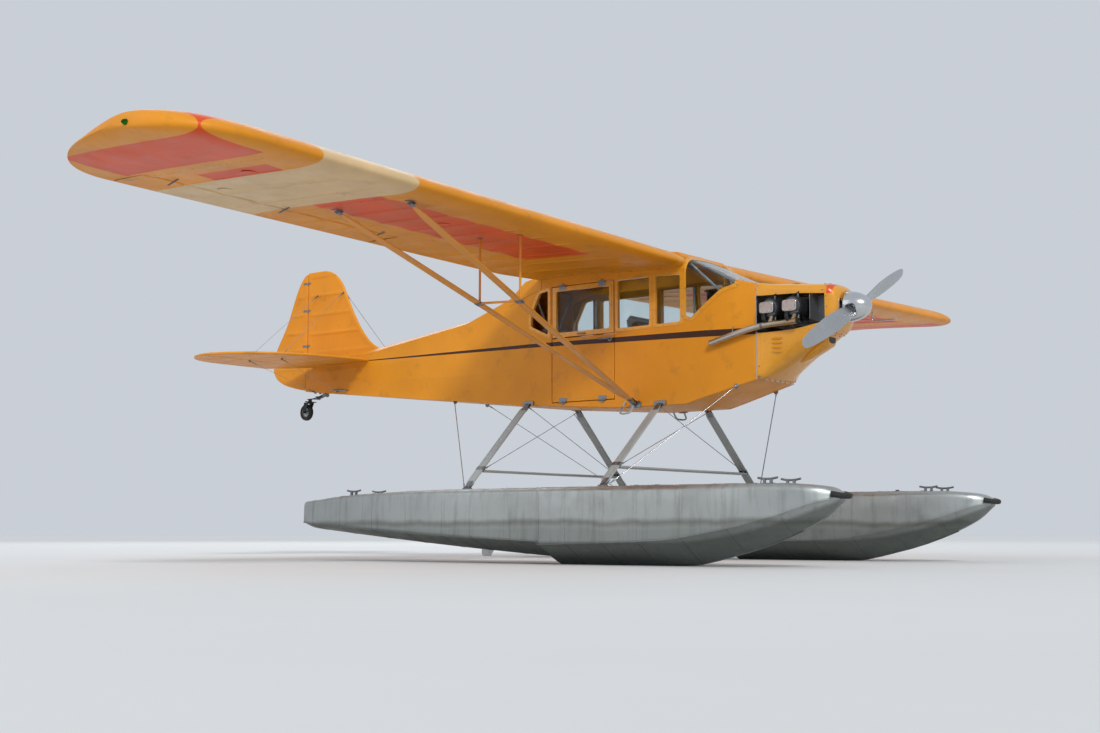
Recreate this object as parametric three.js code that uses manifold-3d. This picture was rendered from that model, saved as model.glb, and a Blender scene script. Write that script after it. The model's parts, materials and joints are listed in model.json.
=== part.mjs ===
// A two-seat, high-wing light aeroplane on twin floats, standing on its keels.
// Millimetres, +X to the nose, +Y to the port side, +Z up.
// The origin is on the floor under the middle of its box.
// Inside the airframe group, x = 0 and z = 0 are the wing's leading edge and chord plane at the root.

import * as THREE from 'three';
import { mergeVertices } from 'three/addons/utils/BufferGeometryUtils.js';
import Module from 'manifold-3d';

const wasm = await Module();
wasm.setup();

// Driving sizes of the whole aircraft
const SPAN = 10740;
const CHORD = 1600;
const DIHEDRAL = 0.022;
const TAIL_X = -5250;
const BOW_X = 1860;
const KEEL_Z = -2410;
const FIT_GAP = 0.4;
const MOVE_GAP = 8;

// Wing
const WING_ROOT_Y = 352;
const ROOT_CHORD = 1500;
const ROOT_CUT_Y = 760;
const TIP = { length: 660, outermost: -680, frontFullness: 2.7, rearFullness: 2.3, raise: 60, thinning: 0.6 };
const WING_THICKNESS = 0.12;
const WING_CAMBER = 0.04;
const CAMBER_PLACE = 0.4;
const EDGE_THICKNESS = 7;
const AILERON = { inner: 2350, outer: 4680, hingeX: -1318 };

// Body: where the cabin starts and ends, and its wall
const FIREWALL_X = 620;
const CABIN_END_X = -1640;
const TAIL_POST_X = -4745;
const CABIN_HALF_WIDTH = 348;
const WALL = 42;
const GLASS = 5;
const ROOF_Z = 128;

// Engine and propeller
const THRUST_Z = -440;
const BOWL_X = 1262;
const BOWL_BACK_X = 1170;
const SPINNER = { base: 1284, tip: 1465, radius: 118 };
const PROPELLER_RADIUS = 940;
const PROPELLER_REST_ANGLE = 0.42;
const CYLINDER_X = [955, 755];

// Tail
const STABILIZER_Z = -520;
const TAIL_HALF_SPAN = 1436;
const ELEVATOR_HINGE_X = -4620;
const RUDDER_HINGE_X = -4768;
const TAIL_SKIN = 13;

// Floats and their struts
const FLOAT_Y = 1310;
const DECK_Z = -1835;
const STEP_X = -500;
const STERN_X = -3165;
const FOOT_Y = 1150;
const SPREADER_Z = -1665;
const FRONT_FRAME = { x: -240, topZ: -1152, topY: 352 };
const REAR_FRAME = { x: -1610, topZ: -1086, topY: 346 };

// Door in the starboard side
const DOOR = { front: -704, rear: -1352, sill: -1070, split: -520, head: -78 };

// Name: colour, roughness, metalness
const FINISHES = {
  yellowFabric: [0xd98a1c, 0.55, 0.0],
  yellowMetal: [0xdc8f1e, 0.35, 0.2],
  bareMetal: [0xb4b6b8, 0.35, 0.9],
  floatMetal: [0x8e948f, 0.45, 0.85],
  darkMetal: [0x2f3134, 0.5, 0.7],
  paintedTube: [0x9fa3a4, 0.4, 0.5],
  exhaustMetal: [0x6b6259, 0.5, 0.8],
  clearSheet: [0xd7e3e8, 0.08, 0.0],
  seatCloth: [0x4b3a2c, 0.85, 0.0],
  rubber: [0x1b1b1c, 0.85, 0.0],
  panelBlack: [0x1f2022, 0.6, 0.1],
};

const airframe = new THREE.Group();

// Solids from geometries, and back
function solid(geometry) {
  const bare = geometry.clone();
  bare.deleteAttribute('normal');
  bare.deleteAttribute('uv');
  const merged = mergeVertices(bare, 1e-4);
  return new wasm.Manifold(new wasm.Mesh({
    numProp: 3,
    vertProperties: new Float32Array(merged.attributes.position.array),
    triVerts: new Uint32Array(merged.index.array),
  }));
}

function geometryOf(body) {
  const mesh = body.getMesh();
  const geometry = new THREE.BufferGeometry();
  geometry.setAttribute('position', new THREE.BufferAttribute(new Float32Array(mesh.vertProperties), 3));
  geometry.setIndex(new THREE.BufferAttribute(new Uint32Array(mesh.triVerts), 1));
  geometry.computeVertexNormals();
  return geometry;
}

function joined(bodies) {
  return bodies.reduce((whole, body) => whole.add(body));
}

function addPiece(name, body, finish) {
  const [color, roughness, metalness] = FINISHES[finish];
  const material = new THREE.MeshStandardMaterial({ color, roughness, metalness });
  if (finish === 'clearSheet') {
    material.transparent = true;
    material.opacity = 0.35;
  }
  const mesh = new THREE.Mesh(geometryOf(body), material);
  mesh.name = name;
  airframe.add(mesh);
}

// Basic shapes, all in airframe coordinates
function block(x0, x1, y0, y1, z0, z1) {
  const box = new THREE.BoxGeometry(Math.abs(x1 - x0), Math.abs(y1 - y0), Math.abs(z1 - z0));
  box.translate((x0 + x1) / 2, (y0 + y1) / 2, (z0 + z1) / 2);
  return solid(box);
}

// A loft through rings of the same number of points, closed by flat ends
function loft(rings) {
  const count = rings[0].length;
  const positions = rings.flat().flatMap((point) => [point.x, point.y, point.z]);
  const index = [];
  for (let ring = 0; ring + 1 < rings.length; ring += 1) {
    for (let i = 0; i < count; i += 1) {
      const a = ring * count + i;
      const b = ring * count + (i + 1) % count;
      index.push(a, b, a + count, b, b + count, a + count);
    }
  }
  const last = (rings.length - 1) * count;
  for (const [first, flip] of [[0, true], [last, false]]) {
    const flat = flattened(rings[first / count]);
    for (const [a, b, c] of THREE.ShapeUtils.triangulateShape(flat, [])) {
      const face = [first + a, first + b, first + c];
      index.push(...(flip ? face.reverse() : face));
    }
  }
  const geometry = new THREE.BufferGeometry();
  geometry.setAttribute('position', new THREE.Float32BufferAttribute(positions, 3));
  geometry.setIndex(index);
  return solid(facingOut(geometry));
}

// The ring's points in the plane that it lies in, turned the way its corners run
function flattened(ring) {
  const normal = new THREE.Vector3();
  ring.forEach((point, i) => {
    const next = ring[(i + 1) % ring.length];
    normal.x += (point.y - next.y) * (point.z + next.z);
    normal.y += (point.z - next.z) * (point.x + next.x);
    normal.z += (point.x - next.x) * (point.y + next.y);
  });
  normal.normalize();
  const helper = Math.abs(normal.z) < 0.9 ? new THREE.Vector3(0, 0, 1) : new THREE.Vector3(1, 0, 0);
  const across = helper.cross(normal).normalize();
  const up = normal.clone().cross(across);
  return ring.map((point) => new THREE.Vector2(point.dot(across), point.dot(up)));
}

function facingOut(geometry) {
  const at = geometry.attributes.position;
  const corners = geometry.index.array;
  const [a, b, c] = [new THREE.Vector3(), new THREE.Vector3(), new THREE.Vector3()];
  let volume = 0;
  for (let i = 0; i < corners.length; i += 3) {
    a.fromBufferAttribute(at, corners[i]);
    b.fromBufferAttribute(at, corners[i + 1]);
    c.fromBufferAttribute(at, corners[i + 2]);
    volume += a.dot(b.cross(c));
  }
  if (volume < 0) {
    for (let i = 0; i < corners.length; i += 3) {
      [corners[i], corners[i + 2]] = [corners[i + 2], corners[i]];
    }
  }
  return geometry;
}

// A prism of an (x, z) outline between two y planes
function sidePrism(outline, y0, y1) {
  const shape = new THREE.Shape(outline.map(([x, z]) => new THREE.Vector2(x, z)));
  const prism = new THREE.ExtrudeGeometry(shape, { depth: Math.abs(y1 - y0), bevelEnabled: false });
  prism.rotateX(Math.PI / 2);
  prism.translate(0, Math.max(y0, y1), 0);
  return solid(prism);
}

// A prism of an (x, y) outline between two heights
function planPrism(outline, z0, z1) {
  const drawn = outline instanceof THREE.Shape;
  const shape = drawn ? outline : new THREE.Shape(outline.map(([x, y]) => new THREE.Vector2(x, y)));
  const prism = new THREE.ExtrudeGeometry(shape, {
    depth: Math.abs(z1 - z0), bevelEnabled: false, curveSegments: 6,
  });
  prism.translate(0, 0, Math.min(z0, z1));
  return solid(prism);
}

// A straight bar of oval section between two points: chord runs fore and aft, thick across it
function bar(from, to, chord, thick = chord, sides = 8) {
  const start = new THREE.Vector3(...from);
  const end = new THREE.Vector3(...to);
  const along = end.clone().sub(start);
  const tube = new THREE.CylinderGeometry(0.5, 0.5, along.length(), sides);
  const up = along.clone().normalize();
  const forward = new THREE.Vector3(1, 0, 0).addScaledVector(up, -up.x);
  if (forward.lengthSq() < 0.01) {
    forward.set(0, 0, 1).addScaledVector(up, -up.z);
  }
  forward.normalize();
  const side = new THREE.Vector3().crossVectors(forward, up);
  const turn = new THREE.Matrix4().makeBasis(forward.multiplyScalar(chord), up, side.multiplyScalar(thick));
  turn.setPosition(start.add(end).multiplyScalar(0.5));
  tube.applyMatrix4(turn);
  return solid(tube);
}

// A lathe turned about a line parallel to X, from (distance along +X, radius) pairs
function turnedAlongX(profile, x, y, z, segments) {
  const points = profile.map(([along, radius]) => new THREE.Vector2(radius, along));
  const lathe = new THREE.LatheGeometry(points, segments);
  lathe.rotateZ(-Math.PI / 2);
  lathe.translate(x, y, z);
  return solid(facingOut(mergeVertices(withoutExtras(lathe), 1e-4)));
}

// The same about a line parallel to Y, outward on the given side
function turnedAlongY(profile, x, y, z, segments, side = 1) {
  const points = profile.map(([along, radius]) => new THREE.Vector2(radius, along));
  const lathe = new THREE.LatheGeometry(points, segments);
  if (side < 0) {
    lathe.rotateX(Math.PI);
  }
  lathe.translate(x, y, z);
  return solid(facingOut(mergeVertices(withoutExtras(lathe), 1e-4)));
}

function withoutExtras(geometry) {
  geometry.deleteAttribute('normal');
  geometry.deleteAttribute('uv');
  return geometry;
}

// A pipe of round section along points
function pipe(points, radius, steps, sides = 8) {
  const path = new THREE.CatmullRomCurve3(points.map((point) => new THREE.Vector3(...point)));
  const ring = new THREE.Shape();
  ring.absarc(0, 0, radius, 0, Math.PI * 2);
  const tube = new THREE.ExtrudeGeometry(ring, {
    steps, curveSegments: sides, extrudePath: path, bevelEnabled: false,
  });
  return solid(facingOut(mergeVertices(withoutExtras(tube), 1e-3)));
}

// Wing section: heights above the chord line as a share of the chord
function camberAt(share) {
  const p = CAMBER_PLACE;
  if (share < p) {
    return (WING_CAMBER / (p * p)) * (2 * p * share - share * share);
  }
  return (WING_CAMBER / ((1 - p) * (1 - p))) * (1 - 2 * p + 2 * p * share - share * share);
}

function halfThicknessAt(share) {
  const root = Math.sqrt(share);
  const cubic = -0.126 * share - 0.3516 * share ** 2 + 0.2843 * share ** 3 - 0.1036 * share ** 4;
  return 5 * WING_THICKNESS * (0.2969 * root + cubic);
}

const UPPER_SHARES = [1, 0.9, 0.78, 0.6, 0.42, 0.26, 0.13, 0.05, 0.012];
const LOWER_SHARES = [0, 0.015, 0.07, 0.22, 0.5, 0.8, 1];

// The section at y from its front edge to its rear edge, as thick as one of the given depth would be
function wingRing(y, front, chord, depth = chord, raise = 0) {
  const half = (share) => Math.max(halfThicknessAt(share) * depth, EDGE_THICKNESS / 2);
  const level = Math.abs(y) * DIHEDRAL + raise;
  const point = (share, height) => new THREE.Vector3(front - share * chord, y, level + height);
  const upper = UPPER_SHARES.map((share) => point(share, camberAt(share) * depth + half(share)));
  const lower = LOWER_SHARES.map((share) => {
    const nose = share === 0;
    return point(share, nose ? 0 : camberAt(share) * depth - half(share));
  });
  return [...upper, ...lower];
}

// How far an edge has drawn in when the tip has gone the given share of its length outward
function drawnIn(out, fullness) {
  return 1 - (1 - out ** fullness) ** (1 / fullness);
}

// Shares of the tip's length at which it has a section
const TIP_SHARES = [0, 0.28, 0.56, 0.8, 0.94, 0.99, 1];
const TIP_END_CHORD = 40;

function fullWing(side) {
  const rings = [
    wingRing(side * WING_ROOT_Y, 0, ROOT_CHORD),
    wingRing(side * ROOT_CUT_Y, 0, CHORD),
  ];
  for (const out of TIP_SHARES) {
    const front = TIP.outermost * drawnIn(out, TIP.frontFullness);
    const rear = -CHORD + (CHORD + TIP.outermost) * drawnIn(out, TIP.rearFullness);
    const chord = Math.max(front - rear, TIP_END_CHORD);
    const left = chord / CHORD;
    const y = SPAN / 2 - TIP.length * (1 - out);
    rings.push(wingRing(side * y, front, chord, CHORD * left ** TIP.thinning, TIP.raise * (1 - left)));
  }
  return loft(rings);
}

// Height of the flat facets under the wing
function wingBottom(x, y) {
  const share = -x / CHORD;
  const next = LOWER_SHARES.findIndex((value) => value > share);
  const [a, b] = [LOWER_SHARES[next - 1], LOWER_SHARES[next]];
  const [low, high] = [a, b].map((value) => camberAt(value) - halfThicknessAt(value));
  return Math.abs(y) * DIHEDRAL + CHORD * (low + (high - low) * (share - a) / (b - a));
}

function aileronHinge() {
  const share = -AILERON.hingeX / CHORD;
  return { height: camberAt(share) * CHORD, radius: halfThicknessAt(share) * CHORD - 1 };
}

function makeWings() {
  const { height, radius } = aileronHinge();
  const low = -200;
  const high = 400;
  const back = -CHORD - 100;
  for (const [side, label] of [[1, 'left'], [-1, 'right']]) {
    const whole = fullWing(side);
    const bayFront = AILERON.hingeX + radius + MOVE_GAP;
    const inner = side * (AILERON.inner - MOVE_GAP);
    const outer = side * (AILERON.outer + MOVE_GAP);
    const bay = block(back, bayFront, inner, outer, low, high);
    addPiece(`wing_${label}`, whole.subtract(bay), 'yellowFabric');

    const flap = block(back, AILERON.hingeX, side * AILERON.inner, side * AILERON.outer, low, high);
    const ends = [AILERON.inner, AILERON.outer].map((y) => [
      AILERON.hingeX, side * y, y * DIHEDRAL + height,
    ]);
    const nose = bar(ends[0], ends[1], radius * 2, radius * 2, 12);
    addPiece(`aileron_${label}`, whole.intersect(flap).add(nose), 'yellowFabric');
  }
}

// Body outline. Columns: x, half width, bottom, side top, ridge
const BODY = [
  [CABIN_END_X, 340, -1081, -70, 12],
  [-2400, 268, -1003, -300, -232],
  [-3710, 146, -870, -452, -400],
  [TAIL_POST_X, 26, -765, -475, -455],
];

function bodyRing([x, half, bottom, shoulder, ridge]) {
  const flat = half * 0.3;
  return [
    [-half, bottom], [half, bottom], [half, shoulder], [flat, ridge], [-flat, ridge], [-half, shoulder],
  ].map(([y, z]) => new THREE.Vector3(x, y, z));
}

// The row of a table at any x between its first and last, whose x falls from row to row
function rowAt(table, x) {
  const next = Math.max(1, table.findIndex((row) => row[0] <= x));
  const [a, b] = [table[next - 1], table[next]];
  const share = (x - a[0]) / (b[0] - a[0]);
  return a.map((value, i) => value + (b[i] - value) * share);
}

// Cabin side profile (x, z) and plan half widths (x, half width)
const CABIN_PROFILE = [
  [FIREWALL_X, -985], [FIREWALL_X, -222], [500, -200], [0, 40], [-60, 92], [-300, ROOF_Z],
  [-900, 116], [-1500, 34], [CABIN_END_X + FIT_GAP, 10],
  [CABIN_END_X + FIT_GAP, -1081], [-600, -1152], [0, -1150],
];
const CABIN_PLAN = [
  [FIREWALL_X, 296], [150, 344], [-300, CABIN_HALF_WIDTH], [-1300, CABIN_HALF_WIDTH], [CABIN_END_X, 340],
];

function planBetween(table, inset) {
  const right = table.map(([x, half]) => [x, half - inset]);
  const left = table.slice().reverse().map(([x, half]) => [x, -(half - inset)]);
  return planPrism([...right, ...left], -1400, 400);
}

function cabinOuter(inset = 0) {
  const reach = CABIN_HALF_WIDTH + 10;
  return sidePrism(CABIN_PROFILE, -reach, reach).intersect(planBetween(CABIN_PLAN, inset));
}

// The cabin floor is level as far back as the rear seat, and then rises
const FLOOR = { level: -1097, bendX: -600, endX: CABIN_END_X - 10, endZ: -1030 };

function floorAt(x) {
  const share = Math.max(0, (FLOOR.bendX - x) / (FLOOR.bendX - FLOOR.endX));
  return FLOOR.level + share * (FLOOR.endZ - FLOOR.level);
}

function cabinHollow() {
  const reach = CABIN_HALF_WIDTH;
  const hollow = [
    [FIREWALL_X + 10, -930], [FIREWALL_X + 10, -240], [500, -228], [20, 4], [-80, 50], [-300, ROOF_Z - 38],
    [-900, 78], [-1500, -4], [FLOOR.endX, -28], [FLOOR.endX, FLOOR.endZ], [FLOOR.bendX, FLOOR.level],
    [0, FLOOR.level],
  ];
  return sidePrism(hollow, -reach, reach).intersect(planBetween(CABIN_PLAN, WALL));
}

// Windows in the side, as (x, z) outlines. The door holds the third on the starboard side
const FRONT_WINDOW = [[-40, -485], [-40, -90], [-292, -78], [-292, -490]];
const MIDDLE_WINDOW = [[-338, -490], [-338, -78], [-668, -78], [-668, -492]];
const DOOR_WINDOW = [[-742, -482], [-742, -112], [-1314, -112], [-1314, -482]];
const REAR_WINDOW = [[-1392, -492], [-1392, -92], [-1500, -110], [-1596, -300], [-1596, -400]];

// The sloping front screen: the wedge of the cabin that it closes
const SCREEN = [
  [470, -215], [430, -130], [2, 100], [-20, 60], [-20, -440], [60, -470], [330, -260], [470, -225],
];

const SKYLIGHT = { front: -330, rear: -1230, half: 245, low: 20 };

// Wide and high enough to hold the whole cabin, and a plane well inside each side wall
const SIDE_REACH = CABIN_HALF_WIDTH + 20;
const TOP_REACH = 200;
const BELLY_REACH = -1300;
const INSIDE_WALL_Y = 200;

// Where the side walls, floor, roof and front deck part from each other
const FLOOR_TOP_Z = -600;
const DECK_REAR_X = 200;

function throughSide(outline, side) {
  return sidePrism(outline, side * INSIDE_WALL_Y, side * SIDE_REACH);
}

// Cabin walls, floor and roof, each with its openings cut
function makeCabin() {
  const outer = cabinOuter();
  const doorGap = MOVE_GAP - 2;
  const screen = sidePrism(SCREEN, -SIDE_REACH, SIDE_REACH);
  const cuts = {
    left: [FRONT_WINDOW, MIDDLE_WINDOW, REAR_WINDOW, DOOR_WINDOW].map((outline) => throughSide(outline, 1)),
    right: [FRONT_WINDOW, MIDDLE_WINDOW, REAR_WINDOW].map((outline) => throughSide(outline, -1)),
  };
  cuts.right.push(block(
    DOOR.rear - doorGap, DOOR.front + doorGap, -SIDE_REACH, -INSIDE_WALL_Y,
    DOOR.sill - doorGap, DOOR.head + doorGap,
  ));

  const walls = outer.subtract(planBetween(CABIN_PLAN, WALL));
  for (const [side, label] of [[1, 'left'], [-1, 'right']]) {
    const half = block(CABIN_END_X - 10, FIREWALL_X + 10, 0, side * SIDE_REACH, BELLY_REACH, TOP_REACH);
    const wall = [screen, ...cuts[label]].reduce((rest, cut) => rest.subtract(cut), walls.intersect(half));
    addPiece(`cabin_side_${label}`, wall, 'yellowFabric');
  }

  const core = outer.intersect(planBetween(CABIN_PLAN, WALL + FIT_GAP)).subtract(cabinHollow());
  const below = block(CABIN_END_X - 10, FIREWALL_X + 10, -SIDE_REACH, SIDE_REACH, BELLY_REACH, FLOOR_TOP_Z);
  addPiece('cabin_floor', core.intersect(below), 'yellowFabric');

  const skylight = block(
    SKYLIGHT.rear, SKYLIGHT.front, -SKYLIGHT.half, SKYLIGHT.half, SKYLIGHT.low, TOP_REACH,
  );
  const top = core.subtract(below).subtract(screen).subtract(skylight);
  const ahead = block(DECK_REAR_X, FIREWALL_X + 10, -SIDE_REACH, SIDE_REACH, FLOOR_TOP_Z, TOP_REACH);
  addPiece('front_deck', top.intersect(ahead), 'yellowMetal');
  addPiece('cabin_roof', top.subtract(ahead), 'yellowFabric');
}

function makeScreenAndSkylight() {
  const sheet = cabinOuter().subtract(insetCabin(GLASS));
  addPiece('windshield', sheet.intersect(shrunkScreen()), 'clearSheet');

  const pane = block(
    SKYLIGHT.rear + FIT_GAP, SKYLIGHT.front - FIT_GAP, -SKYLIGHT.half + FIT_GAP, SKYLIGHT.half - FIT_GAP,
    SKYLIGHT.low, TOP_REACH,
  );
  addPiece('skylight', sheet.intersect(pane), 'clearSheet');
}

// The cabin's outside moved in by a skin thickness, for the clear sheets that lie flush with it
function insetCabin(skin) {
  const reach = CABIN_HALF_WIDTH;
  const lowered = CABIN_PROFILE.map(([x, z]) => [x, z > -300 ? z - skin * 1.2 : z]);
  return sidePrism(lowered, -reach, reach).intersect(planBetween(CABIN_PLAN, skin));
}

function shrunkScreen() {
  const middle = new THREE.Vector2(130, -170);
  const outline = SCREEN.map(([x, z]) => {
    const point = new THREE.Vector2(x, z).sub(middle);
    const length = point.length();
    point.multiplyScalar((length - 2 * FIT_GAP) / length).add(middle);
    return [point.x, point.y];
  });
  return sidePrism(outline, -SIDE_REACH, SIDE_REACH);
}

function makeSideGlass() {
  // Each clear sheet lies on the inner face of the wall, behind the posts
  const inside = WALL + FIT_GAP;
  const sheet = planBetween(CABIN_PLAN, inside).subtract(planBetween(CABIN_PLAN, inside + GLASS));
  const port = [[-30, -505], [-30, -60], [-1380, -60], [-1590, -120], [-1606, -505]];
  const starboard = [[-30, -505], [-30, -60], [-684, -60], [-684, -505]];
  addPiece('side_glass_left', sheet.intersect(throughSide(port, 1)), 'clearSheet');
  addPiece('side_glass_right', sheet.intersect(throughSide(starboard, -1)), 'clearSheet');
}

function makeDoors() {
  const wall = cabinOuter().subtract(planBetween(CABIN_PLAN, WALL));
  const half = MOVE_GAP / 2;
  const lower = block(DOOR.rear, DOOR.front, -SIDE_REACH, -INSIDE_WALL_Y, DOOR.sill, DOOR.split - half);
  addPiece('door_lower', wall.intersect(lower), 'yellowFabric');

  const upper = block(DOOR.rear, DOOR.front, -SIDE_REACH, -INSIDE_WALL_Y, DOOR.split + half, DOOR.head);
  const frame = wall.intersect(upper).subtract(throughSide(DOOR_WINDOW, -1));
  addPiece('door_upper', frame, 'yellowFabric');

  const middle = WALL / 2;
  const pane = planBetween(CABIN_PLAN, middle).subtract(planBetween(CABIN_PLAN, middle + GLASS));
  const clear = DOOR_WINDOW.map(([x, z], i) => [
    x + (i < 2 ? -FIT_GAP : FIT_GAP), z + (i % 3 === 0 ? FIT_GAP : -FIT_GAP),
  ]);
  addPiece('door_glass', pane.intersect(throughSide(clear, -1)), 'clearSheet');
}

// The rear fuselage is a skin over a hollow that opens into the cabin and ends ahead of the tail
const BODY_SKIN = 12;
const HOLLOW_END_X = -4200;
const HINGE_TUNNEL = 44;

function makeRearFuselage() {
  const body = loft(BODY.map(bodyRing));
  const [hingeFrom, hingeTo] = [-200, 200].map((y) => [ELEVATOR_HINGE_X, y, STABILIZER_Z]);
  const tube = bar(hingeFrom, hingeTo, HINGE_TUNNEL, HINGE_TUNNEL, 12);
  const rows = [...BODY.slice(0, -1), rowAt(BODY, HOLLOW_END_X)];
  const inside = rows.map(([x, half, bottom, shoulder, ridge], i) => bodyRing([
    i === 0 ? x + 1 : x, half - BODY_SKIN, bottom + BODY_SKIN, shoulder - BODY_SKIN, ridge - BODY_SKIN,
  ]));
  addPiece('rear_fuselage', body.subtract(tube).subtract(loft(inside)), 'yellowFabric');
}

function makeFirewall() {
  const plate = sidePrism([[0, -985], [0, -222], [8, -222], [8, -985]], -292, 292);
  addPiece('firewall', plate.translate([FIREWALL_X + FIT_GAP, 0, 0]), 'bareMetal');
}

// Nose covers. Columns: x, half width, top, upper edge of the side opening, lower edge, bottom
const COVER = [
  [FIREWALL_X + 9, 292, -224, -330, -625, -983],
  [900, 245, -240, -330, -610, -822],
  [BOWL_BACK_X - 1, 196, -262, -345, -560, -640],
];

function hoodRing([x, half, top, edge], inset) {
  const w = half - inset;
  const t = top - inset;
  const shoulder = (t + edge) / 2;
  return [
    [-w, edge], [w, edge], [w, shoulder], [w * 0.72, t - 8],
    [w * 0.3, t], [-w * 0.3, t], [-w * 0.72, t - 8], [-w, shoulder],
  ].map(([y, z]) => new THREE.Vector3(x, y, z));
}

function troughRing([x, half, , , edge, bottom], inset) {
  const w = half - inset;
  const b = bottom + inset;
  const bend = Math.min(b + 90, edge - 14);
  return [
    [-w, edge], [-w, bend], [-w * 0.68, b], [w * 0.68, b], [w, bend], [w, edge],
  ].map(([y, z]) => new THREE.Vector3(x, y, z));
}

const COVER_SKIN = 9;

function makeCowling() {
  const longer = (ring, inset) => {
    const rows = COVER.map((row) => [...row]);
    rows[0][0] -= 4;
    rows[rows.length - 1][0] += 4;
    return rows.map((row) => ring(row, inset));
  };
  const hood = loft(COVER.map((row) => hoodRing(row, 0)));
  const hoodInside = loft(longer(hoodRing, COVER_SKIN).map((ring) => ring.map((point, i) => {
    const low = i < 2;
    return low ? point.clone().setZ(point.z - 20) : point;
  })));
  addPiece('upper_cowling', hood.subtract(hoodInside), 'yellowMetal');

  const trough = loft(COVER.map((row) => troughRing(row, 0)));
  const troughInside = loft(longer(troughRing, COVER_SKIN).map((ring) => ring.map((point, i) => {
    const high = i === 0 || i === 5;
    return high ? point.clone().setZ(point.z + 20) : point;
  })));
  addPiece('lower_cowling', trough.subtract(troughInside), 'yellowMetal');
}

// Nose bowl: a hollow cap in front of the covers, with an air inlet each side of the shaft
const BOWL_POINTS = 12;
const BOWL_ROUNDNESS = 0.7;

function bowlRing(x, half, top, bottom) {
  const middle = (top + bottom) / 2;
  const tall = (top - bottom) / 2;
  const squared = (value) => Math.sign(value) * Math.abs(value) ** BOWL_ROUNDNESS;
  const ring = [];
  for (let i = 0; i < BOWL_POINTS; i += 1) {
    const turn = (i / BOWL_POINTS) * Math.PI * 2;
    ring.push(new THREE.Vector3(x, half * squared(Math.cos(turn)), middle + tall * squared(Math.sin(turn))));
  }
  return ring;
}

// Columns: x, half width, top, bottom
const BOWL = [
  [BOWL_BACK_X, 196, -262, -640],
  [BOWL_X - 46, 180, -268, -600],
  [BOWL_X, 132, -312, -556],
];

const SHAFT_HOLE = 62;
const INLET = { inner: 74, outer: 134, low: -492, high: -385, depth: 60 };

function makeNoseBowl() {
  const skin = COVER_SKIN;
  const outer = loft(BOWL.map((row) => bowlRing(...row)));
  const inner = loft(BOWL.map(([x, half, top, bottom], i) => (
    bowlRing(i === 0 ? x - 5 : x - skin / 2 * i, half - skin, top - skin, bottom + skin)
  )));
  const shaftHole = turnedAlongX(
    [[0, 0], [0, SHAFT_HOLE], [200, SHAFT_HOLE], [200, 0]], BOWL_X - 100, 0, THRUST_Z, 16,
  );
  const inlets = [1, -1].map((side) => block(
    BOWL_X - INLET.depth, BOWL_X + 20, side * INLET.inner, side * INLET.outer, INLET.low, INLET.high,
  ));
  let bowl = outer.subtract(inner).subtract(shaftHole);
  for (const inlet of inlets) {
    bowl = bowl.subtract(inlet);
  }
  addPiece('nose_bowl', bowl, 'bareMetal');
}

const ENGINE = { front: 1150, rear: 690, half: 105, top: -345, bottom: -548 };
const SUMP = { front: 1040, rear: 700, half: 85, top: -540, bottom: -640 };
const MOUNT_TUBE = 26;

function makeEngine() {
  const shaft = BOWL_X - 10 - ENGINE.front;
  const parts = [
    block(ENGINE.rear, ENGINE.front, -ENGINE.half, ENGINE.half, ENGINE.bottom, ENGINE.top),
    block(SUMP.rear, SUMP.front, -SUMP.half, SUMP.half, SUMP.bottom, SUMP.top),
    turnedAlongX([[0, 0], [0, 52], [shaft, 46], [shaft, 0]], ENGINE.front, 0, THRUST_Z, 12),
  ];
  for (const side of [-1, 1]) {
    parts.push(bar([FIREWALL_X, side * 130, -330], [700, side * 55, -385], MOUNT_TUBE));
    parts.push(bar([FIREWALL_X, side * 130, -680], [715, side * 60, -590], MOUNT_TUBE));
  }
  const behind = block(FIREWALL_X - 60, FIREWALL_X + 9, -300, 300, -900, -200);
  addPiece('engine_block', joined(parts).subtract(behind), 'darkMetal');

  for (const [side, label] of [[1, 'left'], [-1, 'right']]) {
    const plate = block(672, 1042, side * (ENGINE.half + FIT_GAP), side * 112, -520, -362);
    addPiece(`cylinders_${label}`, joined([plate, ...CYLINDER_X.map((x) => cylinder(x, side))]), 'darkMetal');
  }
}

// One finned cylinder with its head and rocker box
const FIN = { count: 7, pitch: 27, first: 22, root: 60, rim: 80, thick: 11 };
const BARREL_Y = 108;
const ROCKER_BOX = { half: 62, depth: 52, low: -485, high: -400 };

function cylinder(x, side) {
  const profile = [[0, 0], [0, FIN.root]];
  for (let i = 0; i < FIN.count; i += 1) {
    const at = FIN.first + i * FIN.pitch;
    const rim = FIN.rim + (i > 3 ? 6 : 0);
    profile.push([at, FIN.root], [at, rim], [at + FIN.thick, rim], [at + FIN.thick, FIN.root]);
  }
  const end = FIN.first + FIN.count * FIN.pitch + 18;
  profile.push([end, FIN.root], [end, 0]);
  const barrel = turnedAlongY(profile, x, side * BARREL_Y, THRUST_Z, 14, side);
  const headStart = BARREL_Y + end - 20;
  const { half, depth, low, high } = ROCKER_BOX;
  const rocker = block(x - half, x + half, side * headStart, side * (headStart + depth), low, high);
  return barrel.add(rocker);
}

// Exhaust: a pipe under each bank that runs aft along the body's side. Columns: x, distance out, height
const EXHAUST = [
  [985, 300, -556], [860, 300, -560], [720, 312, -568], [600, 338, -590], [440, 362, -632], [250, 376, -684],
];
const EXHAUST_RADIUS = 24;

function makeExhausts() {
  for (const [side, label] of [[1, 'left'], [-1, 'right']]) {
    const route = EXHAUST.map(([x, out, z]) => [x, side * out, z]);
    const collector = pipe(route, EXHAUST_RADIUS, 12, 10);
    const y = route[0][1];
    const stubs = CYLINDER_X.map((x) => bar([x, y, -528], [x, y, -562], 38));
    addPiece(`exhaust_${label}`, joined([collector, ...stubs]), 'exhaustMetal');
  }
}

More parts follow.
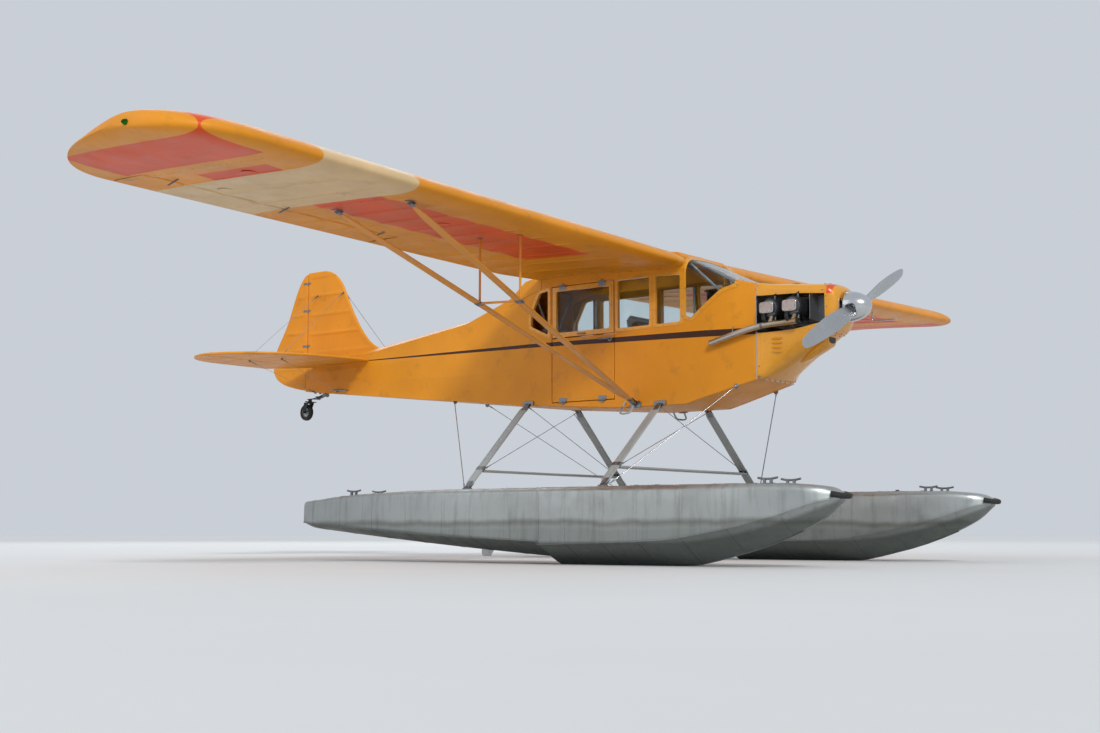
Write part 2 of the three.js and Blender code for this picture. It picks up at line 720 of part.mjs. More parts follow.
// Propeller and spinner. Blade columns: radius, chord, thickness, pitch angle
const BLADE = [
  [30, 84, 60, 0.9], [190, 118, 34, 0.72], [430, 138, 20, 0.46], [700, 118, 13, 0.31], [880, 84, 9, 0.25],
  [PROPELLER_RADIUS, 30, 6, 0.23],
];

function bladeRing([radius, chord, thick, pitch]) {
  const outline = [[-0.5, 0], [-0.28, 0.36], [0.1, 0.5], [0.5, 0], [0.1, -0.28], [-0.28, -0.24]];
  return outline.map(([across, height]) => {
    const y = across * chord;
    const x = height * thick;
    return new THREE.Vector3(
      x * Math.cos(pitch) - y * Math.sin(pitch), x * Math.sin(pitch) + y * Math.cos(pitch), radius,
    );
  });
}

const HUB = { radius: 56, length: 92, behind: 24, bladePlane: 52 };
const SPINNER_SLOT = { thick: 86, wide: 104, long: 160 };

function makePropeller() {
  const planeX = SPINNER.base + HUB.bladePlane;
  const hub = turnedAlongX(
    [[0, 0], [0, HUB.radius], [HUB.length, HUB.radius], [HUB.length, 0]],
    SPINNER.base - HUB.behind, 0, THRUST_Z, 16,
  );
  const blades = [0, Math.PI].map((turn) => {
    const blade = geometryOf(loft(BLADE.map(bladeRing)));
    blade.rotateX(turn + PROPELLER_REST_ANGLE + Math.PI / 2);
    blade.translate(planeX, 0, THRUST_Z);
    return solid(blade);
  });
  const propeller = joined([hub, ...blades]);
  addPiece('propeller', propeller, 'bareMetal');

  const length = SPINNER.tip - SPINNER.base;
  const profile = [[0, 0], [0, SPINNER.radius]];
  for (const share of [0.25, 0.5, 0.72, 0.9]) {
    profile.push([length * share, SPINNER.radius * Math.sqrt(1 - share ** 1.9)]);
  }
  profile.push([length, 0]);
  const cone = turnedAlongX(profile, SPINNER.base, 0, THRUST_Z, 20);
  const seatRadius = HUB.radius + FIT_GAP;
  const seatEnd = HUB.length - HUB.behind + 1;
  const seat = turnedAlongX(
    [[-30, 0], [-30, seatRadius], [seatEnd, seatRadius], [seatEnd, 0]], SPINNER.base, 0, THRUST_Z, 16,
  );
  const slots = [0, Math.PI].map((turn) => {
    const slot = new THREE.BoxGeometry(SPINNER_SLOT.thick, SPINNER_SLOT.wide, SPINNER_SLOT.long);
    slot.translate(0, 0, SPINNER_SLOT.long / 2 + 30);
    slot.rotateX(turn + PROPELLER_REST_ANGLE + Math.PI / 2);
    slot.translate(planeX, 0, THRUST_Z);
    return solid(slot);
  });
  addPiece('spinner', slots.reduce((whole, slot) => whole.subtract(slot), cone.subtract(seat)), 'bareMetal');
}

// Instrument panel, a plate across the cabin under the windshield
const PANEL = { x: 168, thick: 12, half: 286, low: -500, high: -232 };

function makePanel() {
  const { x, thick, half, low, high } = PANEL;
  addPiece('instrument_panel', block(x, x + thick, -half, half, low, high), 'panelBlack');
}

// Seats, one behind the other. Columns: name, front edge, back edge, pan height
const SEATS = [
  ['front', -215, -590, -830],
  ['rear', -1120, -1500, -850],
];
const SEAT = { half: 205, pan: 14, backHeight: 470, backLean: 78, legY: 188, legHalf: 12 };
const PAD = { inset: 6, thick: 60, proud: 76, height: 430, topHeight: 452 };

function seatFrame(front, back, height) {
  const { half, pan, backHeight, backLean, legY, legHalf } = SEAT;
  const profile = [
    [front, height], [front, height - pan], [back - 12, height - pan],
    [back - 14 - backLean, height + backHeight], [back - backLean, height + backHeight], [back, height],
  ];
  const places = [front - 30, back + 20].flatMap((x) => [[x, legY], [x, -legY]]);
  const legs = places.map(([x, y]) => block(
    x - legHalf, x + legHalf, y - legHalf, y + legHalf, floorAt(x - legHalf) + FIT_GAP, height - pan / 2,
  ));
  return joined([sidePrism(profile, -half, half), ...legs]);
}

function seatCushion(front, back, height) {
  const half = SEAT.half - PAD.inset;
  const under = height + FIT_GAP + 1;
  const rear = back + SEAT.backLean;
  return sidePrism([
    [front + 10, height + 12], [front + 10, height + PAD.thick], [front - 12, height + PAD.proud],
    [rear, height + PAD.proud], [rear, under], [front - 4, under],
  ], -half, half);
}

function seatBackPad(back, height) {
  const half = SEAT.half - PAD.inset;
  const lean = SEAT.backLean / SEAT.backHeight;
  return sidePrism([
    [back + 5, height + 6], [back + PAD.thick, height + 6],
    [back + PAD.thick + 2 - lean * PAD.height, height + PAD.height],
    [back + 46 - lean * 450, height + PAD.topHeight], [back + 5 - lean * 446, height + PAD.topHeight],
  ], -half, half);
}

function makeSeats() {
  for (const [label, front, back, height] of SEATS) {
    addPiece(`${label}_seat_frame`, seatFrame(front, back, height), 'paintedTube');
    addPiece(`${label}_seat_cushion`, seatCushion(front, back, height), 'seatCloth');
    addPiece(`${label}_seat_back_pad`, seatBackPad(back, height), 'seatCloth');
  }
}

// Control sticks on their shared torque tube, fixed in place
const STICK = { places: [-60, -960], top: -680, lean: 20, thick: 24, tube: 34, block: 34 };

function makeSticks() {
  const floor = floorAt(-1000) + FIT_GAP;
  const sticks = [bar([20, 0, floor + 36], [-1010, 0, floor + 28], STICK.tube)];
  for (const x of STICK.places) {
    sticks.push(bar([x, 0, floor + 30], [x - STICK.lean, 0, STICK.top], STICK.thick));
    sticks.push(block(x - STICK.block, x + STICK.block, -32, 32, floor, floor + 36));
  }
  addPiece('control_sticks', joined(sticks), 'panelBlack');
}

// Wing struts: a front and a rear bar on each side that meet at one foot, with a jury frame halfway
const STRUT = { footX: -480, footZ: -1118, wingY: 3300, frontX: -265, rearX: -960, chord: 64, thick: 30 };
const JURY = { share: 0.56, thick: 22 };

function pointAlong(a, b, share) {
  return a.map((value, i) => value + (b[i] - value) * share);
}

function makeWingStruts() {
  for (const [side, label] of [[1, 'left'], [-1, 'right']]) {
    const { footX, footZ, wingY } = STRUT;
    const foot = [footX, side * 372, footZ];
    const parts = [block(footX - 50, footX + 50, side * 350, side * 384, footZ - 40, footZ + 14)];
    const tops = [STRUT.frontX, STRUT.rearX].map((x) => [x, side * wingY, wingBottom(x, wingY) - 20]);
    for (const top of tops) {
      parts.push(bar(foot, top, STRUT.chord, STRUT.thick));
      parts.push(block(top[0] - 42, top[0] + 42, top[1] - 36, top[1] + 36, top[2] - 12, top[2] + 16));
    }
    const middles = tops.map((top) => pointAlong(foot, top, JURY.share));
    parts.push(bar(middles[0], middles[1], JURY.thick, JURY.thick, 6));
    for (const [x, y, z] of middles) {
      parts.push(bar([x, y, z], [x, y, wingBottom(x, y) - 3], JURY.thick, JURY.thick, 6));
    }
    addPiece(`wing_struts_${label}`, joined(parts), 'yellowMetal');
  }
}

// Float frames: two struts and a spreader bar, one frame in front and one behind
const FLOAT_STRUT = { chord: 74, thick: 34, topFitting: 60, footPlate: 90, footHalf: 50, outward: 14 };
const SPREADER = { chord: 70, thick: 40 };

function makeFloatFrame(label, { x, topY, topZ }) {
  const { chord, thick, topFitting, footPlate, footHalf, outward } = FLOAT_STRUT;
  const parts = [];
  const drop = (topZ - SPREADER_Z) / (topZ - DECK_Z);
  for (const side of [1, -1]) {
    const [inner, outer] = [FOOT_Y - footHalf, FOOT_Y + footHalf];
    const top = [x, side * (topY + outward), topZ + 6];
    const foot = [x, side * FOOT_Y, DECK_Z + 24];
    parts.push(bar(top, foot, chord, thick));
    parts.push(block(
      x - topFitting, x + topFitting, side * (topY - 3), side * (topY + 30), topZ + 2, topZ + 44,
    ));
    parts.push(block(x - footPlate, x + footPlate, side * inner, side * outer, DECK_Z + 1, DECK_Z + 30));
  }
  const reach = topY + outward + (FOOT_Y - topY - outward) * drop;
  parts.push(bar([x, -reach, SPREADER_Z], [x, reach, SPREADER_Z], SPREADER.chord, SPREADER.thick));
  addPiece(`float_frame_${label}`, joined(parts), 'paintedTube');
}

// Float hull. Columns: x, half beam, deck, chine, keel
const HULL = [
  [BOW_X, 58, -1905, -1938, -1962],
  [1735, 158, -1862, -1965, -2068],
  [1480, 242, -1840, -2052, -2190],
  [1100, 296, DECK_Z, -2146, -2312],
  [560, 322, DECK_Z, -2226, KEEL_Z],
  [STEP_X, 325, DECK_Z, -2262, KEEL_Z],
  [STEP_X - 2, 318, DECK_Z, -2236, -2358],
  [-1500, 300, DECK_Z, -2196, -2286],
  [-2500, 250, DECK_Z - 22, -2132, -2200],
  [STERN_X, 192, DECK_Z - 72, -2086, -2136],
];
const KEEL_HALF = 22;
const HULL_SKIN = 12;
const DECK_SHEET = 14;
const SHOULDER = 46;

function hullRing([x, half, deck, chine, keel], y) {
  const shoulder = Math.max(deck - SHOULDER, chine + 12);
  return [
    [-KEEL_HALF, keel], [KEEL_HALF, keel], [half, chine], [half * 0.99, shoulder],
    [half * 0.8, deck], [-half * 0.8, deck], [-half * 0.99, shoulder], [-half, chine],
  ].map(([across, z]) => new THREE.Vector3(x, y + across, z));
}

// The hollow inside a hull, which runs up through the deck
function bilgeRing([x, half, deck, chine, keel], y) {
  const wide = half - HULL_SKIN;
  const shoulder = Math.max(deck - SHOULDER - 10, chine + 14);
  const mouth = half * 0.76;
  const profile = [
    [KEEL_HALF - 2, keel + HULL_SKIN], [wide, chine + 8], [wide * 0.99, shoulder],
    [mouth, deck - DECK_SHEET], [mouth, deck + 40],
  ];
  const port = profile.map(([across, z]) => new THREE.Vector3(x, y + across, z));
  const starboard = profile.map(([across, z]) => new THREE.Vector3(x, y - across, z));
  return [...port, ...starboard.reverse()];
}

// The space above a hull's rim, where its deck lies
function deckRing([x, half, deck], y, below) {
  return [[-half, deck - below], [half, deck - below], [half, deck + 60], [-half, deck + 60]]
    .map(([across, z]) => new THREE.Vector3(x, y + across, z));
}

const HATCH = { front: 480, rear: 180, half: 110, proud: 8 };

// Each float is an open tub with a deck sheet laid on its rim, and a hatch cover on the deck
function makeFloats() {
  const longer = HULL.map((row, i) => {
    const beyond = { 0: 5, [HULL.length - 1]: -5 }[i] ?? 0;
    return [row[0] + beyond, ...row.slice(1)];
  });
  const sternX = STERN_X + HULL_SKIN;
  const bilge = [...HULL.slice(1, -1).filter((row) => row[0] !== STEP_X), rowAt(HULL, sternX)];
  for (const [side, label] of [[1, 'left'], [-1, 'right']]) {
    const y = side * FLOAT_Y;
    const hull = loft(HULL.map((row) => hullRing(row, y)));
    const inside = loft(bilge.map((row) => bilgeRing(row, y)));
    const rim = loft(longer.map((row) => deckRing(row, y, DECK_SHEET)));
    addPiece(`float_${label}`, hull.subtract(rim).subtract(inside), 'floatMetal');

    const lid = loft(longer.map((row) => deckRing(row, y, DECK_SHEET - FIT_GAP)));
    const hatch = block(
      HATCH.rear, HATCH.front, y - HATCH.half, y + HATCH.half, DECK_Z - 4, DECK_Z + HATCH.proud,
    );
    addPiece(`float_deck_${label}`, hull.intersect(lid).add(hatch), 'floatMetal');
  }
}

const WATER_RUDDER = { x: STERN_X - 46, top: -1955, bottom: -2105, pivotZ: -2030, reach: 470, slant: 0.6 };

// Two arms on a plate at the stern of the port float carry the water rudder's post
function makeWaterRudderBracket() {
  const { x, top, bottom } = WATER_RUDDER;
  const y = FLOAT_Y;
  const face = STERN_X - FIT_GAP;
  const arms = [top + 2, bottom - 14].map((z) => block(face - 2, x - 22, y - 26, y + 26, z, z + 12));
  const plate = block(face, face - 8, y - 42, y + 42, bottom - 18, top + 18);
  addPiece('water_rudder_bracket', joined([plate, ...arms]), 'darkMetal');
}

function makeWaterRudder() {
  const { x, top, bottom, pivotZ, reach, slant } = WATER_RUDDER;
  const y = FLOAT_Y;
  const post = bar([x, y, bottom], [x, y, top], 34, 34, 10);
  const cheeks = [-1, 1].map((side) => block(
    x - 52, x, y + side * 12, y + side * 20, pivotZ - 26, pivotZ + 26,
  ));
  addPiece('water_rudder_post', joined([post, ...cheeks]), 'darkMetal');

  const wide = 150;
  const shape = new THREE.Shape();
  shape.moveTo(-14, -14);
  shape.lineTo(14, -14);
  shape.lineTo(30, 150);
  shape.lineTo(wide * 0.5, 220);
  shape.lineTo(wide * 0.46, reach - 60);
  shape.quadraticCurveTo(wide * 0.34, reach, 0, reach);
  shape.quadraticCurveTo(-wide * 0.4, reach, -wide * 0.44, reach - 80);
  shape.lineTo(-wide * 0.4, 220);
  shape.lineTo(-24, 150);
  const plate = new THREE.ExtrudeGeometry(shape, { depth: 12, bevelEnabled: false, curveSegments: 4 });
  plate.rotateX(-Math.PI / 2);
  plate.translate(0, -6, 0);
  plate.rotateY(slant);
  plate.translate(x - 36, y, pivotZ);
  addPiece('water_rudder_blade', solid(plate), 'bareMetal');
}

// Tail surfaces
function finOutline() {
  const shape = new THREE.Shape();
  shape.moveTo(-3700, -398);
  shape.bezierCurveTo(-3930, -350, -4080, -60, -4230, 240);
  shape.bezierCurveTo(-4310, 400, -4430, 450, -4540, 450);
  shape.lineTo(TAIL_POST_X, 450);
  shape.lineTo(TAIL_POST_X, -430);
  return shape;
}

function uprightPlate(shape, half) {
  const plate = new THREE.ExtrudeGeometry(shape, { depth: half * 2, bevelEnabled: false, curveSegments: 7 });
  plate.rotateX(Math.PI / 2);
  plate.translate(0, half, 0);
  return solid(plate);
}

function makeFinAndRudder() {
  const deck = loft(BODY.map(([x, half, bottom, shoulder, ridge]) => bodyRing(
    [x, half + 1, bottom, shoulder + FIT_GAP, ridge + FIT_GAP],
  )));
  addPiece('fin', uprightPlate(finOutline(), TAIL_SKIN).subtract(deck), 'yellowFabric');

  const front = RUDDER_HINGE_X;
  const shape = new THREE.Shape();
  shape.moveTo(front, -752);
  shape.lineTo(front, 436);
  shape.bezierCurveTo(-4870, 400, -4950, 180, -5030, -20);
  shape.bezierCurveTo(-5130, -220, TAIL_X, -320, TAIL_X, -490);
  shape.bezierCurveTo(TAIL_X, -640, -5080, -700, front, -752);
  const nose = bar([front, 0, -752], [front, 0, 430], TAIL_SKIN * 2 - 1, TAIL_SKIN * 2 - 1, 10);
  addPiece('rudder', uprightPlate(shape, TAIL_SKIN - 0.5).add(nose), 'yellowFabric');
}

function makeTailplane() {
  const rear = ELEVATOR_HINGE_X + TAIL_SKIN + MOVE_GAP;
  const panels = [1, -1].map((side) => {
    const shape = new THREE.Shape();
    shape.moveTo(-3740, side * 20);
    shape.lineTo(-3770, side * 400);
    shape.bezierCurveTo(-3820, side * 800, -3980, side * 1120, -4240, side * 1310);
    shape.bezierCurveTo(-4400, side * 1400, -4500, side * 1430, rear, side * TAIL_HALF_SPAN);
    shape.lineTo(rear, side * 20);
    return planPrism(shape, STABILIZER_Z - TAIL_SKIN, STABILIZER_Z + TAIL_SKIN);
  });
  const body = loft(BODY.map(([x, half, ...heights]) => bodyRing([x, half + 1, ...heights])));
  const labels = ['left', 'right'];
  panels.forEach((panel, i) => addPiece(`stabilizer_${labels[i]}`, panel.subtract(body), 'yellowFabric'));

  const back = -5080;
  const halves = [1, -1].map((side) => {
    const shape = new THREE.Shape();
    shape.moveTo(ELEVATOR_HINGE_X, side * 62);
    shape.lineTo(ELEVATOR_HINGE_X - 110, side * 74);
    shape.lineTo(back, side * 268);
    shape.lineTo(back, side * 880);
    shape.bezierCurveTo(back, side * 1240, -4880, side * 1400, ELEVATOR_HINGE_X, side * TAIL_HALF_SPAN);
    return planPrism(shape, STABILIZER_Z - TAIL_SKIN + 1, STABILIZER_Z + TAIL_SKIN - 1);
  });
  const reach = TAIL_HALF_SPAN - 20;
  const noseSize = (TAIL_SKIN - 1) * 2;
  const [noseFrom, noseTo] = [-reach, reach].map((y) => [ELEVATOR_HINGE_X, y, STABILIZER_Z]);
  const nose = bar(noseFrom, noseTo, noseSize, noseSize, 10);
  addPiece('elevators', joined([nose, ...halves]), 'yellowFabric');
}

// Tailwheel on its leaf spring
const TAILWHEEL = { x: -4752, z: -972, radius: 82, half: 24, pivotX: -4706 };

function makeTailwheel() {
  const { x, z, radius, half, pivotX } = TAILWHEEL;
  const leaf = sidePrism([
    [-4480, -796], [-4480, -806], [-4640, -846], [pivotX - 24, -846], [pivotX - 24, -834], [-4640, -834],
  ], -24, 24);
  addPiece('tailwheel_spring', leaf, 'darkMetal');

  const boss = turnedUp([[0, 0], [0, 22], [24, 22], [24, 0]], pivotX, 0, -874, 10);
  const crown = block(pivotX - 50, pivotX + 22, -half - 20, half + 20, -882, -872);
  const arms = [1, -1].map((side) => {
    const outline = [
      [pivotX + 20, -880], [pivotX - 48, -880], [x - 20, z - 14], [x + 16, z - 14],
    ];
    return sidePrism(outline, side * (half + 10), side * (half + 19));
  });
  const axle = bar([x, -half - 12, z], [x, half + 12, z], 14, 14, 8);
  addPiece('tailwheel_fork', joined([boss, crown, ...arms, axle]), 'darkMetal');

  const tyre = turnedAlongY([
    [-half + 6, 12], [-half + 4, 40], [-half, 60], [-half + 6, radius - 8], [0, radius],
    [half - 6, radius - 8], [half, 60], [half - 4, 40], [half - 6, 12], [-half + 6, 12],
  ], x, 0, z, 20);
  addPiece('tailwheel', tyre, 'rubber');
}

function turnedUp(profile, x, y, z, segments) {
  const points = profile.map(([along, radius]) => new THREE.Vector2(radius, along));
  const lathe = new THREE.LatheGeometry(points, segments);
  lathe.rotateX(Math.PI / 2);
  lathe.translate(x, y, z);
  return solid(facingOut(mergeVertices(withoutExtras(lathe), 1e-4)));
}

makeWings();
makeCabin();
makeScreenAndSkylight();
makeSideGlass();
makeDoors();
makeRearFuselage();
makeFirewall();
makeCowling();
makeNoseBowl();
makeEngine();
makeExhausts();
makePropeller();
makePanel();
makeSeats();
makeSticks();
makeWingStruts();
makeFloatFrame('front', FRONT_FRAME);
makeFloatFrame('rear', REAR_FRAME);
makeFloats();
makeWaterRudderBracket();
makeWaterRudder();
makeFinAndRudder();
makeTailplane();
makeTailwheel();

// Stand the aircraft on its keels, with the middle of its box over the origin
const floatplane = new THREE.Group();
airframe.position.set(-(TAIL_X + BOW_X) / 2, 0, -KEEL_Z);
floatplane.add(airframe);

export default floatplane;
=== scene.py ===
"""A two-seat, high-wing light aeroplane on twin floats, dressed for the studio.

Shapes are drawn in the airframe's own millimetres, as in the part's source: x = 0 and z = 0 are the wing's
leading edge and chord plane at the root, +X is the nose, +Y the port side and +Z up."""

import json
import math
from functools import partial

import bmesh
import bpy
import numpy as np
from mathutils import Matrix, Vector

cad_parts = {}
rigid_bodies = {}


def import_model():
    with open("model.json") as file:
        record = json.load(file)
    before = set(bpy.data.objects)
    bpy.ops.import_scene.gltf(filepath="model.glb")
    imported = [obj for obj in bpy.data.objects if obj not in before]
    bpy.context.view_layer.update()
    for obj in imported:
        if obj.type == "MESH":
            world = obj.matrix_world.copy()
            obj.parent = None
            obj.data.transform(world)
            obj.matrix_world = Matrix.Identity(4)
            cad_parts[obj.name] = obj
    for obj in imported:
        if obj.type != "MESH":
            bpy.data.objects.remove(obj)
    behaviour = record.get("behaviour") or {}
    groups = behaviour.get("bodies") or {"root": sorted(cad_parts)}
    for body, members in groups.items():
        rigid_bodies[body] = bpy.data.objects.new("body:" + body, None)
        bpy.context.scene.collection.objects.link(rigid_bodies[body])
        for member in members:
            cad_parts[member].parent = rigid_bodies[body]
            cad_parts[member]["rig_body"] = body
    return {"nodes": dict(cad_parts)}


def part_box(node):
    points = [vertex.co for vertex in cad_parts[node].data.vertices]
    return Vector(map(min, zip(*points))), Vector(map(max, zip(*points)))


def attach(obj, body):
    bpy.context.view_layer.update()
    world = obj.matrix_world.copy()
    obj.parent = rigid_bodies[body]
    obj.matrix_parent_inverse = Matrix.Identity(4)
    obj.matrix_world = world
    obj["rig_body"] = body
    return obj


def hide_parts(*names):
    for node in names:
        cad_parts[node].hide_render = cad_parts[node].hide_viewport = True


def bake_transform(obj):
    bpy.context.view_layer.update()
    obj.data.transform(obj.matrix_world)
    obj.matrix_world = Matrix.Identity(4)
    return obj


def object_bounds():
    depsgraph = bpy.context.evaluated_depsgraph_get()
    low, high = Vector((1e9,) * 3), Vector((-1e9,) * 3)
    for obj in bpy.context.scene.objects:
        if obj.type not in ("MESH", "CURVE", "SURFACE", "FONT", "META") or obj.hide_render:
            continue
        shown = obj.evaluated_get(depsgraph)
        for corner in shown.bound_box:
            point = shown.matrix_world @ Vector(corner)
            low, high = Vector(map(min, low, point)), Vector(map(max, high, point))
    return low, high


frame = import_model()
cad_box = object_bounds()

MM = 0.001
TAIL_REACH = 5250
KEEL_DEPTH = 2410
ORIGIN = Vector((cad_box[0][0] + TAIL_REACH * MM, 0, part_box("float_left")[0][2] + KEEL_DEPTH * MM))
SIDES = ((1, "left"), (-1, "right"))
ALONG, ACROSS, UP = (1, 0, 0), (0, 1, 0), (0, 0, 1)


# Shapes


class Shape:
    """Points in airframe millimetres, and the faces between them."""

    def __init__(self, points=(), faces=()):
        self.points = [Vector(point) for point in points]
        self.faces = [tuple(face) for face in faces]

    def __add__(self, other):
        start = len(self.points)
        moved = [tuple(i + start for i in face) for face in other.faces]
        return Shape(self.points + other.points, self.faces + moved)

    def put(self, matrix):
        return Shape([matrix @ point for point in self.points], self.faces)

    def moved(self, x=0, y=0, z=0):
        return self.put(Matrix.Translation((x, y, z)))

    def mirrored(self):
        return Shape([(p.x, -p.y, p.z) for p in self.points], [face[::-1] for face in self.faces])


def joined(shapes):
    return sum(shapes, Shape())


def on_side(shape, side):
    return shape if side > 0 else shape.mirrored()


def both_sides(shape):
    return shape + shape.mirrored()


def loft(rings, ends=True, closed=True, loop=False):
    """Skin over rings of equally many points; loop joins the last ring to the first."""
    count = len(rings[0])
    faces = []
    for row in range(len(rings) if loop else len(rings) - 1):
        after = (row + 1) % len(rings)
        for i in range(count if closed else count - 1):
            j = (i + 1) % count
            faces.append((row * count + i, row * count + j, after * count + j, after * count + i))
    if ends and not loop:
        last = (len(rings) - 1) * count
        faces += [tuple(range(count))[::-1], tuple(range(last, last + count))]
    return Shape([point for ring in rings for point in ring], faces)


def block(x0, x1, y0, y1, z0, z1):
    return loft([[(x, y0, z0), (x, y1, z0), (x, y1, z1), (x, y0, z1)] for x in (x0, x1)])


def prism(outline, axis, low, high):
    """A flat outline given depth along an axis: (y, z) pairs for x, (x, z) for y and (x, y) for z."""
    place = {"x": lambda a, b, c: (c, a, b), "y": lambda a, b, c: (a, c, b), "z": lambda a, b, c: (a, b, c)}
    return loft([[place[axis](a, b, level) for a, b in outline] for level in (low, high)])


def oval(wide, tall=None, count=24, power=2.0, turn=0.0):
    """A ring of (across, up) pairs; a power above 2 squares its corners."""
    tall = wide if tall is None else tall
    ring = []
    for i in range(count):
        angle = turn + 2 * math.pi * i / count
        c, s = math.cos(angle), math.sin(angle)
        ring.append((math.copysign(abs(c) ** (2 / power), c) * wide,
                     math.copysign(abs(s) ** (2 / power), s) * tall))
    return ring


def pad(wide, tall, power, axis, low, high, place=(0, 0, 0), count=20):
    """A flat boss with a squarish oval outline."""
    return prism(oval(wide, tall, count, power), axis, low, high).moved(*place)


def teardrop(chord, thick, count=10):
    """A streamlined tube section, blunt in front: (forward, across) pairs."""
    half = []
    for i in range(count + 1):
        share = (1 - math.cos(math.pi * i / count)) / 2
        wide = 2.6 * (0.2969 * share ** 0.5 - 0.126 * share - 0.3516 * share ** 2 + 0.2843 * share ** 3)
        half.append((chord * (0.42 - share), thick * min(max(wide, 0.05), 0.5)))
    return half + [(a, -b) for a, b in reversed(half)]


def curved(points, steps=8):
    """A smooth line through points."""
    line = [Vector(p) for p in points]
    ends = [2 * line[0] - line[1], *line, 2 * line[-1] - line[-2]]
    smooth = []
    for a, b, c, d in zip(ends, ends[1:], ends[2:], ends[3:]):
        for k in range(steps):
            t = k / steps
            smooth.append(0.5 * (
                2 * b + (c - a) * t + (2 * a - 5 * b + 4 * c - d) * t * t + (3 * b - a - 3 * c + d) * t ** 3
            ))
    return smooth + [line[-1]]


def sweep(path, section, forward=ALONG, sizes=None, loop=False):
    """A section of (forward, across) pairs carried along a path, its forward side kept the same way."""
    path = [Vector(p) for p in path]
    rings = []
    lean = Vector(forward)
    for i, point in enumerate(path):
        before = path[i - 1] if i or loop else point
        after = path[(i + 1) % len(path)] if loop or i + 1 < len(path) else point
        along = (after - before).normalized()
        lean = lean - along * lean.dot(along)
        if lean.length < 0.05:
            lean = Vector(UP) - along * along.z
        lean.normalize()
        side = along.cross(lean)
        size = sizes[i] if sizes else 1
        rings.append([point + lean * (a * size) + side * (b * size) for a, b in section])
    return loft(rings, loop=loop)


def tube(path, radius, sides=12, loop=False):
    return sweep(path, oval(radius, count=sides), loop=loop)


def turned(profile, origin, axis, sides=32, loop=False):
    """A profile of (along, radius) pairs turned about a line through the origin along the axis."""
    along = Vector(axis).normalized()
    side = along.orthogonal().normalized()
    other = along.cross(side)
    rings = [[
        Vector(origin) + along * distance + (side * math.cos(a) + other * math.sin(a)) * radius
        for a in (2 * math.pi * i / sides for i in range(sides))
    ] for distance, radius in profile]
    return loft(rings, ends=False, loop=loop)


def spun(profile, origin, axis, sides=20):
    """A solid turned part: the profile's two ends are closed to the axis."""
    return turned([(profile[0][0], 0), *profile, (profile[-1][0], 0)], origin, axis, sides)


def rod(low, high, radius, origin, axis, sides=14):
    return spun([(low, radius), (high, radius)], origin, axis, sides)


def bolt(origin, axis, grip, wide, head, nut):
    """A six-sided bolt and nut through a joint that reaches the grip to either side of the origin."""
    shank = 6
    profile = [(-grip - head, wide), (-grip, wide), (-grip, shank), (grip, shank), (grip, wide),
               (grip + nut, wide)]
    return spun(profile, origin, axis, 6)


def disc(origin, axis, radius, thick, sides=24, edge=0.2):
    """A round plate whose rim is eased, standing on its origin."""
    ease = thick * edge
    return turned([(0, 0), (0, radius), (thick - ease, radius), (thick, radius - ease), (thick, 0)],
                  origin, axis, sides)


def shell(outer, inner):
    """Two lofts' rings as the outside and inside of one open-ended skin."""
    return loft([*outer, *reversed(inner)], loop=True)


def table_row(table, x):
    """The values of a table at x, on smooth lines through its rows; x runs down or up the first column."""
    rows = np.array(sorted(table), float)
    xs = rows[:, 0]
    k = int(np.clip(np.searchsorted(xs, x) - 1, 0, len(xs) - 2))
    step = xs[k + 1] - xs[k]
    t = float(np.clip((x - xs[k]) / step, 0, 1))
    slopes = np.diff(rows, axis=0) / np.diff(xs)[:, None]

    def tangent(i):
        if i == 0 or i == len(xs) - 1:
            return slopes[min(i, len(slopes) - 1)]
        a, b = slopes[i - 1], slopes[i]
        return np.where(a * b > 0, 2 * a * b / np.where(a + b == 0, 1, a + b), 0)

    h = (2 * t ** 3 - 3 * t ** 2 + 1, t ** 3 - 2 * t ** 2 + t, -2 * t ** 3 + 3 * t ** 2, t ** 3 - t ** 2)
    value = h[0] * rows[k] + h[1] * step * tangent(k) + h[2] * rows[k + 1] + h[3] * step * tangent(k + 1)
    return [float(x), *(float(v) for v in value[1:])]


def bezier(a, b, c, d, steps=20):
    for k in range(1, steps + 1):
        t = k / steps
        weights = ((1 - t) ** 3, 3 * t * (1 - t) ** 2, 3 * t * t * (1 - t), t ** 3)
        yield tuple(sum(w * p[i] for w, p in zip(weights, (a, b, c, d))) for i in range(2))


def evenly(low, high, count):
    return [low + (high - low) * i / (count - 1) for i in range(count)]


def softened(outline, radius=26, steps=4):
    """The outline with its corners rounded."""
    soft = []
    for i, point in enumerate(outline):
        a, b, c = Vector(outline[i - 1]), Vector(point), Vector(outline[(i + 1) % len(outline)])
        start = b + (a - b).normalized() * min(radius, (a - b).length * 0.4)
        end = b + (c - b).normalized() * min(radius, (c - b).length * 0.4)
        for t in evenly(0, 1, steps + 1):
            soft.append(tuple(start * (1 - t) ** 2 + b * (2 * t * (1 - t)) + end * t ** 2))
    return soft


def plate(a0, a1, b0, b1, corner, axis, low, high, steps=3):
    """A flat plate with rounded corners."""
    return prism(softened([(a0, b0), (a1, b0), (a1, b1), (a0, b1)], corner, steps), axis, low, high)


# Finishes

def feed(tree, node, **inputs):
    """Sets or links a node's inputs; an underscore stands for a blank in an input's name."""
    for name, value in inputs.items():
        plug(tree, node.inputs[name.replace("_", " ")], value)
    return node


def plug(tree, socket, value):
    if isinstance(value, bpy.types.NodeSocket):
        tree.links.new(value, socket)
    else:
        socket.default_value = value


def add_node(tree, kind, settings=None, **inputs):
    node = tree.nodes.new(kind)
    for name, value in (settings or {}).items():
        setattr(node, name, value)
    return feed(tree, node, **inputs)


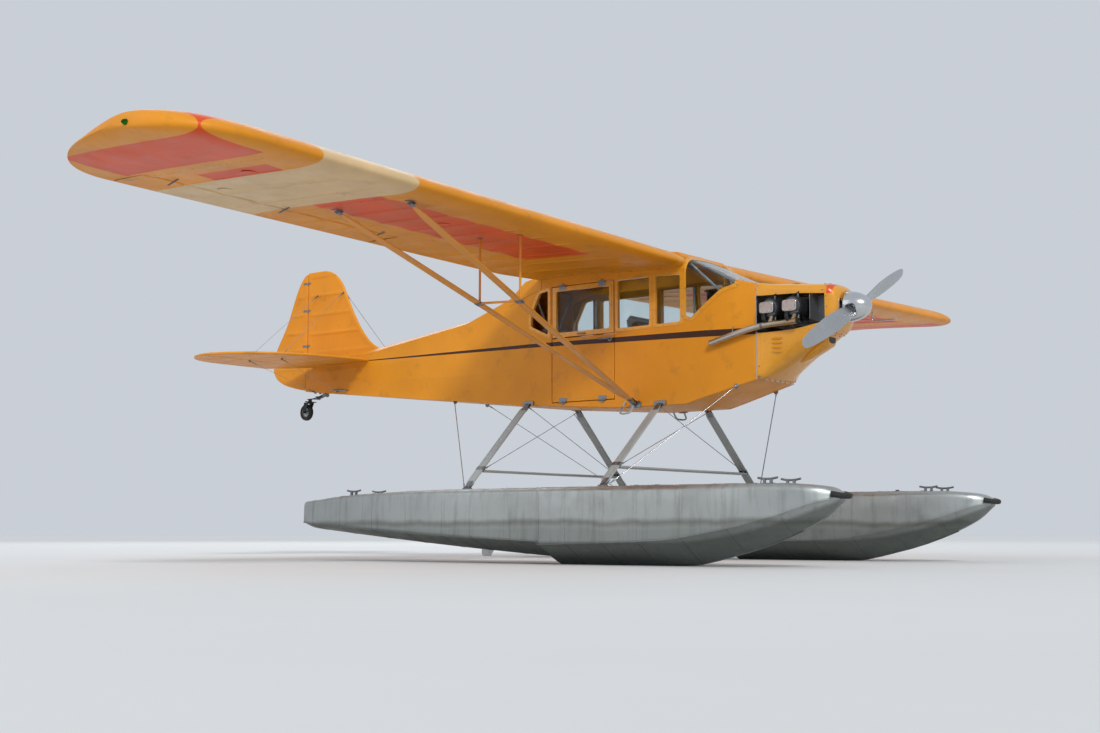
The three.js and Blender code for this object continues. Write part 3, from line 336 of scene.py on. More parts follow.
class Recipe:
    """A procedural finish, mixed node by node on the object's own coordinates."""

    def __init__(self, name, slot, rough, metal=0.0, **sockets):
        self.material = bpy.data.materials.new(name)
        self.material.use_nodes = True
        self.material["slot"] = slot
        self.tree = self.material.node_tree
        self.add = partial(add_node, self.tree)
        self.shader = self.tree.nodes["Principled BSDF"]
        self.place = self.add("ShaderNodeTexCoord").outputs["Object"]
        self.set(Roughness=rough, Metallic=metal, **sockets)
        self.height = None

    def set(self, **inputs):
        feed(self.tree, self.shader, **inputs)

    def noise(self, scale, detail=4.0, rough=0.55, stretch=None):
        place = self.place
        if stretch:
            place = self.add("ShaderNodeMapping", Vector=place, Scale=stretch).outputs["Vector"]
        node = self.add("ShaderNodeTexNoise", Vector=place, Scale=scale, Detail=detail, Roughness=rough)
        return node.outputs["Fac"]

    def math(self, operation, *values):
        node = self.add("ShaderNodeMath", {"operation": operation})
        for socket, value in zip(node.inputs, (*values, 0.0, 0.0)):
            plug(self.tree, socket, value)
        return node.outputs[0]

    def levels(self, value, low, high, start=0.0, end=1.0):
        """The value spread so that low gives start and high gives end, and no further."""
        spread = {"From_Min": low, "From_Max": high, "To_Min": start, "To_Max": end}
        return self.add("ShaderNodeMapRange", Value=value, **spread).outputs["Result"]

    def patches(self, noise, low=0.3, high=0.7, start=0.0, end=1.0, stretch=None):
        """Cloudy patches: a noise's scale, detail and roughness, then its levels."""
        return self.levels(self.noise(*noise, stretch=stretch), low, high, start, end)

    def mixed(self, share, a, b):
        node = self.add("ShaderNodeMix", {"data_type": "RGBA"})
        for index, value in ((0, share), (6, a), (7, b)):
            plug(self.tree, node.inputs[index], value)
        return node.outputs[2]

    def airframe(self, name):
        """A coordinate from the airframe's own zero, in metres."""
        return self.math("SUBTRACT", self.axis(name), getattr(ORIGIN, name.lower()))

    def axis(self, name):
        return self.add("ShaderNodeSeparateXYZ", Vector=self.place).outputs[name]

    def between(self, value, low, high, soft=0.002):
        """1 where the value lies between two limits."""
        rising = self.levels(value, low - soft, low + soft)
        falling = self.levels(value, high + soft, high - soft)
        return self.math("MULTIPLY", rising, falling)

    def color(self, value):
        self.set(Base_Color=value)

    def raise_by(self, height, strength, distance):
        """Adds relief on top of what is there."""
        before = {"Normal": self.height} if self.height else {}
        node = self.add("ShaderNodeBump", Height=height, Strength=strength, Distance=distance, **before)
        self.height = node.outputs["Normal"]
        self.set(Normal=self.height)

    def mottled(self, base, amount=0.1, scale=2.5):
        """The colour made a little lighter and darker in clouds."""
        return self.mixed(self.patches((scale,)), shade(base, 1 - amount), shade(base, 1 + amount))

    def uneven_gloss(self, low, high, scale=6.0):
        self.set(Roughness=self.patches((scale, 5.0), start=low, end=high))


def rgb(code):
    """A colour from its usual six-figure code."""
    parts = [((code >> shift) & 255) / 255 for shift in (16, 8, 0)]
    return tuple(c / 12.92 if c <= 0.04045 else ((c + 0.055) / 1.055) ** 2.4 for c in parts) + (1,)


def shade(colour, by):
    return tuple(min(c * by, 1) for c in colour[:3]) + (1,)


YELLOW = rgb(0xD98A12)
COWL_YELLOW = rgb(0xDC9410)
RED = rgb(0xD24600)
CREAM = rgb(0xD2B283)
DARK_STRIPE = rgb(0x3A1D10)
ALUMINIUM = rgb(0xA9ADAB)
GRIME = rgb(0x4A4236)


def weave(recipe, pitch=0.0016, strength=0.25):
    """Crossed threads on all three planes."""
    threads = []
    for direction in ("X", "Y", "Z"):
        wave = recipe.add("ShaderNodeTexWave", {"bands_direction": direction}, Vector=recipe.place,
                          Scale=0.32 / pitch)
        threads.append(wave.outputs["Fac"])
    both = recipe.math("ADD", threads[0], threads[1])
    recipe.raise_by(recipe.math("ADD", both, threads[2]), strength, 0.0002)


def doped_cloth(name, trim=None):
    """Painted cloth: a satin coat over a fine weave, with clouds of fading and a little grime."""
    recipe = Recipe(name, "yellow_fabric", 0.45, Specular_IOR_Level=0.3, Coat_Weight=0.05, Coat_Roughness=0.3)
    colour = recipe.mottled(YELLOW, 0.09, 1.7)
    if trim:
        colour = trim(recipe, colour)
    recipe.color(recipe.mixed(recipe.patches((5.5, 7.0, 0.65), 0.56, 0.8, 0.0, 0.4), colour, GRIME))
    recipe.uneven_gloss(0.36, 0.52)
    weave(recipe)
    recipe.raise_by(recipe.noise(14.0, 3.0), 0.12, 0.004)
    return recipe.material


# Painted areas of the wing, in metres along the body and out from its middle
BAND_X, BAND_Y = (-1.0, -0.35), (1.15, 4.5)
TIP_X, TIP_Y = (-1.42, -0.12), (4.72, 5.2)
CREAM_Y = (3.5, 4.35)
BAND_WEAR = 0.012
# The body's stripe: its ends, where it is widest, its half widths, and the slope and height of its line
STRIPE_X, STRIPE_WIDEST_X, STRIPE_HALF = (-3.8, 0.62), 0.2, (0.004, 0.026)
STRIPE_SLOPE, STRIPE_Z = -0.018, -0.592
# The nose cap's band: its ends, and the heights between which it begins
NOSE_BAND_X, NOSE_BAND_Z = (1.185, 1.225), (-0.352, -0.346)
# Heights on the floats: the damp part, the stained waterline and the scuffed part
DAMP_Z, WATERLINE_Z, SCUFF_Z = (0.40, 0.30), (0.34, 0.37), (0.22, 0.08)
# The floats' chine, below which the bottom gets painted shade: its height in the middle, and from where and
# how much it rises aft and toward the bow
CHINE_Z, CHINE_AFT, CHINE_FORE = 0.17, (-0.5, 0.057), (0.56, 0.17)


def wing_trim(recipe, colour):
    """Orange-red tip patches and spanwise band, and a cream band from front to back."""
    x = recipe.airframe("X")
    y = recipe.math("ABSOLUTE", recipe.axis("Y"))
    worn = recipe.math("MULTIPLY_ADD", recipe.noise(30.0, 5.0), BAND_WEAR, y)
    band = recipe.math("MULTIPLY", recipe.between(x, *BAND_X), recipe.between(worn, *BAND_Y))
    tip = recipe.math("MULTIPLY", recipe.between(worn, *TIP_Y), recipe.between(x, *TIP_X))
    colour = recipe.mixed(recipe.math("MAXIMUM", band, tip), colour, recipe.mottled(RED, 0.12, 3.0))
    starboard = recipe.levels(recipe.axis("Y"), 0.0, -0.01)
    cream = recipe.math("MULTIPLY", recipe.between(worn, *CREAM_Y), starboard)
    return recipe.mixed(cream, colour, recipe.mottled(CREAM, 0.08, 4.0))


def body_trim(recipe, colour):
    """A thin dark stripe along the body's side, which narrows to the tail."""
    x = recipe.airframe("X")
    line = recipe.math("MULTIPLY_ADD", x, STRIPE_SLOPE, STRIPE_Z)
    off = recipe.math("ABSOLUTE", recipe.math("SUBTRACT", recipe.airframe("Z"), line))
    stripe = recipe.math("LESS_THAN", off, recipe.levels(x, STRIPE_X[0], STRIPE_WIDEST_X, *STRIPE_HALF))
    return recipe.mixed(recipe.math("MULTIPLY", stripe, recipe.between(x, *STRIPE_X)), colour, DARK_STRIPE)


def nose_trim(recipe, colour):
    """A short red band over the top of the nose cap."""
    top = recipe.levels(recipe.airframe("Z"), *NOSE_BAND_Z)
    band = recipe.math("MULTIPLY", recipe.between(recipe.airframe("X"), *NOSE_BAND_X), top)
    return recipe.mixed(band, colour, RED)


def painted_metal(name, slot, base, rough=0.3, trim=None):
    recipe = Recipe(name, slot, rough, 0.15, Coat_Weight=0.5, Coat_Roughness=0.12)
    colour = recipe.mottled(base, 0.06, 2.5)
    if trim:
        colour = trim(recipe, colour)
    grimy = recipe.mixed(recipe.patches((7.0, 7.0, 0.7), 0.55, 0.85, 0.0, 0.45), colour, GRIME)
    recipe.color(recipe.mixed(recipe.patches((38.0, 8.0, 0.7), 0.7, 0.74), grimy, rgb(0x77746C)))
    recipe.uneven_gloss(rough - 0.06, rough + 0.14)
    recipe.raise_by(recipe.noise(9.0, 2.0), 0.15, 0.003)
    return recipe.material


def bare_metal(name, slot, code, rough, metal=0.95, stain=0.3, brushed=(1, 1, 1), relief=0.08, dents=0.2,
               spread=1.0):
    """Metal with a grain: light brushing, cloudy stains and small dents."""
    base = rgb(code)
    recipe = Recipe(name, slot, rough, metal)
    stains = recipe.patches((6.0, 8.0, 0.7), 0.48, 0.8, 0.0, stain)
    recipe.color(recipe.mixed(stains, recipe.mottled(base, 0.1, 3.0), shade(base, 0.45)))
    grain = recipe.noise(160.0, 2.0, 0.5, stretch=brushed)
    recipe.set(Roughness=recipe.levels(grain, 0.3, 0.7, rough - 0.07 * spread, rough + 0.13 * spread))
    recipe.raise_by(grain, relief, 0.0004)
    recipe.raise_by(recipe.noise(5.0, 2.0), dents, 0.003)
    return recipe.material


def float_sheet():
    """Weathered aluminium: streaks down the sides, a stained waterline, scuffs toward the keel, and painted
    shade on the bottom below the chine.
    """
    recipe = Recipe("float_sheet", "float_metal", 0.4, 0.85)
    x, z = recipe.airframe("X"), recipe.axis("Z")
    streaks = recipe.patches((3.0, 7.0, 0.65), 0.5, 0.78, 0.0, 0.55, stretch=(6, 6, 0.7))
    colour = recipe.mixed(streaks, recipe.mottled(ALUMINIUM, 0.1, 1.6), rgb(0x6E706B))
    wavy = recipe.math("MULTIPLY_ADD", recipe.noise(2.5, 5.0), 0.09, z)
    colour = recipe.mixed(recipe.levels(wavy, *DAMP_Z, 0.0, 0.5), colour, rgb(0x6A726C))
    waterline = recipe.math("MULTIPLY", recipe.between(wavy, *WATERLINE_Z, 0.02), 0.55)
    colour = recipe.mixed(waterline, colour, rgb(0x4C4A38))
    # Painted shade: the bottom below the chine, which faces down, is made darker.
    (aft_x, aft_rise), (fore_x, fore_rise) = CHINE_AFT, CHINE_FORE
    aft = recipe.math("MULTIPLY", recipe.math("MAXIMUM", recipe.math("SUBTRACT", aft_x, x), 0.0), aft_rise)
    fore = recipe.math("POWER", recipe.math("MAXIMUM", recipe.math("SUBTRACT", x, fore_x), 0.0), 2.0)
    chine = recipe.math("ADD", recipe.math("MULTIPLY_ADD", fore, fore_rise, aft), CHINE_Z)
    bottom = recipe.levels(recipe.math("SUBTRACT", z, chine), 0.012, -0.012, 0.0, 0.6)
    colour = recipe.mixed(bottom, colour, rgb(0x50564F))
    scuffs = recipe.patches((22.0, 9.0, 0.75), 0.62, 0.7, stretch=(0.35, 2, 2))
    low = recipe.levels(wavy, *SCUFF_Z)
    recipe.color(recipe.mixed(recipe.math("MULTIPLY", scuffs, low), colour, rgb(0xC9CCCA)))
    recipe.uneven_gloss(0.3, 0.55, 9.0)
    recipe.raise_by(recipe.noise(3.2, 2.0), 0.35, 0.006)
    recipe.raise_by(recipe.noise(120.0, 3.0, 0.6, stretch=(0.3, 1, 1)), 0.08, 0.0005)
    return recipe.material


def clear_sheet(name="clear_sheet", tint=0xE9F1F2):
    recipe = Recipe(name, "clear_sheet", 0.03, Transmission_Weight=1.0, IOR=1.2, Specular_IOR_Level=0.6)
    recipe.set(Roughness=recipe.patches((24.0, 8.0, 0.75), 0.5, 0.8, 0.02, 0.16, stretch=(1, 1, 3)))
    recipe.color(recipe.mottled(rgb(tint), 0.03, 2.0))
    recipe.raise_by(recipe.noise(2.0, 1.0), 0.05, 0.004)
    return recipe.material


def rubber():
    recipe = Recipe("rubber", "rubber", 0.75)
    recipe.color(recipe.mixed(recipe.patches((18.0, 8.0, 0.7), 0.45, 0.8, 0.0, 0.5), rgb(0x1C1C1D),
                              rgb(0x57524A)))
    recipe.raise_by(recipe.noise(140.0, 4.0), 0.3, 0.0008)
    return recipe.material


def seat_cloth(name, code):
    """Woven upholstery with a soft sheen and rubbed, lighter places."""
    base = rgb(code)
    recipe = Recipe(name, "seat_cloth", 0.85, Sheen_Weight=0.35, Sheen_Roughness=0.5)
    rubbed = recipe.patches((7.0, 5.0), 0.5, 0.75, 0.0, 0.5)
    recipe.color(recipe.mixed(rubbed, recipe.mottled(base, 0.14, 9.0), shade(base, 1.7)))
    weave(recipe, 0.003, 0.6)
    recipe.raise_by(recipe.noise(260.0, 3.0), 0.25, 0.0006)
    return recipe.material


def plastic(name, code, slot="panel_black", rough=0.5, pebbles=0.2):
    recipe = Recipe(name, slot, rough)
    dust = recipe.patches((12.0, 7.0, 0.7), 0.5, 0.85, 0.0, 0.35)
    recipe.color(recipe.mixed(dust, recipe.mottled(rgb(code), 0.08, 5.0), rgb(0x6A665F)))
    recipe.raise_by(recipe.noise(320.0, 2.0), pebbles, 0.0005)
    return recipe.material


def exhaust_steel():
    """Steel coloured by heat: straw and blue near the ports, brown further along."""
    recipe = Recipe("exhaust_steel", "exhaust_metal", 0.3, 0.95)
    hot = recipe.math("MULTIPLY_ADD", recipe.noise(9.0, 5.0), 0.4, recipe.airframe("X"))
    hot = recipe.levels(hot, 0.7, 1.1, 0.12, 0.9)
    colour = recipe.mixed(hot, rgb(0xC4C0B8), rgb(0xA48A62))
    blue = recipe.patches((15.0, 6.0, 0.6), 0.6, 0.75, 0.0, 0.5)
    recipe.color(recipe.mixed(recipe.math("MULTIPLY", blue, hot), colour, rgb(0x5A5E7C)))
    recipe.uneven_gloss(0.22, 0.45, 20.0)
    recipe.raise_by(recipe.noise(90.0, 5.0), 0.2, 0.0008)
    return recipe.material


def plank_wood():
    recipe = Recipe("floor_ply", "painted_tube", 0.6)
    grain = recipe.noise(5.0, 9.0, 0.7, stretch=(0.6, 14, 14))
    recipe.color(recipe.mixed(recipe.levels(grain, 0.3, 0.7), rgb(0x6E5034), rgb(0xA07C52)))
    recipe.raise_by(grain, 0.35, 0.0008)
    return recipe.material


CLOTH = {
    "wing": doped_cloth("wing_cloth", wing_trim),
    "body": doped_cloth("body_cloth", body_trim),
    "tail": doped_cloth("tail_cloth"),
}
PAINT = painted_metal("cowling_paint", "yellow_metal", COWL_YELLOW, trim=body_trim)
NOSE_PAINT = painted_metal("nose_paint", "yellow_metal", COWL_YELLOW, trim=nose_trim)
STRUT_PAINT = painted_metal("strut_paint", "yellow_metal", YELLOW, 0.34)
TUBE_PAINT = painted_metal("tube_paint", "painted_tube", rgb(0x9AA09F), 0.4)
POLISHED = bare_metal("polished_aluminium", "bare_metal", 0xC9CBCC, 0.2, stain=0.1, relief=0.03, dents=0.04,
                      spread=0.35)
BRUSHED = bare_metal("brushed_aluminium", "bare_metal", 0xB2B5B6, 0.32, brushed=(0.1, 1, 1))
FITTING = bare_metal("fitting_steel", "dark_metal", 0x83868A, 0.36, stain=0.4)
CASTING = bare_metal("engine_casting", "dark_metal", 0x6F7274, 0.5, 0.8, stain=0.6, relief=0.5)
FIN_STEEL = bare_metal("cylinder_steel", "dark_metal", 0x3B3C3F, 0.48, 0.75, stain=0.5)
DARK = bare_metal("dark_steel", "dark_metal", 0x3A3C3F, 0.45, 0.8, stain=0.4)
WIRE = bare_metal("wire_steel", "bare_metal", 0x9EA1A3, 0.3)
BLADE_METAL = bare_metal("blade_metal", "bare_metal", 0xB7B9BB, 0.3, stain=0.25, brushed=(1, 0.2, 0.2))
FLOAT = float_sheet()
EXHAUST = exhaust_steel()
CLEAR = clear_sheet()
RED_LENS = clear_sheet("red_lens", 0xC81A10)
GREEN_LENS = clear_sheet("green_lens", 0x0E9A4A)
TYRE = rubber()
SEAT = seat_cloth("seat_weave", 0x5A4330)
WEBBING = seat_cloth("belt_webbing", 0x2B2C30)
CANVAS = seat_cloth("lining_canvas", 0x8C7B60)
BLACK = plastic("black_plastic", 0x1D1E20)
PANEL = plastic("panel_paint", 0x2A2B2D, rough=0.55, pebbles=0.5)
DIAL = plastic("dial_face", 0x0E0F10, rough=0.35, pebbles=0.05)
PAINT_BLACK = plastic("black_enamel", 0x17181A, "dark_metal", 0.35, 0.05)
WHITE = plastic("white_marks", 0xE6E4DC, pebbles=0.05)
RED_PLASTIC = plastic("red_plastic", 0xA81D14, "red_fabric", 0.35, 0.05)
WOOD = plank_wood()


# Making pieces


def settle(obj):
    """Makes the modifiers part of the mesh."""
    graph = bpy.context.evaluated_depsgraph_get()
    mesh = bpy.data.meshes.new_from_object(obj.evaluated_get(graph))
    obj.modifiers.clear()
    old, obj.data = obj.data, mesh
    bpy.data.meshes.remove(old)
    mesh.name = obj.name
    return obj


def clean_up(mesh, edge, merge=2e-5):
    """Merges doubles, turns faces outward and keeps edges sharper than the given angle crisp."""
    work = bmesh.new()
    work.from_mesh(mesh)
    bmesh.ops.remove_doubles(work, verts=work.verts, dist=merge)
    bmesh.ops.dissolve_degenerate(work, edges=work.edges, dist=merge / 2)
    bmesh.ops.recalc_face_normals(work, faces=work.faces)
    sharpen(work, edge)
    work.to_mesh(mesh)
    work.free()


def sharpen(work, edge):
    limit = math.radians(edge)
    for face in work.faces:
        face.smooth = True
    for line in work.edges:
        line.smooth = line.calc_face_angle(0) < limit


def mesh_of(shape, name, edge):
    """The shape as a clean mesh, in metres and in the part's own frame."""
    mesh = bpy.data.meshes.new(name)
    mesh.from_pydata([ORIGIN + point * MM for point in shape.points], [], shape.faces)
    clean_up(mesh, edge)
    return mesh


def shown(name, mesh):
    obj = bpy.data.objects.new(name, mesh)
    bpy.context.scene.collection.objects.link(obj)
    return obj


def dressed(obj, finish, body, stands_for=()):
    """Gives a piece its finish, the body that it rides on and the nodes that it stands for."""
    obj.data.materials.clear()
    obj.data.materials.append(finish)
    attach(obj, body)
    if stands_for:
        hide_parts(*stands_for)
    return obj


def rounded(obj, bevel, edge, segments=2, thickness=0.0, subdivide=0):
    if thickness:
        wall = obj.modifiers.new("wall", "SOLIDIFY")
        wall.thickness, wall.offset, wall.use_even_offset = thickness * MM, -1, True
    if bevel:
        round_over = obj.modifiers.new("edges", "BEVEL")
        round_over.width, round_over.segments = bevel * MM, segments
        round_over.limit_method, round_over.angle_limit = "ANGLE", math.radians(edge)
        round_over.use_clamp_overlap = True
    if subdivide:
        finer = obj.modifiers.new("finer", "SUBSURF")
        finer.levels = finer.render_levels = subdivide
    if bevel or thickness:
        even = obj.modifiers.new("even", "WEIGHTED_NORMAL")
        even.keep_sharp = True
    if obj.modifiers:
        settle(obj)
    return obj


def piece(name, shape, finish, body="airframe", stands_for=(), bevel=0.0, edge=35, **finishing):
    """One dressed piece, its edges rounded over by the bevel in millimetres."""
    obj = dressed(shown(name, mesh_of(shape, name, edge)), finish, body, stands_for)
    return rounded(obj, bevel, edge, **finishing)


def pair(name, shape, finish, body="airframe", stands_for=(), **finishing):
    """A port piece and its mirror image; braces in a body's or node's name hold left or right."""
    for side, label in SIDES:
        nodes = [node.format(label) for node in stands_for]
        piece(f"{name}_{label}", on_side(shape, side), finish, body.format(label), nodes, **finishing)


def refined(node, finish, bevel=2.0, body="airframe", edge=25):
    """A CAD node's own shape with its flat faces joined up and its edges rounded over."""
    mesh = frame["nodes"][node].data.copy()
    work = bmesh.new()
    work.from_mesh(mesh)
    bmesh.ops.remove_doubles(work, verts=work.verts, dist=2e-5)
    bmesh.ops.dissolve_limit(work, angle_limit=math.radians(0.6), verts=work.verts, edges=work.edges)
    sharpen(work, edge)
    work.to_mesh(mesh)
    work.free()
    obj = dressed(shown(f"{node}_dressed", mesh), finish, body, (node,))
    return rounded(obj, bevel, edge)


def refinished(node, finish):
    """A CAD node whose shape is right, with a better finish."""
    materials = frame["nodes"][node].data.materials
    materials.clear()
    materials.append(finish)


# Small heads: their primitive, scale, turn and sizes
HEADS = {
    "rivet": ("UVSphere", (1, 1, 0.55), (0, 0, 0), {"Segments": 8, "Rings": 4, "Radius": 0.5}),
    "stitch": ("UVSphere", (2.6, 0.8, 0.5), (0, 0, 0), {"Segments": 6, "Rings": 4, "Radius": 0.5}),
    "screw": ("Cone", (1, 1, 1), (0, 0, 0),
              {"Vertices": 10, "Radius Top": 0.36, "Radius Bottom": 0.5, "Depth": 0.36}),
    "fin": ("Cylinder", (1, 1, 1), (0, math.pi / 2, 0), {"Vertices": 28, "Radius": 0.5, "Depth": 0.018}),
}


def head_tree(kind):
    """A tree that sets one small head, such as a rivet, at even steps along lines on a surface."""
    name = f"{kind}_rows"
    if name in bpy.data.node_groups:
        return bpy.data.node_groups[name]
    tree = bpy.data.node_groups.new(name, "GeometryNodeTree")
    given = (("Lines", "Geometry"), ("Spacing", "Float"), ("Size", "Float"), ("Finish", "Material"))
    for label, form in given:
        tree.interface.new_socket(label, in_out="INPUT", socket_type=f"NodeSocket{form}")
    tree.interface.new_socket("Heads", in_out="OUTPUT", socket_type="NodeSocketGeometry")

    def add(step, settings=None, **inputs):
        return add_node(tree, step, settings, **inputs).outputs

    given = add("NodeGroupInput")
    line = add("GeometryNodeMeshToCurve", Mesh=given["Lines"])[0]
    steps = add("GeometryNodeResampleCurve", {"mode": "LENGTH"}, Curve=line, Length=given["Spacing"])[0]
    facing = add("GeometryNodeInputNamedAttribute", {"data_type": "FLOAT_VECTOR"}, Name="facing")["Attribute"]
    tangent = add("GeometryNodeInputTangent")[0]
    lined_up = add("FunctionNodeAlignRotationToVector", {"axis": "X"}, Vector=tangent)[0]
    about_line = {"axis": "Z", "pivot_axis": "X"}
    stood_up = add("FunctionNodeAlignRotationToVector", about_line, Rotation=lined_up, Vector=facing)[0]

    primitive, scale, turn, sizes = HEADS[kind]
    head = add(f"GeometryNodeMesh{primitive}", **sizes)["Mesh"]
    head = add("GeometryNodeTransform", Geometry=head, Rotation=turn, Scale=scale)[0]
    head = add("GeometryNodeSetShadeSmooth", Geometry=head, Shade_Smooth=primitive == "UVSphere")[0]
    rows = add("GeometryNodeInstanceOnPoints", Points=steps, Instance=head, Rotation=stood_up,
               Scale=given["Size"])[0]
    rows = add("GeometryNodeRealizeInstances", Geometry=rows)[0]
    rows = add("GeometryNodeSetMaterial", Geometry=rows, Material=given["Finish"])[0]
    add("NodeGroupOutput", Heads=rows)
    return tree


def rows_of(kind, name, lines, spacing, size, finish, body="airframe"):
    """Small heads along lines of (point, facing) pairs, by Geometry Nodes, as one plain mesh."""
    points, edges, facings = [], [], []
    for line in lines:
        start = len(points)
        points += [ORIGIN + Vector(point) * MM for point, _ in line]
        facings += [Vector(direction).normalized() for _, direction in line]
        edges += [(i, i + 1) for i in range(start, len(points) - 1)]
    mesh = bpy.data.meshes.new(name)
    mesh.from_pydata(points, edges, [])
    attribute = mesh.attributes.new("facing", "FLOAT_VECTOR", "POINT")
    attribute.data.foreach_set("vector", [v for facing in facings for v in facing])
    obj = shown(name, mesh)
    rows = obj.modifiers.new("rows", "NODES")
    rows.node_group = head_tree(kind)
    sockets = rows.node_group.interface.items_tree
    given = {item.name: item.identifier for item in sockets if item.in_out == "INPUT"}
    rows[given["Spacing"]], rows[given["Size"]], rows[given["Finish"]] = spacing * MM, size * MM, finish
    return dressed(settle(obj), finish, body)


def pair_of_rows(kind, name, lines, spacing, size, finish, body="airframe"):
    """The same rows on the port and the starboard piece."""
    for side, label in SIDES:
        faced = lines if side > 0 else [mirror_line(line) for line in lines]
        rows_of(kind, f"{name}_{label}", faced, spacing, size, finish, body.format(label))


def mirror_line(line):
    return [(Vector((p.x, -p.y, p.z)), Vector((n.x, -n.y, n.z)))
            for p, n in ((Vector(p), Vector(n)) for p, n in line)]


def around(origin, axis, radius, facing=None, count=32):
    """A closed line round an axis, for a ring of heads that face along it or the given way."""
    along = Vector(axis).normalized()
    side = along.orthogonal().normalized()
    other = along.cross(side)
    angles = [2 * math.pi * i / count for i in range(count + 1)]
    return [(Vector(origin) + (side * math.cos(a) + other * math.sin(a)) * radius, facing or along)
            for a in angles]


def lifted(place, facing, height=0.0):
    """A (point, facing) pair raised off the surface by a height."""
    place, facing = Vector(place), Vector(facing)
    return place + facing * height, facing


# Wings

SPAN = 10740
CHORD = 1600
ROOT_CHORD = 1500
DIHEDRAL = 0.022
WING_ROOT_Y = 352
ROOT_CUT_Y = 760
TIP = {"length": 660, "outermost": -680, "front": 2.7, "rear": 2.3, "raise": 60, "thinning": 0.6, "end": 40}
THICKNESS, CAMBER, CAMBER_PLACE, EDGE_THICKNESS = 0.12, 0.04, 0.4, 7
AILERON = {"inner": 2350, "outer": 4680, "hinge": -1318, "gap": 8}
RIB_PITCH = 305
RIB_TAPE = 20
CLOTH_SAG = 6.5
STITCH_PITCH = 62
STITCHED = (0.14, 0.95)
ROOT_STRIP = {"edge": 430, "proud": 2.2, "screws": 418}
RIBS = [WING_ROOT_Y + 12 + RIB_PITCH * i for i in range(15)]


def camber(share):
    p = CAMBER_PLACE
    if share < p:
        return CAMBER / p ** 2 * (2 * p * share - share ** 2)
    return CAMBER / (1 - p) ** 2 * (1 - 2 * p + 2 * p * share - share ** 2)


def half_thickness(share):
    series = 0.2969 * share ** 0.5 - 0.126 * share - 0.3516 * share ** 2
    series += 0.2843 * share ** 3 - 0.1036 * share ** 4
    return 5 * THICKNESS * series


def drawn_in(out, fullness):
    return 1 - (1 - out ** fullness) ** (1 / fullness)


def wing_plan(y):
    """Front edge, chord, section depth and raise of the wing at a distance from the middle."""
    if y < ROOT_CUT_Y:
        chord = ROOT_CHORD + (CHORD - ROOT_CHORD) * max(0, (y - WING_ROOT_Y) / (ROOT_CUT_Y - WING_ROOT_Y))
        return 0, chord, chord, 0
    out = min(max(0, (y - SPAN / 2 + TIP["length"]) / TIP["length"]), 1)
    front = TIP["outermost"] * drawn_in(out, TIP["front"])
    rear = -CHORD + (CHORD + TIP["outermost"]) * drawn_in(out, TIP["rear"])
    chord = max(front - rear, TIP["end"])
    left = chord / CHORD
    return front, chord, CHORD * left ** TIP["thinning"], TIP["raise"] * (1 - left)


def ease(value, low, high):
    t = min(max((value - low) / (high - low), 0), 1)
    return t * t * (3 - 2 * t)


def cloth_relief(y, ribs, sag=CLOTH_SAG, tape=RIB_TAPE):
    """How far the covering stands above or sinks below the section between its ribs."""
    if y <= ribs[0] or y >= ribs[-1]:
        return 0
    k = int(np.searchsorted(ribs, y)) - 1
    inside = min(y - ribs[k], ribs[k + 1] - y)
    if inside <= tape:
        return 0.9
    return -sag * math.sin(math.pi * (y - ribs[k] - tape) / (ribs[k + 1] - ribs[k] - 2 * tape)) ** 0.8


def bay_stations(ribs, tape=RIB_TAPE, inside=(0.12, 0.3, 0.5, 0.7, 0.88)):
    """Distances that catch each tape's edges and the sag between them."""
    found = []
    for a, b in zip(ribs, ribs[1:]):
        found += [a, a + tape, a + tape + 1.5]
        found += [a + tape + (b - a - 2 * tape) * part for part in inside]
        found += [b - tape - 1.5, b - tape]
    return [*found, ribs[-1]]


def wing_point(y, share, side, ribs=RIBS):
    """A point on the upper (+1) or lower (-1) skin, with its share of the chord."""
    front, chord, depth, lift = wing_plan(y)
    thick = max(half_thickness(share) * depth, EDGE_THICKNESS / 2)
    if share <= 0:
        thick = 0
    soft = ease(share, 0.1, 0.2) * (1 - ease(share, 0.93, 0.995))
    height = camber(share) * depth + side * (thick + cloth_relief(y, ribs) * soft)
    return Vector((front - share * chord, y, y * DIHEDRAL + lift + height))


HINGE_SHARE = -AILERON["hinge"] / CHORD
HINGE_HEIGHT = camber(HINGE_SHARE) * CHORD
NOSE_RADIUS = half_thickness(HINGE_SHARE) * CHORD - 1
BAY_SHARE = HINGE_SHARE - (NOSE_RADIUS + AILERON["gap"]) / CHORD
SHARES = sorted({(1 - math.cos(math.pi * i / 34)) / 2 for i in range(35)} | {BAY_SHARE})


def wing_ring(y, cut=1.0):
    upper = [wing_point(y, min(share, cut), 1) for share in reversed(SHARES)]
    return upper + [wing_point(y, min(share, cut), -1) for share in SHARES[1:]]


def wing_shape():
    """The wing with its aileron's bay cut out, from the root to the drawn-in tip."""
    inner, outer = AILERON["inner"] - AILERON["gap"], AILERON["outer"] + AILERON["gap"]
    tip = [SPAN / 2 - TIP["length"] + TIP["length"] * (1 - (1 - i / 22) ** 1.7) for i in range(1, 23)]
    rings = []
    for y in sorted({WING_ROOT_Y, ROOT_CUT_Y, inner, outer, *bay_stations(RIBS), *tip}):
        ring = wing_ring(y, BAY_SHARE if inner <= y <= outer else 1.0)
        whole = [wing_ring(y)]
        rings += whole * (y == inner) + [ring] + whole * (y == outer)
    return loft(rings)


def aileron_ring(y):
    middle = Vector((AILERON["hinge"], y, y * DIHEDRAL + HINGE_HEIGHT))
    behind = [HINGE_SHARE + (1 - HINGE_SHARE) * i / 12 for i in range(13)]
    upper = [wing_point(y, share, 1) for share in reversed(behind)]
    nose = [
        middle + Vector((math.sin(a), 0, math.cos(a))) * NOSE_RADIUS
        for a in (math.pi * i / 12 for i in range(1, 12))
    ]
    return upper + nose + [wing_point(y, share, -1) for share in behind]


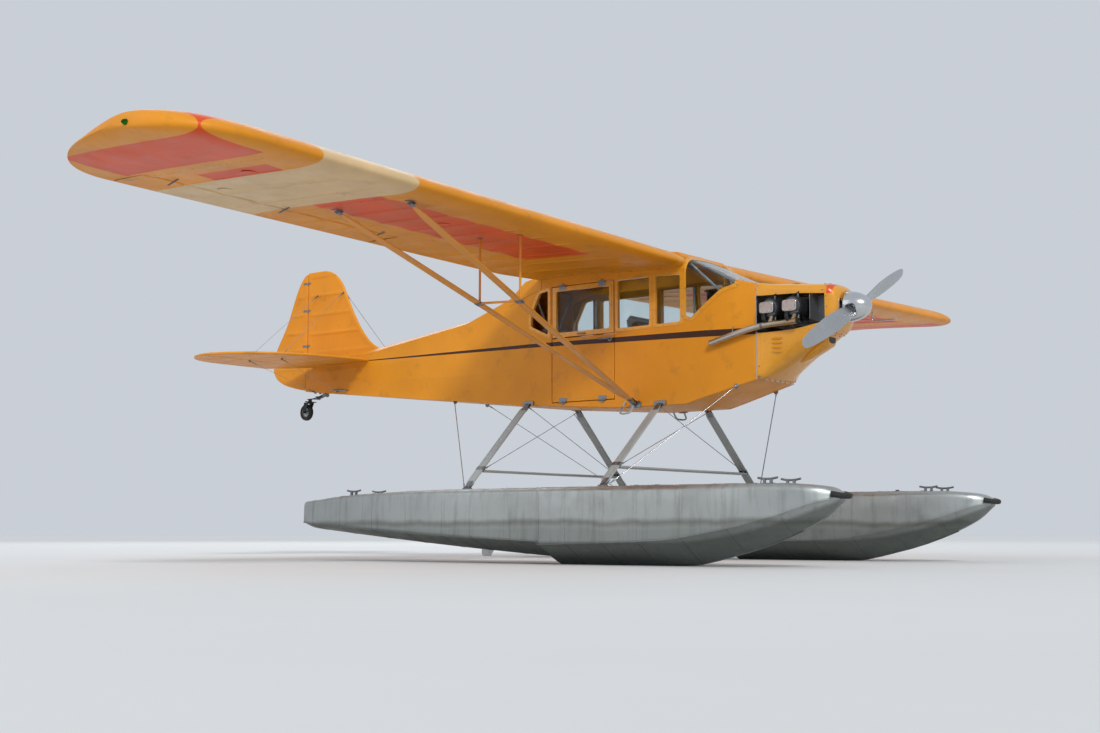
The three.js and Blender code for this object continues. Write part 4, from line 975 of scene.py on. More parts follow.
def aileron_shape():
    ends = (AILERON["inner"], AILERON["outer"])
    ys = [ends[0], *(y for y in bay_stations(RIBS) if ends[0] + 3 < y < ends[1] - 3), ends[1]]
    return loft([aileron_ring(y) for y in ys])


def skin_normal(y, share, side):
    a, b = wing_point(y, share + 0.01, side), wing_point(y, share - 0.01, side)
    along = (b - a).normalized()
    return Vector((-along.z, 0, along.x)) * side


def skin_spot(y, share, side, height=0.0):
    """A (point, facing) pair on the wing's skin, raised off it by a height."""
    return lifted(wing_point(y, share, side), skin_normal(y, share, side), height)


def rib_lines(y, low, high):
    """Lines of stitching down one rib, above and below."""
    return [[skin_spot(y, low + (high - low) * i / 14, side) for i in range(15)] for side in (1, -1)]


def root_fairing():
    """The metal strip that closes the joint between wing and cabin."""
    shares = [s for s in SHARES if s < 0.985]
    edge, proud = ROOT_STRIP["edge"], ROOT_STRIP["proud"]

    def ring(y, offset):
        around_edge = [(s, 1) for s in reversed(shares)] + [(s, -1) for s in shares[1:]]
        return [wing_point(y, s, side) + skin_normal(y, max(s, 0.02), side) * offset
                for s, side in around_edge]

    rings = [ring(y, offset) for y, offset in ((WING_ROOT_Y - 4, proud), (edge, proud), (edge + 4, 0.4))]
    return loft(rings, closed=False, ends=False)


def make_wings():
    pair("wing_skin", wing_shape(), CLOTH["wing"], stands_for=["wing_{}"], edge=42)
    pair("aileron_skin", aileron_shape(), CLOTH["wing"], "aileron_{}", ["aileron_{}"], edge=42)
    stitches, hung = [], []
    for y in RIBS:
        on_aileron = AILERON["inner"] < y < AILERON["outer"]
        stitches += rib_lines(y, STITCHED[0], BAY_SHARE - 0.02 if on_aileron else STITCHED[1])
        if AILERON["inner"] + 30 < y < AILERON["outer"] - 30:
            hung += rib_lines(y, HINGE_SHARE + 0.02, 0.97)
    pair_of_rows("stitch", "wing_stitches", stitches, STITCH_PITCH, 9, CLOTH["wing"])
    pair_of_rows("stitch", "aileron_stitches", hung, STITCH_PITCH, 8, CLOTH["wing"], "aileron_{}")
    pair("wing_root_fairing", root_fairing(), PAINT, thickness=1.6)
    line_y, rise = ROOT_STRIP["screws"], ROOT_STRIP["proud"] + 0.4
    screws = [[skin_spot(line_y, s, side, rise) for s in SHARES if 0.02 < s < 0.97] for side in (1, -1)]
    pair_of_rows("screw", "fairing_screws", screws, 88, 9, FITTING)


# Tail

STABILIZER_Z = -520
TAIL_HALF_SPAN = 1436
FIN_FOOT, FIN_TOP = -470, 450
RUDDER_FOOT, RUDDER_TOP = -752, 436
STABILIZER_ROOT, ELEVATOR_ROOT = 20, 62
ELEVATOR_HINGE_X = -4620
RUDDER_HINGE_X = -4768
TAIL_POST_X = -4745
TAIL_SKIN = 13
TAIL_SHARES = [(1 - math.cos(math.pi * i / 26)) / 2 for i in range(27)]


def distance_to_outline(s, c, outline):
    """Shortest way in the surface's own plane from a point to its outline."""
    a, b = outline, np.roll(outline, -1, axis=0)
    run = b - a
    share = np.clip(((np.array((s, c)) - a) * run).sum(1) / np.maximum((run ** 2).sum(1), 1e-9), 0, 1)
    return float(np.hypot(*(a + run * share[:, None] - (s, c)).T).min())


def tail_panel(front, rear, ribs, half, place):
    """A thin covered panel between two edges of (span, chord) points, with a round rim and taped ribs."""
    front, rear = np.array(sorted(front), float), np.array(sorted(rear), float)
    outline = np.vstack([front, rear[::-1]])
    low, high = max(front[0, 0], rear[0, 0]), min(front[-1, 0], rear[-1, 0])
    rim = [0, 0.6, 2.5, 6, 11, 18, 28]
    spans = sorted({*(low + r for r in rim), *(high - r for r in rim),
                    *(s for s in bay_stations(ribs, 12) if low + 30 < s < high - 30)})

    def thickness(s, c):
        edge = distance_to_outline(s, c, outline)
        sink = cloth_relief(s, ribs, 3.4, 12) * ease(edge, 24, 60)
        return math.sqrt(max(half ** 2 - (half - min(edge, half)) ** 2, 0)) + sink

    rings = []
    for s in spans:
        c0, c1 = np.interp(s, *front.T), np.interp(s, *rear.T)
        chords = [c0 + (c1 - c0) * share for share in TAIL_SHARES]
        upper = [place(s, c, thickness(s, c)) for c in chords]
        rings.append(upper + [place(s, c, -thickness(s, c)) for c in reversed(chords[1:-1])])
    return loft(rings)


def upright(s, c, t):
    return Vector((c, t, s))


def level_panel(s, c, t):
    return Vector((c, s, STABILIZER_Z + t))


def flipped(points):
    """(x, span) points as (span, x)."""
    return [(b, a) for a, b in points]


def chain(start, *curves):
    """A line of points from the start along cubic curves, each given by its next three points."""
    line = [start]
    for b, c, d in curves:
        line += bezier(line[-1], b, c, d)
    return line


STABILIZER_REAR_X = ELEVATOR_HINGE_X + TAIL_SKIN + 8
# Outlines as (x, height or span) points
FIN_FRONT = chain((-3700, -398), ((-3930, -350), (-4080, -60), (-4230, 240)),
                  ((-4310, 400), (-4430, FIN_TOP), (-4540, FIN_TOP)))
RUDDER_REAR = chain((RUDDER_HINGE_X, RUDDER_TOP), ((-4870, 400), (-4950, 180), (-5030, -20)),
                    ((-5130, -220), (-5250, -320), (-5250, -490)),
                    ((-5250, -640), (-5080, -700), (RUDDER_HINGE_X, RUDDER_FOOT)))
STABILIZER_FRONT = [(-3740, STABILIZER_ROOT),
                    *chain((-3770, 400), ((-3820, 800), (-3980, 1120), (-4240, 1310)),
                           ((-4400, 1400), (-4500, 1430), (STABILIZER_REAR_X, TAIL_HALF_SPAN)))]
ELEVATOR_REAR = [(ELEVATOR_HINGE_X, ELEVATOR_ROOT), (-4730, 74), (-5080, 268),
                 *chain((-5080, 880), ((-5080, 1240), (-4880, 1400), (ELEVATOR_HINGE_X, TAIL_HALF_SPAN)))]


def straight(x, low, high):
    return [(low, x), (high, x)]


def make_tail():
    fin = tail_panel([(FIN_FOOT, -3600), *flipped(FIN_FRONT)], straight(TAIL_POST_X, FIN_FOOT, FIN_TOP),
                     evenly(-380, 400, 5), TAIL_SKIN, upright)
    rudder = tail_panel(straight(RUDDER_HINGE_X + 12, RUDDER_FOOT, RUDDER_TOP), flipped(RUDDER_REAR),
                        evenly(-700, 380, 7), TAIL_SKIN - 0.5, upright)
    stabilizer = tail_panel(flipped(STABILIZER_FRONT),
                            straight(STABILIZER_REAR_X, STABILIZER_ROOT, TAIL_HALF_SPAN),
                            evenly(60, 1380, 7), TAIL_SKIN, level_panel)
    elevator = tail_panel(straight(ELEVATOR_HINGE_X + 11, ELEVATOR_ROOT, TAIL_HALF_SPAN),
                          flipped(ELEVATOR_REAR), evenly(110, 1370, 7), TAIL_SKIN - 1, level_panel)
    shaft = tube([(ELEVATOR_HINGE_X, y, STABILIZER_Z) for y in (-80, 80)], 11.5, 16)
    piece("fin_skin", fin, CLOTH["tail"], stands_for=["fin"], edge=60)
    piece("rudder_skin", rudder, CLOTH["tail"], "rudder", ["rudder"], edge=60)
    pair("stabilizer_skin", stabilizer, CLOTH["tail"], stands_for=["stabilizer_{}"], edge=60)
    piece("elevator_skins", both_sides(elevator) + shaft, CLOTH["tail"], "elevators", ["elevators"], edge=60)


# Rear fuselage

CABIN_END_X = -1640
# Columns: x, half width, bottom, side top, ridge
BODY = [
    (CABIN_END_X, 340, -1081, -70, 12), (-2400, 268, -1003, -300, -232),
    (-3710, 146, -870, -452, -400), (TAIL_POST_X, 26, -765, -475, -455),
]


def body_row(x):
    return [np.interp(-x, [-row[0] for row in BODY], column) for column in list(zip(*BODY))[1:]]


def body_ring(x, grow=0.0):
    """Longerons at the corners, stringers between them, and cloth that sinks a little in each bay."""
    half, bottom, shoulder, ridge = body_row(x)
    corners = [(-half, bottom), (half, bottom), (half, shoulder), (0.3 * half, ridge), (-0.3 * half, ridge),
               (-half, shoulder)]
    bays = [2, 3, 2, 1, 2, 3]
    middle = Vector((0, (bottom + shoulder) / 2))
    ring = []
    for (a, b), count in zip(zip(corners, corners[1:] + corners[:1]), bays):
        a, b = Vector(a), Vector(b)
        run = b - a
        out = Vector((run.y, -run.x)).normalized() if run.length else Vector((0, 0))
        if out.dot((a + b) / 2 - middle) < 0:
            out.negate()
        deep = min(run.length / count / 60, 4.0)
        for bay in range(count):
            for part in (0, 0.04, 0.14, 0.32, 0.5, 0.68, 0.86, 0.96):
                sink = deep * math.sin(math.pi * part) ** 0.7 - grow
                place = a + run * ((bay + part) / count) - out * sink
                ring.append((x, place.x, place.y))
    return ring


def make_rear_fuselage():
    rings = [body_ring(x) for x in evenly(CABIN_END_X, TAIL_POST_X, 26)]
    piece("fuselage_skin", loft(rings, ends=False), CLOTH["body"], stands_for=["rear_fuselage"], edge=26,
          thickness=4)


# Floats

FLOAT_Y = 1310
DECK_Z = -1835
KEEL_Z = -2410
STEP_X = -500
STERN_X = -3165
BOW_X = 1860
# Columns: x, half beam, deck, chine, keel
FORE_HULL = [
    (BOW_X, 58, -1905, -1938, -1962), (1735, 158, -1862, -1965, -2068), (1480, 242, -1840, -2052, -2190),
    (1100, 296, DECK_Z, -2146, -2312), (560, 322, DECK_Z, -2226, KEEL_Z),
    (STEP_X, 325, DECK_Z, -2262, KEEL_Z),
]
AFT_HULL = [
    (STEP_X, 318, DECK_Z, -2236, -2358), (-1500, 300, DECK_Z, -2196, -2286),
    (-2500, 250, DECK_Z - 22, -2132, -2200), (STERN_X, 192, DECK_Z - 72, -2086, -2136),
]
KEEL_HALF = 22
HULL_BULKHEADS = [1480, 1100, 740, 380, 60, -260, -505, -850, -1200, -1500, -1900, -2300, -2700, -3060]
SEAM = {"wide": 34, "proud": 1.3, "rivets": 9}
# Rows of rivets along the hull: the place in its section, the first being the keel
RIVET_ROWS = (7, 10, 12, -4)
HATCH = {"front": 480, "rear": 180, "half": 110, "proud": 8}
DECK_COVERS = [1290, 900, -80, -700, -1050, -1850, -2200, -2800]
PLUG_XS = [1100, 560, -300, -900, -1500, -2000]
CLEAT_XS = [1380, -2600]


def hull_row(x):
    return table_row(FORE_HULL if x > STEP_X else AFT_HULL, x)


def deck_at(x):
    return hull_row(x)[2] + 5


def hull_side(x, grow=0.0):
    """Half a hull section from keel to deck middle, as (across, up) pairs."""
    _, half, deck, chine, keel = hull_row(x)
    half = half - 4 + grow
    shoulder = max(deck - 46, chine + 12)
    bottom = []
    for t in (0.2, 0.4, 0.6, 0.8, 0.93):
        hollow = 9 * math.sin(math.pi * t) * (1 - t)
        bottom.append((KEEL_HALF + (half - KEEL_HALF) * t, keel + (chine - keel) * t - grow - hollow))
    rail = [(half + 4, chine - 3 - grow), (half + 5, chine + 7), (half, chine + 9)]
    tall = shoulder - chine - 9
    wall = [(half - (half * 0.01) * t, chine + 9 + tall * t) for t in (0.33, 0.66, 1)]
    crown = []
    for i in range(1, 6):
        turn = math.pi / 2 * i / 5
        crown.append((half * 0.8 + half * 0.19 * math.cos(turn),
                      shoulder + (deck - shoulder + grow) * math.sin(turn)))
    deck_line = [(half * 0.8 * t, deck + grow + 5 * (1 - t * t)) for t in (0.66, 0.33, 0)]
    return [(0, keel - grow), (KEEL_HALF, keel - grow), *bottom, *rail, *wall, *crown, *deck_line]


def hull_ring(x, grow=0.0):
    half = hull_side(x, grow)
    return [(x, FLOAT_Y + a, b) for a, b in half] + [(x, FLOAT_Y - a, b) for a, b in reversed(half[1:-1])]


def hull_shape():
    fore = [BOW_X, 1845, 1820, 1780, 1735, *evenly(1690, 1100, 9), *evenly(1000, STEP_X + 0.5, 12)]
    aft = evenly(STEP_X - 2, STERN_X, 18)
    return loft([hull_ring(x) for x in [*fore, *aft]])


def hull_band(x):
    """A lapped seam round the hull."""
    ends = x - SEAM["wide"] / 2, x + SEAM["wide"] / 2
    return shell([hull_ring(end, SEAM["proud"]) for end in ends], [hull_ring(end, -1.0) for end in ends])


def hull_normals(ring):
    """Each ring point with the way that the skin faces there, in the ring's plane."""
    faced = []
    for i, point in enumerate(ring):
        run = Vector(ring[(i + 1) % len(ring)]) - Vector(ring[i - 1])
        faced.append((Vector(point), Vector((0, run.z, -run.y))))
    return faced


def hull_rivets():
    """Rivets either side of each seam, and in rows from bow to step and from step to stern."""
    lines = []
    for x in HULL_BULKHEADS:
        for offset in (-SEAM["rivets"], SEAM["rivets"]):
            faced = hull_normals(hull_ring(x + offset, SEAM["proud"]))
            lines.append(faced + faced[:1])
    for index in RIVET_ROWS:
        for mirror in (1, -1):
            for run in (evenly(1640, STEP_X + 10, 16), evenly(STEP_X - 10, STERN_X + 20, 16)):
                line = []
                for x in run:
                    (a0, b0), (a, b), (a1, b1) = hull_side(x)[index - 1:index + 2]
                    line.append(((x, FLOAT_Y + mirror * a, b), (0, (b1 - b0) * mirror, -(a1 - a0))))
                lines.append(line)
    return lines


def cleat(x, y, z):
    """A mooring cleat: two feet and a horn."""
    horn = curved([(x + a, y, z + rise) for a, rise in ((-78, 40), (-30, 32), (30, 32), (78, 40))], 4)
    return tube(horn, 8, 8) + joined(block(x + a - 9, x + a + 9, y - 9, y + 9, z, z + 32) for a in (-26, 26))


def make_floats():
    keel = sweep([(x, FLOAT_Y, hull_side(x)[0][1] + 1) for x in evenly(1560, STEP_X + 6, 16)],
                 [(-9, -3), (-9, 3), (0, 3), (0, -3)], forward=UP)
    front, rear, hatch_top = HATCH["front"], HATCH["rear"], DECK_Z + HATCH["proud"]
    covers = pad((front - rear) / 2, HATCH["half"], 7, "z", DECK_Z + 2, hatch_top,
                 ((front + rear) / 2, FLOAT_Y, 0), 32)
    covers += joined(disc((x, FLOAT_Y, deck_at(x) - 1), UP, 54, 4, 28) for x in DECK_COVERS)
    metal = joined(block(x - 12, x + 12, FLOAT_Y + y - 16, FLOAT_Y + y + 16, hatch_top, hatch_top + 3)
                   for x in (240, 420) for y in (-84, 84))
    metal += joined(cleat(x, FLOAT_Y + side * 0.62 * hull_row(x)[1], deck_at(x) - 4)
                    for x in CLEAT_XS for side in (1, -1))
    plugs = joined(disc((x, FLOAT_Y - 150, deck_at(x) - 3), UP, 16, 12, 16) for x in PLUG_XS)
    # Columns: distance ahead of the bow's end, across, height
    nose = ((-40, -96, -1912), (4, -62, -1922), (18, 0, -1926), (4, 62, -1922), (-40, 96, -1912))
    bumper = sweep(curved([(BOW_X + a, FLOAT_Y + b, z) for a, b, z in nose], 6), oval(20, 34, 14, 3),
                   forward=UP)
    pair("hull", hull_shape(), FLOAT, stands_for=["float_{}", "float_deck_{}"], edge=24)
    pair("hull_seams", joined(hull_band(x) for x in HULL_BULKHEADS), FLOAT, edge=24)
    pair_of_rows("rivet", "hull_rivets", hull_rivets(), 44, 6.5, FLOAT)
    pair("keel_strip", keel, FITTING, bevel=1)
    pair("hatch_cover", covers, FLOAT, bevel=1.2)
    pair("hatch_latches", metal, FITTING, bevel=1.2)
    pair("bilge_plugs", plugs, BLACK, bevel=1)
    pair("bow_bumper", bumper, TYRE)
    for side, label in SIDES:
        y = side * FLOAT_Y
        corners = ((rear + 14, -96), (front - 14, -96), (front - 14, 96), (rear + 14, 96), (rear + 14, -96))
        screws = [[((x, y + edge, hatch_top), UP) for x, edge in corners]]
        screws += [around((x, y, deck_at(x) + 3), UP, 44) for x in DECK_COVERS]
        rows_of("screw", f"deck_screws_{label}", screws, 38, 8, FITTING)


# Struts and stays

STRUT = {"foot_x": -480, "foot_z": -1118, "wing_y": 3300, "top_xs": (-265, -960), "chord": 64, "thick": 30}
JURY_SHARE = 0.56
FRAMES = {"front": {"x": -240, "top_y": 352, "top_z": -1152},
          "rear": {"x": -1610, "top_y": 346, "top_z": -1086}}
FLOAT_STRUT = (74, 34)
FOOT_Y = 1150
SPREADER_Z = -1665
# The drag wires' ends on the body, ahead and behind
DRAG_ENDS = {"front": (450, 322, -1030), "rear": (-2560, 236, -992)}


def along(a, b, share):
    return Vector(a) + (Vector(b) - Vector(a)) * share


def strut(a, b, chord, thick, neck=0.5):
    """A streamlined tube that narrows to round, drilled-looking ends."""
    shares = (0, 0.012, 0.05, 0.08, 0.92, 0.95, 0.988, 1)
    sizes = (neck, neck, 0.9, 1, 1, 0.9, neck, neck)
    return sweep([along(a, b, s) for s in shares], teardrop(chord, thick), sizes=sizes)


def clevis(place, axis, reach=46, wide=30):
    """A forked fitting with its bolt, at the end of a strut."""
    place, axis = Vector(place), Vector(axis).normalized()
    side = Vector(ALONG) - axis * axis.x
    side.normalize()
    across = axis.cross(side)
    ring = [(a, b * 0.5) for a, b in oval(wide / 2 + 4, 7, 16, 4)]
    plates = joined(sweep([place + across * off - axis * 6, place + across * off + axis * reach], ring,
                          forward=side)
                    for off in (-11, 11))
    return plates + bolt(place + axis * 6, across, 14, 9, 7, 6)


def wing_underside(x, y):
    chord = wing_plan(y)[1]
    return wing_point(y, -x / chord, -1).z


def make_wing_struts():
    foot = Vector((STRUT["foot_x"], 372, STRUT["foot_z"]))
    out = STRUT["wing_y"]
    tops = [Vector((x, out, wing_underside(x, out) - 14)) for x in STRUT["top_xs"]]
    middles = [along(foot, top, JURY_SHARE) for top in tops]
    bars = joined(strut(foot, top, STRUT["chord"], STRUT["thick"]) for top in tops) + tube(middles, 9)
    fittings = pad(52, 30, 4, "y", 352, 362, (STRUT["foot_x"], 0, STRUT["foot_z"] - 12))
    cuff = [(a * 1.05, b * 1.09) for a, b in teardrop(64, 32)]
    for middle, top in zip(middles, tops):
        fittings += clevis(top + Vector((0, 0, 6)), foot - top) + clevis(foot, top - foot, 70)
        up = Vector((middle.x, middle.y, wing_underside(middle.x, middle.y) - 1))
        bars += tube([middle, up], 9)
        fittings += disc(up - Vector((0, 0, 4)), UP, 22, 5, 16)
        run = (top - foot).normalized() * 22
        fittings += pad(34, 24, 5, "z", -5, 4, (top.x, top.y, top.z + 14), 16)
        fittings += sweep([middle - run, middle + run], cuff)
    pair("lift_struts", bars, STRUT_PAINT, stands_for=["wing_struts_{}"], edge=40)
    pair("strut_fittings", fittings, FITTING, bevel=0.8, edge=40)


def float_frame(x, top_y, top_z):
    """Struts, spreader bar and fittings of one float frame, and the wires that brace it."""
    bars, fittings, wires = Shape(), Shape(), Shape()
    drop = (top_z - SPREADER_Z) / (top_z - DECK_Z)
    reach = top_y + 14 + (FOOT_Y - top_y - 14) * drop
    cuff = [(a * 1.07, b * 1.15) for a, b in teardrop(*FLOAT_STRUT)]
    for side in (1, -1):
        top = Vector((x, side * (top_y + 14), top_z + 6))
        foot = Vector((x, side * FOOT_Y, DECK_Z + 24))
        bars += strut(top, foot, *FLOAT_STRUT)
        fittings += clevis(top, foot - top, 74, 40) + clevis(foot, top - foot, 74, 40)
        fittings += pad(56, 21, 5, "y", side * (top_y - 3), side * (top_y + 10), (x, 0, top_z + 22))
        fittings += pad(90, 50, 6, "z", DECK_Z + 3, DECK_Z + 13, (x, side * FOOT_Y, 0), 28)
        fittings += pad(40, 22, 5, "z", DECK_Z + 12, DECK_Z + 26, (x, side * FOOT_Y, 0))
        joint, half = along(top, foot, drop), Vector((0, side * 16, -14))
        fittings += sweep([joint - half, joint + half], cuff)
        wires += stay((x + 8, side * (top_y + 22), top_z - 6), (x + 8, -side * (reach - 26), SPREADER_Z + 16))
    bars += sweep([(x, -reach, SPREADER_Z), (x, reach, SPREADER_Z)], teardrop(70, 40))
    return bars, fittings, wires


def stay(a, b, radius=2.6):
    """A streamlined brace wire with its threaded end fittings."""
    a, b = Vector(a), Vector(b)
    length = (b - a).length
    made = sweep([along(a, b, 0.02), along(a, b, 0.98)], oval(radius * 1.6, radius * 0.8, 8))
    profile = [(0, 0), (0, 5), (26, 5), (28, 7), (46, 7), (48, 4.2), (min(90, length * 0.2), 3.4),
               (min(91, length * 0.21), 0)]
    for start, run in ((a, b - a), (b, a - b)):
        run = run.normalized()
        made += turned(profile, start, run, 8) + rod(-4, 4, 8, start, run.orthogonal(), 10)
    return made


def make_float_frames():
    stays, lugs = Shape(), Shape()
    for label, sizes in FRAMES.items():
        bars, fittings, wires = float_frame(**sizes)
        piece(f"float_struts_{label}", bars, TUBE_PAINT, stands_for=[f"float_frame_{label}"], edge=40)
        piece(f"float_strut_fittings_{label}", fittings, FITTING, bevel=0.8, edge=40)
        piece(f"float_wires_{label}", wires, WIRE, edge=50)
        foot_x = sizes["x"] + (50 if label == "front" else -50)
        x, y, z = DRAG_ENDS[label]
        stays += stay((foot_x, FOOT_Y - 20, DECK_Z + 36), (x, y, z))
        lugs += disc((x, y - 16, z), ACROSS, 20, 14, 16)
    piece("drag_wires", both_sides(stays), WIRE, edge=50)
    piece("drag_wire_lugs", both_sides(lugs), FITTING, bevel=1)


def make_tail_wires():
    """Wires from the fin's top to the stabilizer, and from there to the body's bottom."""
    stays, lugs = Shape(), Shape()
    # Columns: x, how far out on the stabilizer, and the lower end's place on the body
    for x, spread, low_y, low_z in ((-4230, 820, 64, -806), (-4596, 900, 40, -780)):
        stays += stay((x - 10, TAIL_SKIN + 6, 200), (x, spread, STABILIZER_Z + 20), 1.8)
        stays += stay((x, low_y, low_z), (x, spread, STABILIZER_Z - 20), 1.8)
        lugs += disc((x - 10, TAIL_SKIN - 1, 200), ACROSS, 12, 9, 12)
        lugs += disc((x, low_y - 12, low_z), ACROSS, 14, 13, 12)
        lugs += block(x - 10, x + 10, spread - 3, spread + 3, STABILIZER_Z - 30, STABILIZER_Z + 30)
    piece("tail_wires", both_sides(stays), WIRE, edge=50)
    piece("tail_wire_lugs", both_sides(lugs), FITTING, bevel=0.8)


# Cabin

CABIN_PLAN = [(620, 296), (150, 344), (-300, 348), (-1300, 348), (CABIN_END_X, 340)]
# Top of the cabin from the firewall back: x, height
CABIN_TOP = [(620, -222), (500, -200), (0, 40), (-60, 92), (-300, 128), (-900, 116), (-1500, 34),
             (CABIN_END_X, 10)]
WINDOWS = {
    "front": [(-40, -485), (-40, -90), (-292, -78), (-292, -490)],
    "middle": [(-338, -490), (-338, -78), (-668, -78), (-668, -492)],
    "door": [(-742, -482), (-742, -112), (-1314, -112), (-1314, -482)],
    "rear": [(-1392, -492), (-1392, -92), (-1500, -110), (-1596, -300), (-1596, -400)],
}
WINDOW_STRIP = {"proud": 2.4, "wide": 26, "lip": 7, "depth": 16}
SKYLIGHT = {"front": -330, "rear": -1230, "half": 245}
DOOR = {"front": -704, "rear": -1352, "sill": -1070, "split": -520, "head": -78, "hinge_xs": (-820, -1236)}
WALL = 42


def column(table, x):
    """The second column of a table at x, in straight steps."""
    rows = sorted(table)
    return float(np.interp(x, [row[0] for row in rows], [row[1] for row in rows]))


def wall_y(x):
    return column(CABIN_PLAN, x)


def roof_z(x):
    return column(CABIN_TOP, x)


def inset(outline, by):
    """A convex or gently bent outline of pairs, moved in by a distance."""
    middle = sum((Vector(p) for p in outline), Vector((0, 0))) / len(outline)
    moved = []
    for i, point in enumerate(outline):
        a, b, c = Vector(outline[i - 1]), Vector(point), Vector(outline[(i + 1) % len(outline)])
        normals = []
        for u, v in ((a, b), (b, c)):
            run = (v - u).normalized()
            normal = Vector((-run.y, run.x))
            normals.append(normal if normal.dot(middle - u) > 0 else -normal)
        lean = normals[0] + normals[1]
        moved.append(tuple(b + lean * (2 * by / lean.length_squared)))
    return moved


def window_frame(outline, side):
    """A flat metal frame round an opening in the cabin wall, and a line of screws on it."""
    proud, wide, lip = WINDOW_STRIP["proud"], WINDOW_STRIP["wide"], WINDOW_STRIP["lip"]
    outer, inner = softened(inset(outline, lip - wide), 34), softened(inset(outline, lip), 20)

    def at_wall(pairs, off):
        return [Vector((x, side * (wall_y(x) + off), z)) for x, z in pairs]

    rings = [at_wall(outer, -1), at_wall(outer, proud), at_wall(inner, proud),
             at_wall(inner, -WINDOW_STRIP["depth"])]
    heads = at_wall(softened(inset(outline, (lip - wide) / 2 + 1), 26), proud + 0.4)
    screws = [(place, (0, side, 0)) for place in heads]
    return loft(rings, ends=False, loop=True), screws + screws[:1]


def make_cabin():
    for node, finish, bevel in (
        ("cabin_side_left", CLOTH["body"], 5), ("cabin_side_right", CLOTH["body"], 5),
        ("cabin_roof", CLOTH["body"], 3), ("cabin_floor", CLOTH["body"], 4), ("front_deck", PAINT, 3),
    ):
        refined(node, finish, bevel)
    for node in ("side_glass_left", "side_glass_right", "skylight", "door_glass"):
        refinished(node, CLEAR)
    refinished("firewall", BRUSHED)
    screws = []
    for side, label in SIDES:
        names = [name for name in WINDOWS if name != "door" or side > 0]
        made = [window_frame(WINDOWS[name], side) for name in names]
        screws += [line for _, line in made]
        piece(f"window_frames_{label}", joined(ring for ring, _ in made), PAINT, bevel=0.6, edge=40)
    rows_of("screw", "window_screws", screws, 74, 8, FITTING)

    half = SKYLIGHT["half"]
    edge = [(x, roof_z(x)) for x in evenly(SKYLIGHT["front"] - 6, SKYLIGHT["rear"] + 6, 14)]
    strip = [(-15, -1), (15, -1), (15, 3), (-15, 3)]
    strips = joined(loft([[(x, y + a, z + b) for a, b in strip] for x, z in edge]) for y in (-half, half))
    for x, z in (edge[0], edge[-1]):
        strips += block(x - 15, x + 15, -half - 15, half + 15, z - 2, z + 4)
    strips += joined(block(x - 11, x + 11, -half, half, roof_z(x) - 1, roof_z(x) + 3) for x in (-630, -930))
    piece("skylight_strips", strips, PAINT, bevel=1)
    screws = [[((x, y, z + 3), UP) for x, z in edge] for y in (-half, half)]
    rows_of("screw", "skylight_screws", screws, 80, 8, FITTING)


SCREEN_LOW = [(470, -225), (330, -260), (60, -470), (-20, -440)]
SCREEN_XS = [466, 452, 430, 400, 360, 320, 270, 220, 170, 120, 70, 30, 4, -14]
SCREEN_BEND = 130


def screen_ring(x, off=0.0):
    """The clear sheet at one place along the body, from one sill over the top to the other."""
    half, top = wall_y(x) + off, roof_z(x) + off
    low = column(SCREEN_LOW, x)
    radius = min(SCREEN_BEND, (top - low) * 0.85)
    share = min(radius / SCREEN_BEND, 1)
    port = [(half, low + (top - radius - low) * t) for t in (0, 0.5)]
    for i in range(10):
        a = math.pi / 2 * i / 9
        port.append((half - radius + radius * math.cos(a), top - radius + radius * math.sin(a)))
    port += [((half - radius) * (1 - t), top + 10 * math.sin(math.pi / 2 * t) * share) for t in (0.33, 0.66)]
    return [(x, y, z) for y, z in port] + [(x, 0, top + 10 * share)] + [(x, -y, z) for y, z in reversed(port)]


def make_windshield():
    """The bent clear sheet, the strips round its edges and the brace tubes behind it."""
    sheet = loft([screen_ring(x) for x in SCREEN_XS], closed=False, ends=False)
    piece("windshield_sheet", sheet, CLEAR, stands_for=["windshield"], edge=60, thickness=4)
    bows = joined(loft([screen_ring(x, 2.5) for x in xs], closed=False, ends=False)
                  for xs in ((476, 462, 446), (12, -6, -20)))
    piece("windshield_bows", bows, PAINT, thickness=2.5)
    line = [(x, wall_y(x), column(SCREEN_LOW, x)) for x in evenly(468, -18, 24)]
    sill = sweep(line, [(-15, 1), (15, 1), (15, 4), (-15, 4)], forward=UP)
    piece("windshield_sills", both_sides(sill), PAINT, bevel=0.8)
    screws = [[((x, y + 4.6, z), ACROSS) for x, y, z in line]]
    screws += [[(p, (0, p[1] / 300, 0.6)) for p in screen_ring(x, 5.4)[3:-3]] for x in (462, -6)]
    rows_of("screw", "windshield_screws", screws + [mirror_line(screws[0])], 62, 8, FITTING)
    brace = tube([(-45, 4, 38), (440, 200, -216)], 9) + tube([(-36, 240, 28), (318, 300, -268)], 10)
    brace += tube([(40, 304, -482), (328, 300, -276), (600, 268, -242)], 9)
    piece("windshield_braces", both_sides(brace), TUBE_PAINT)


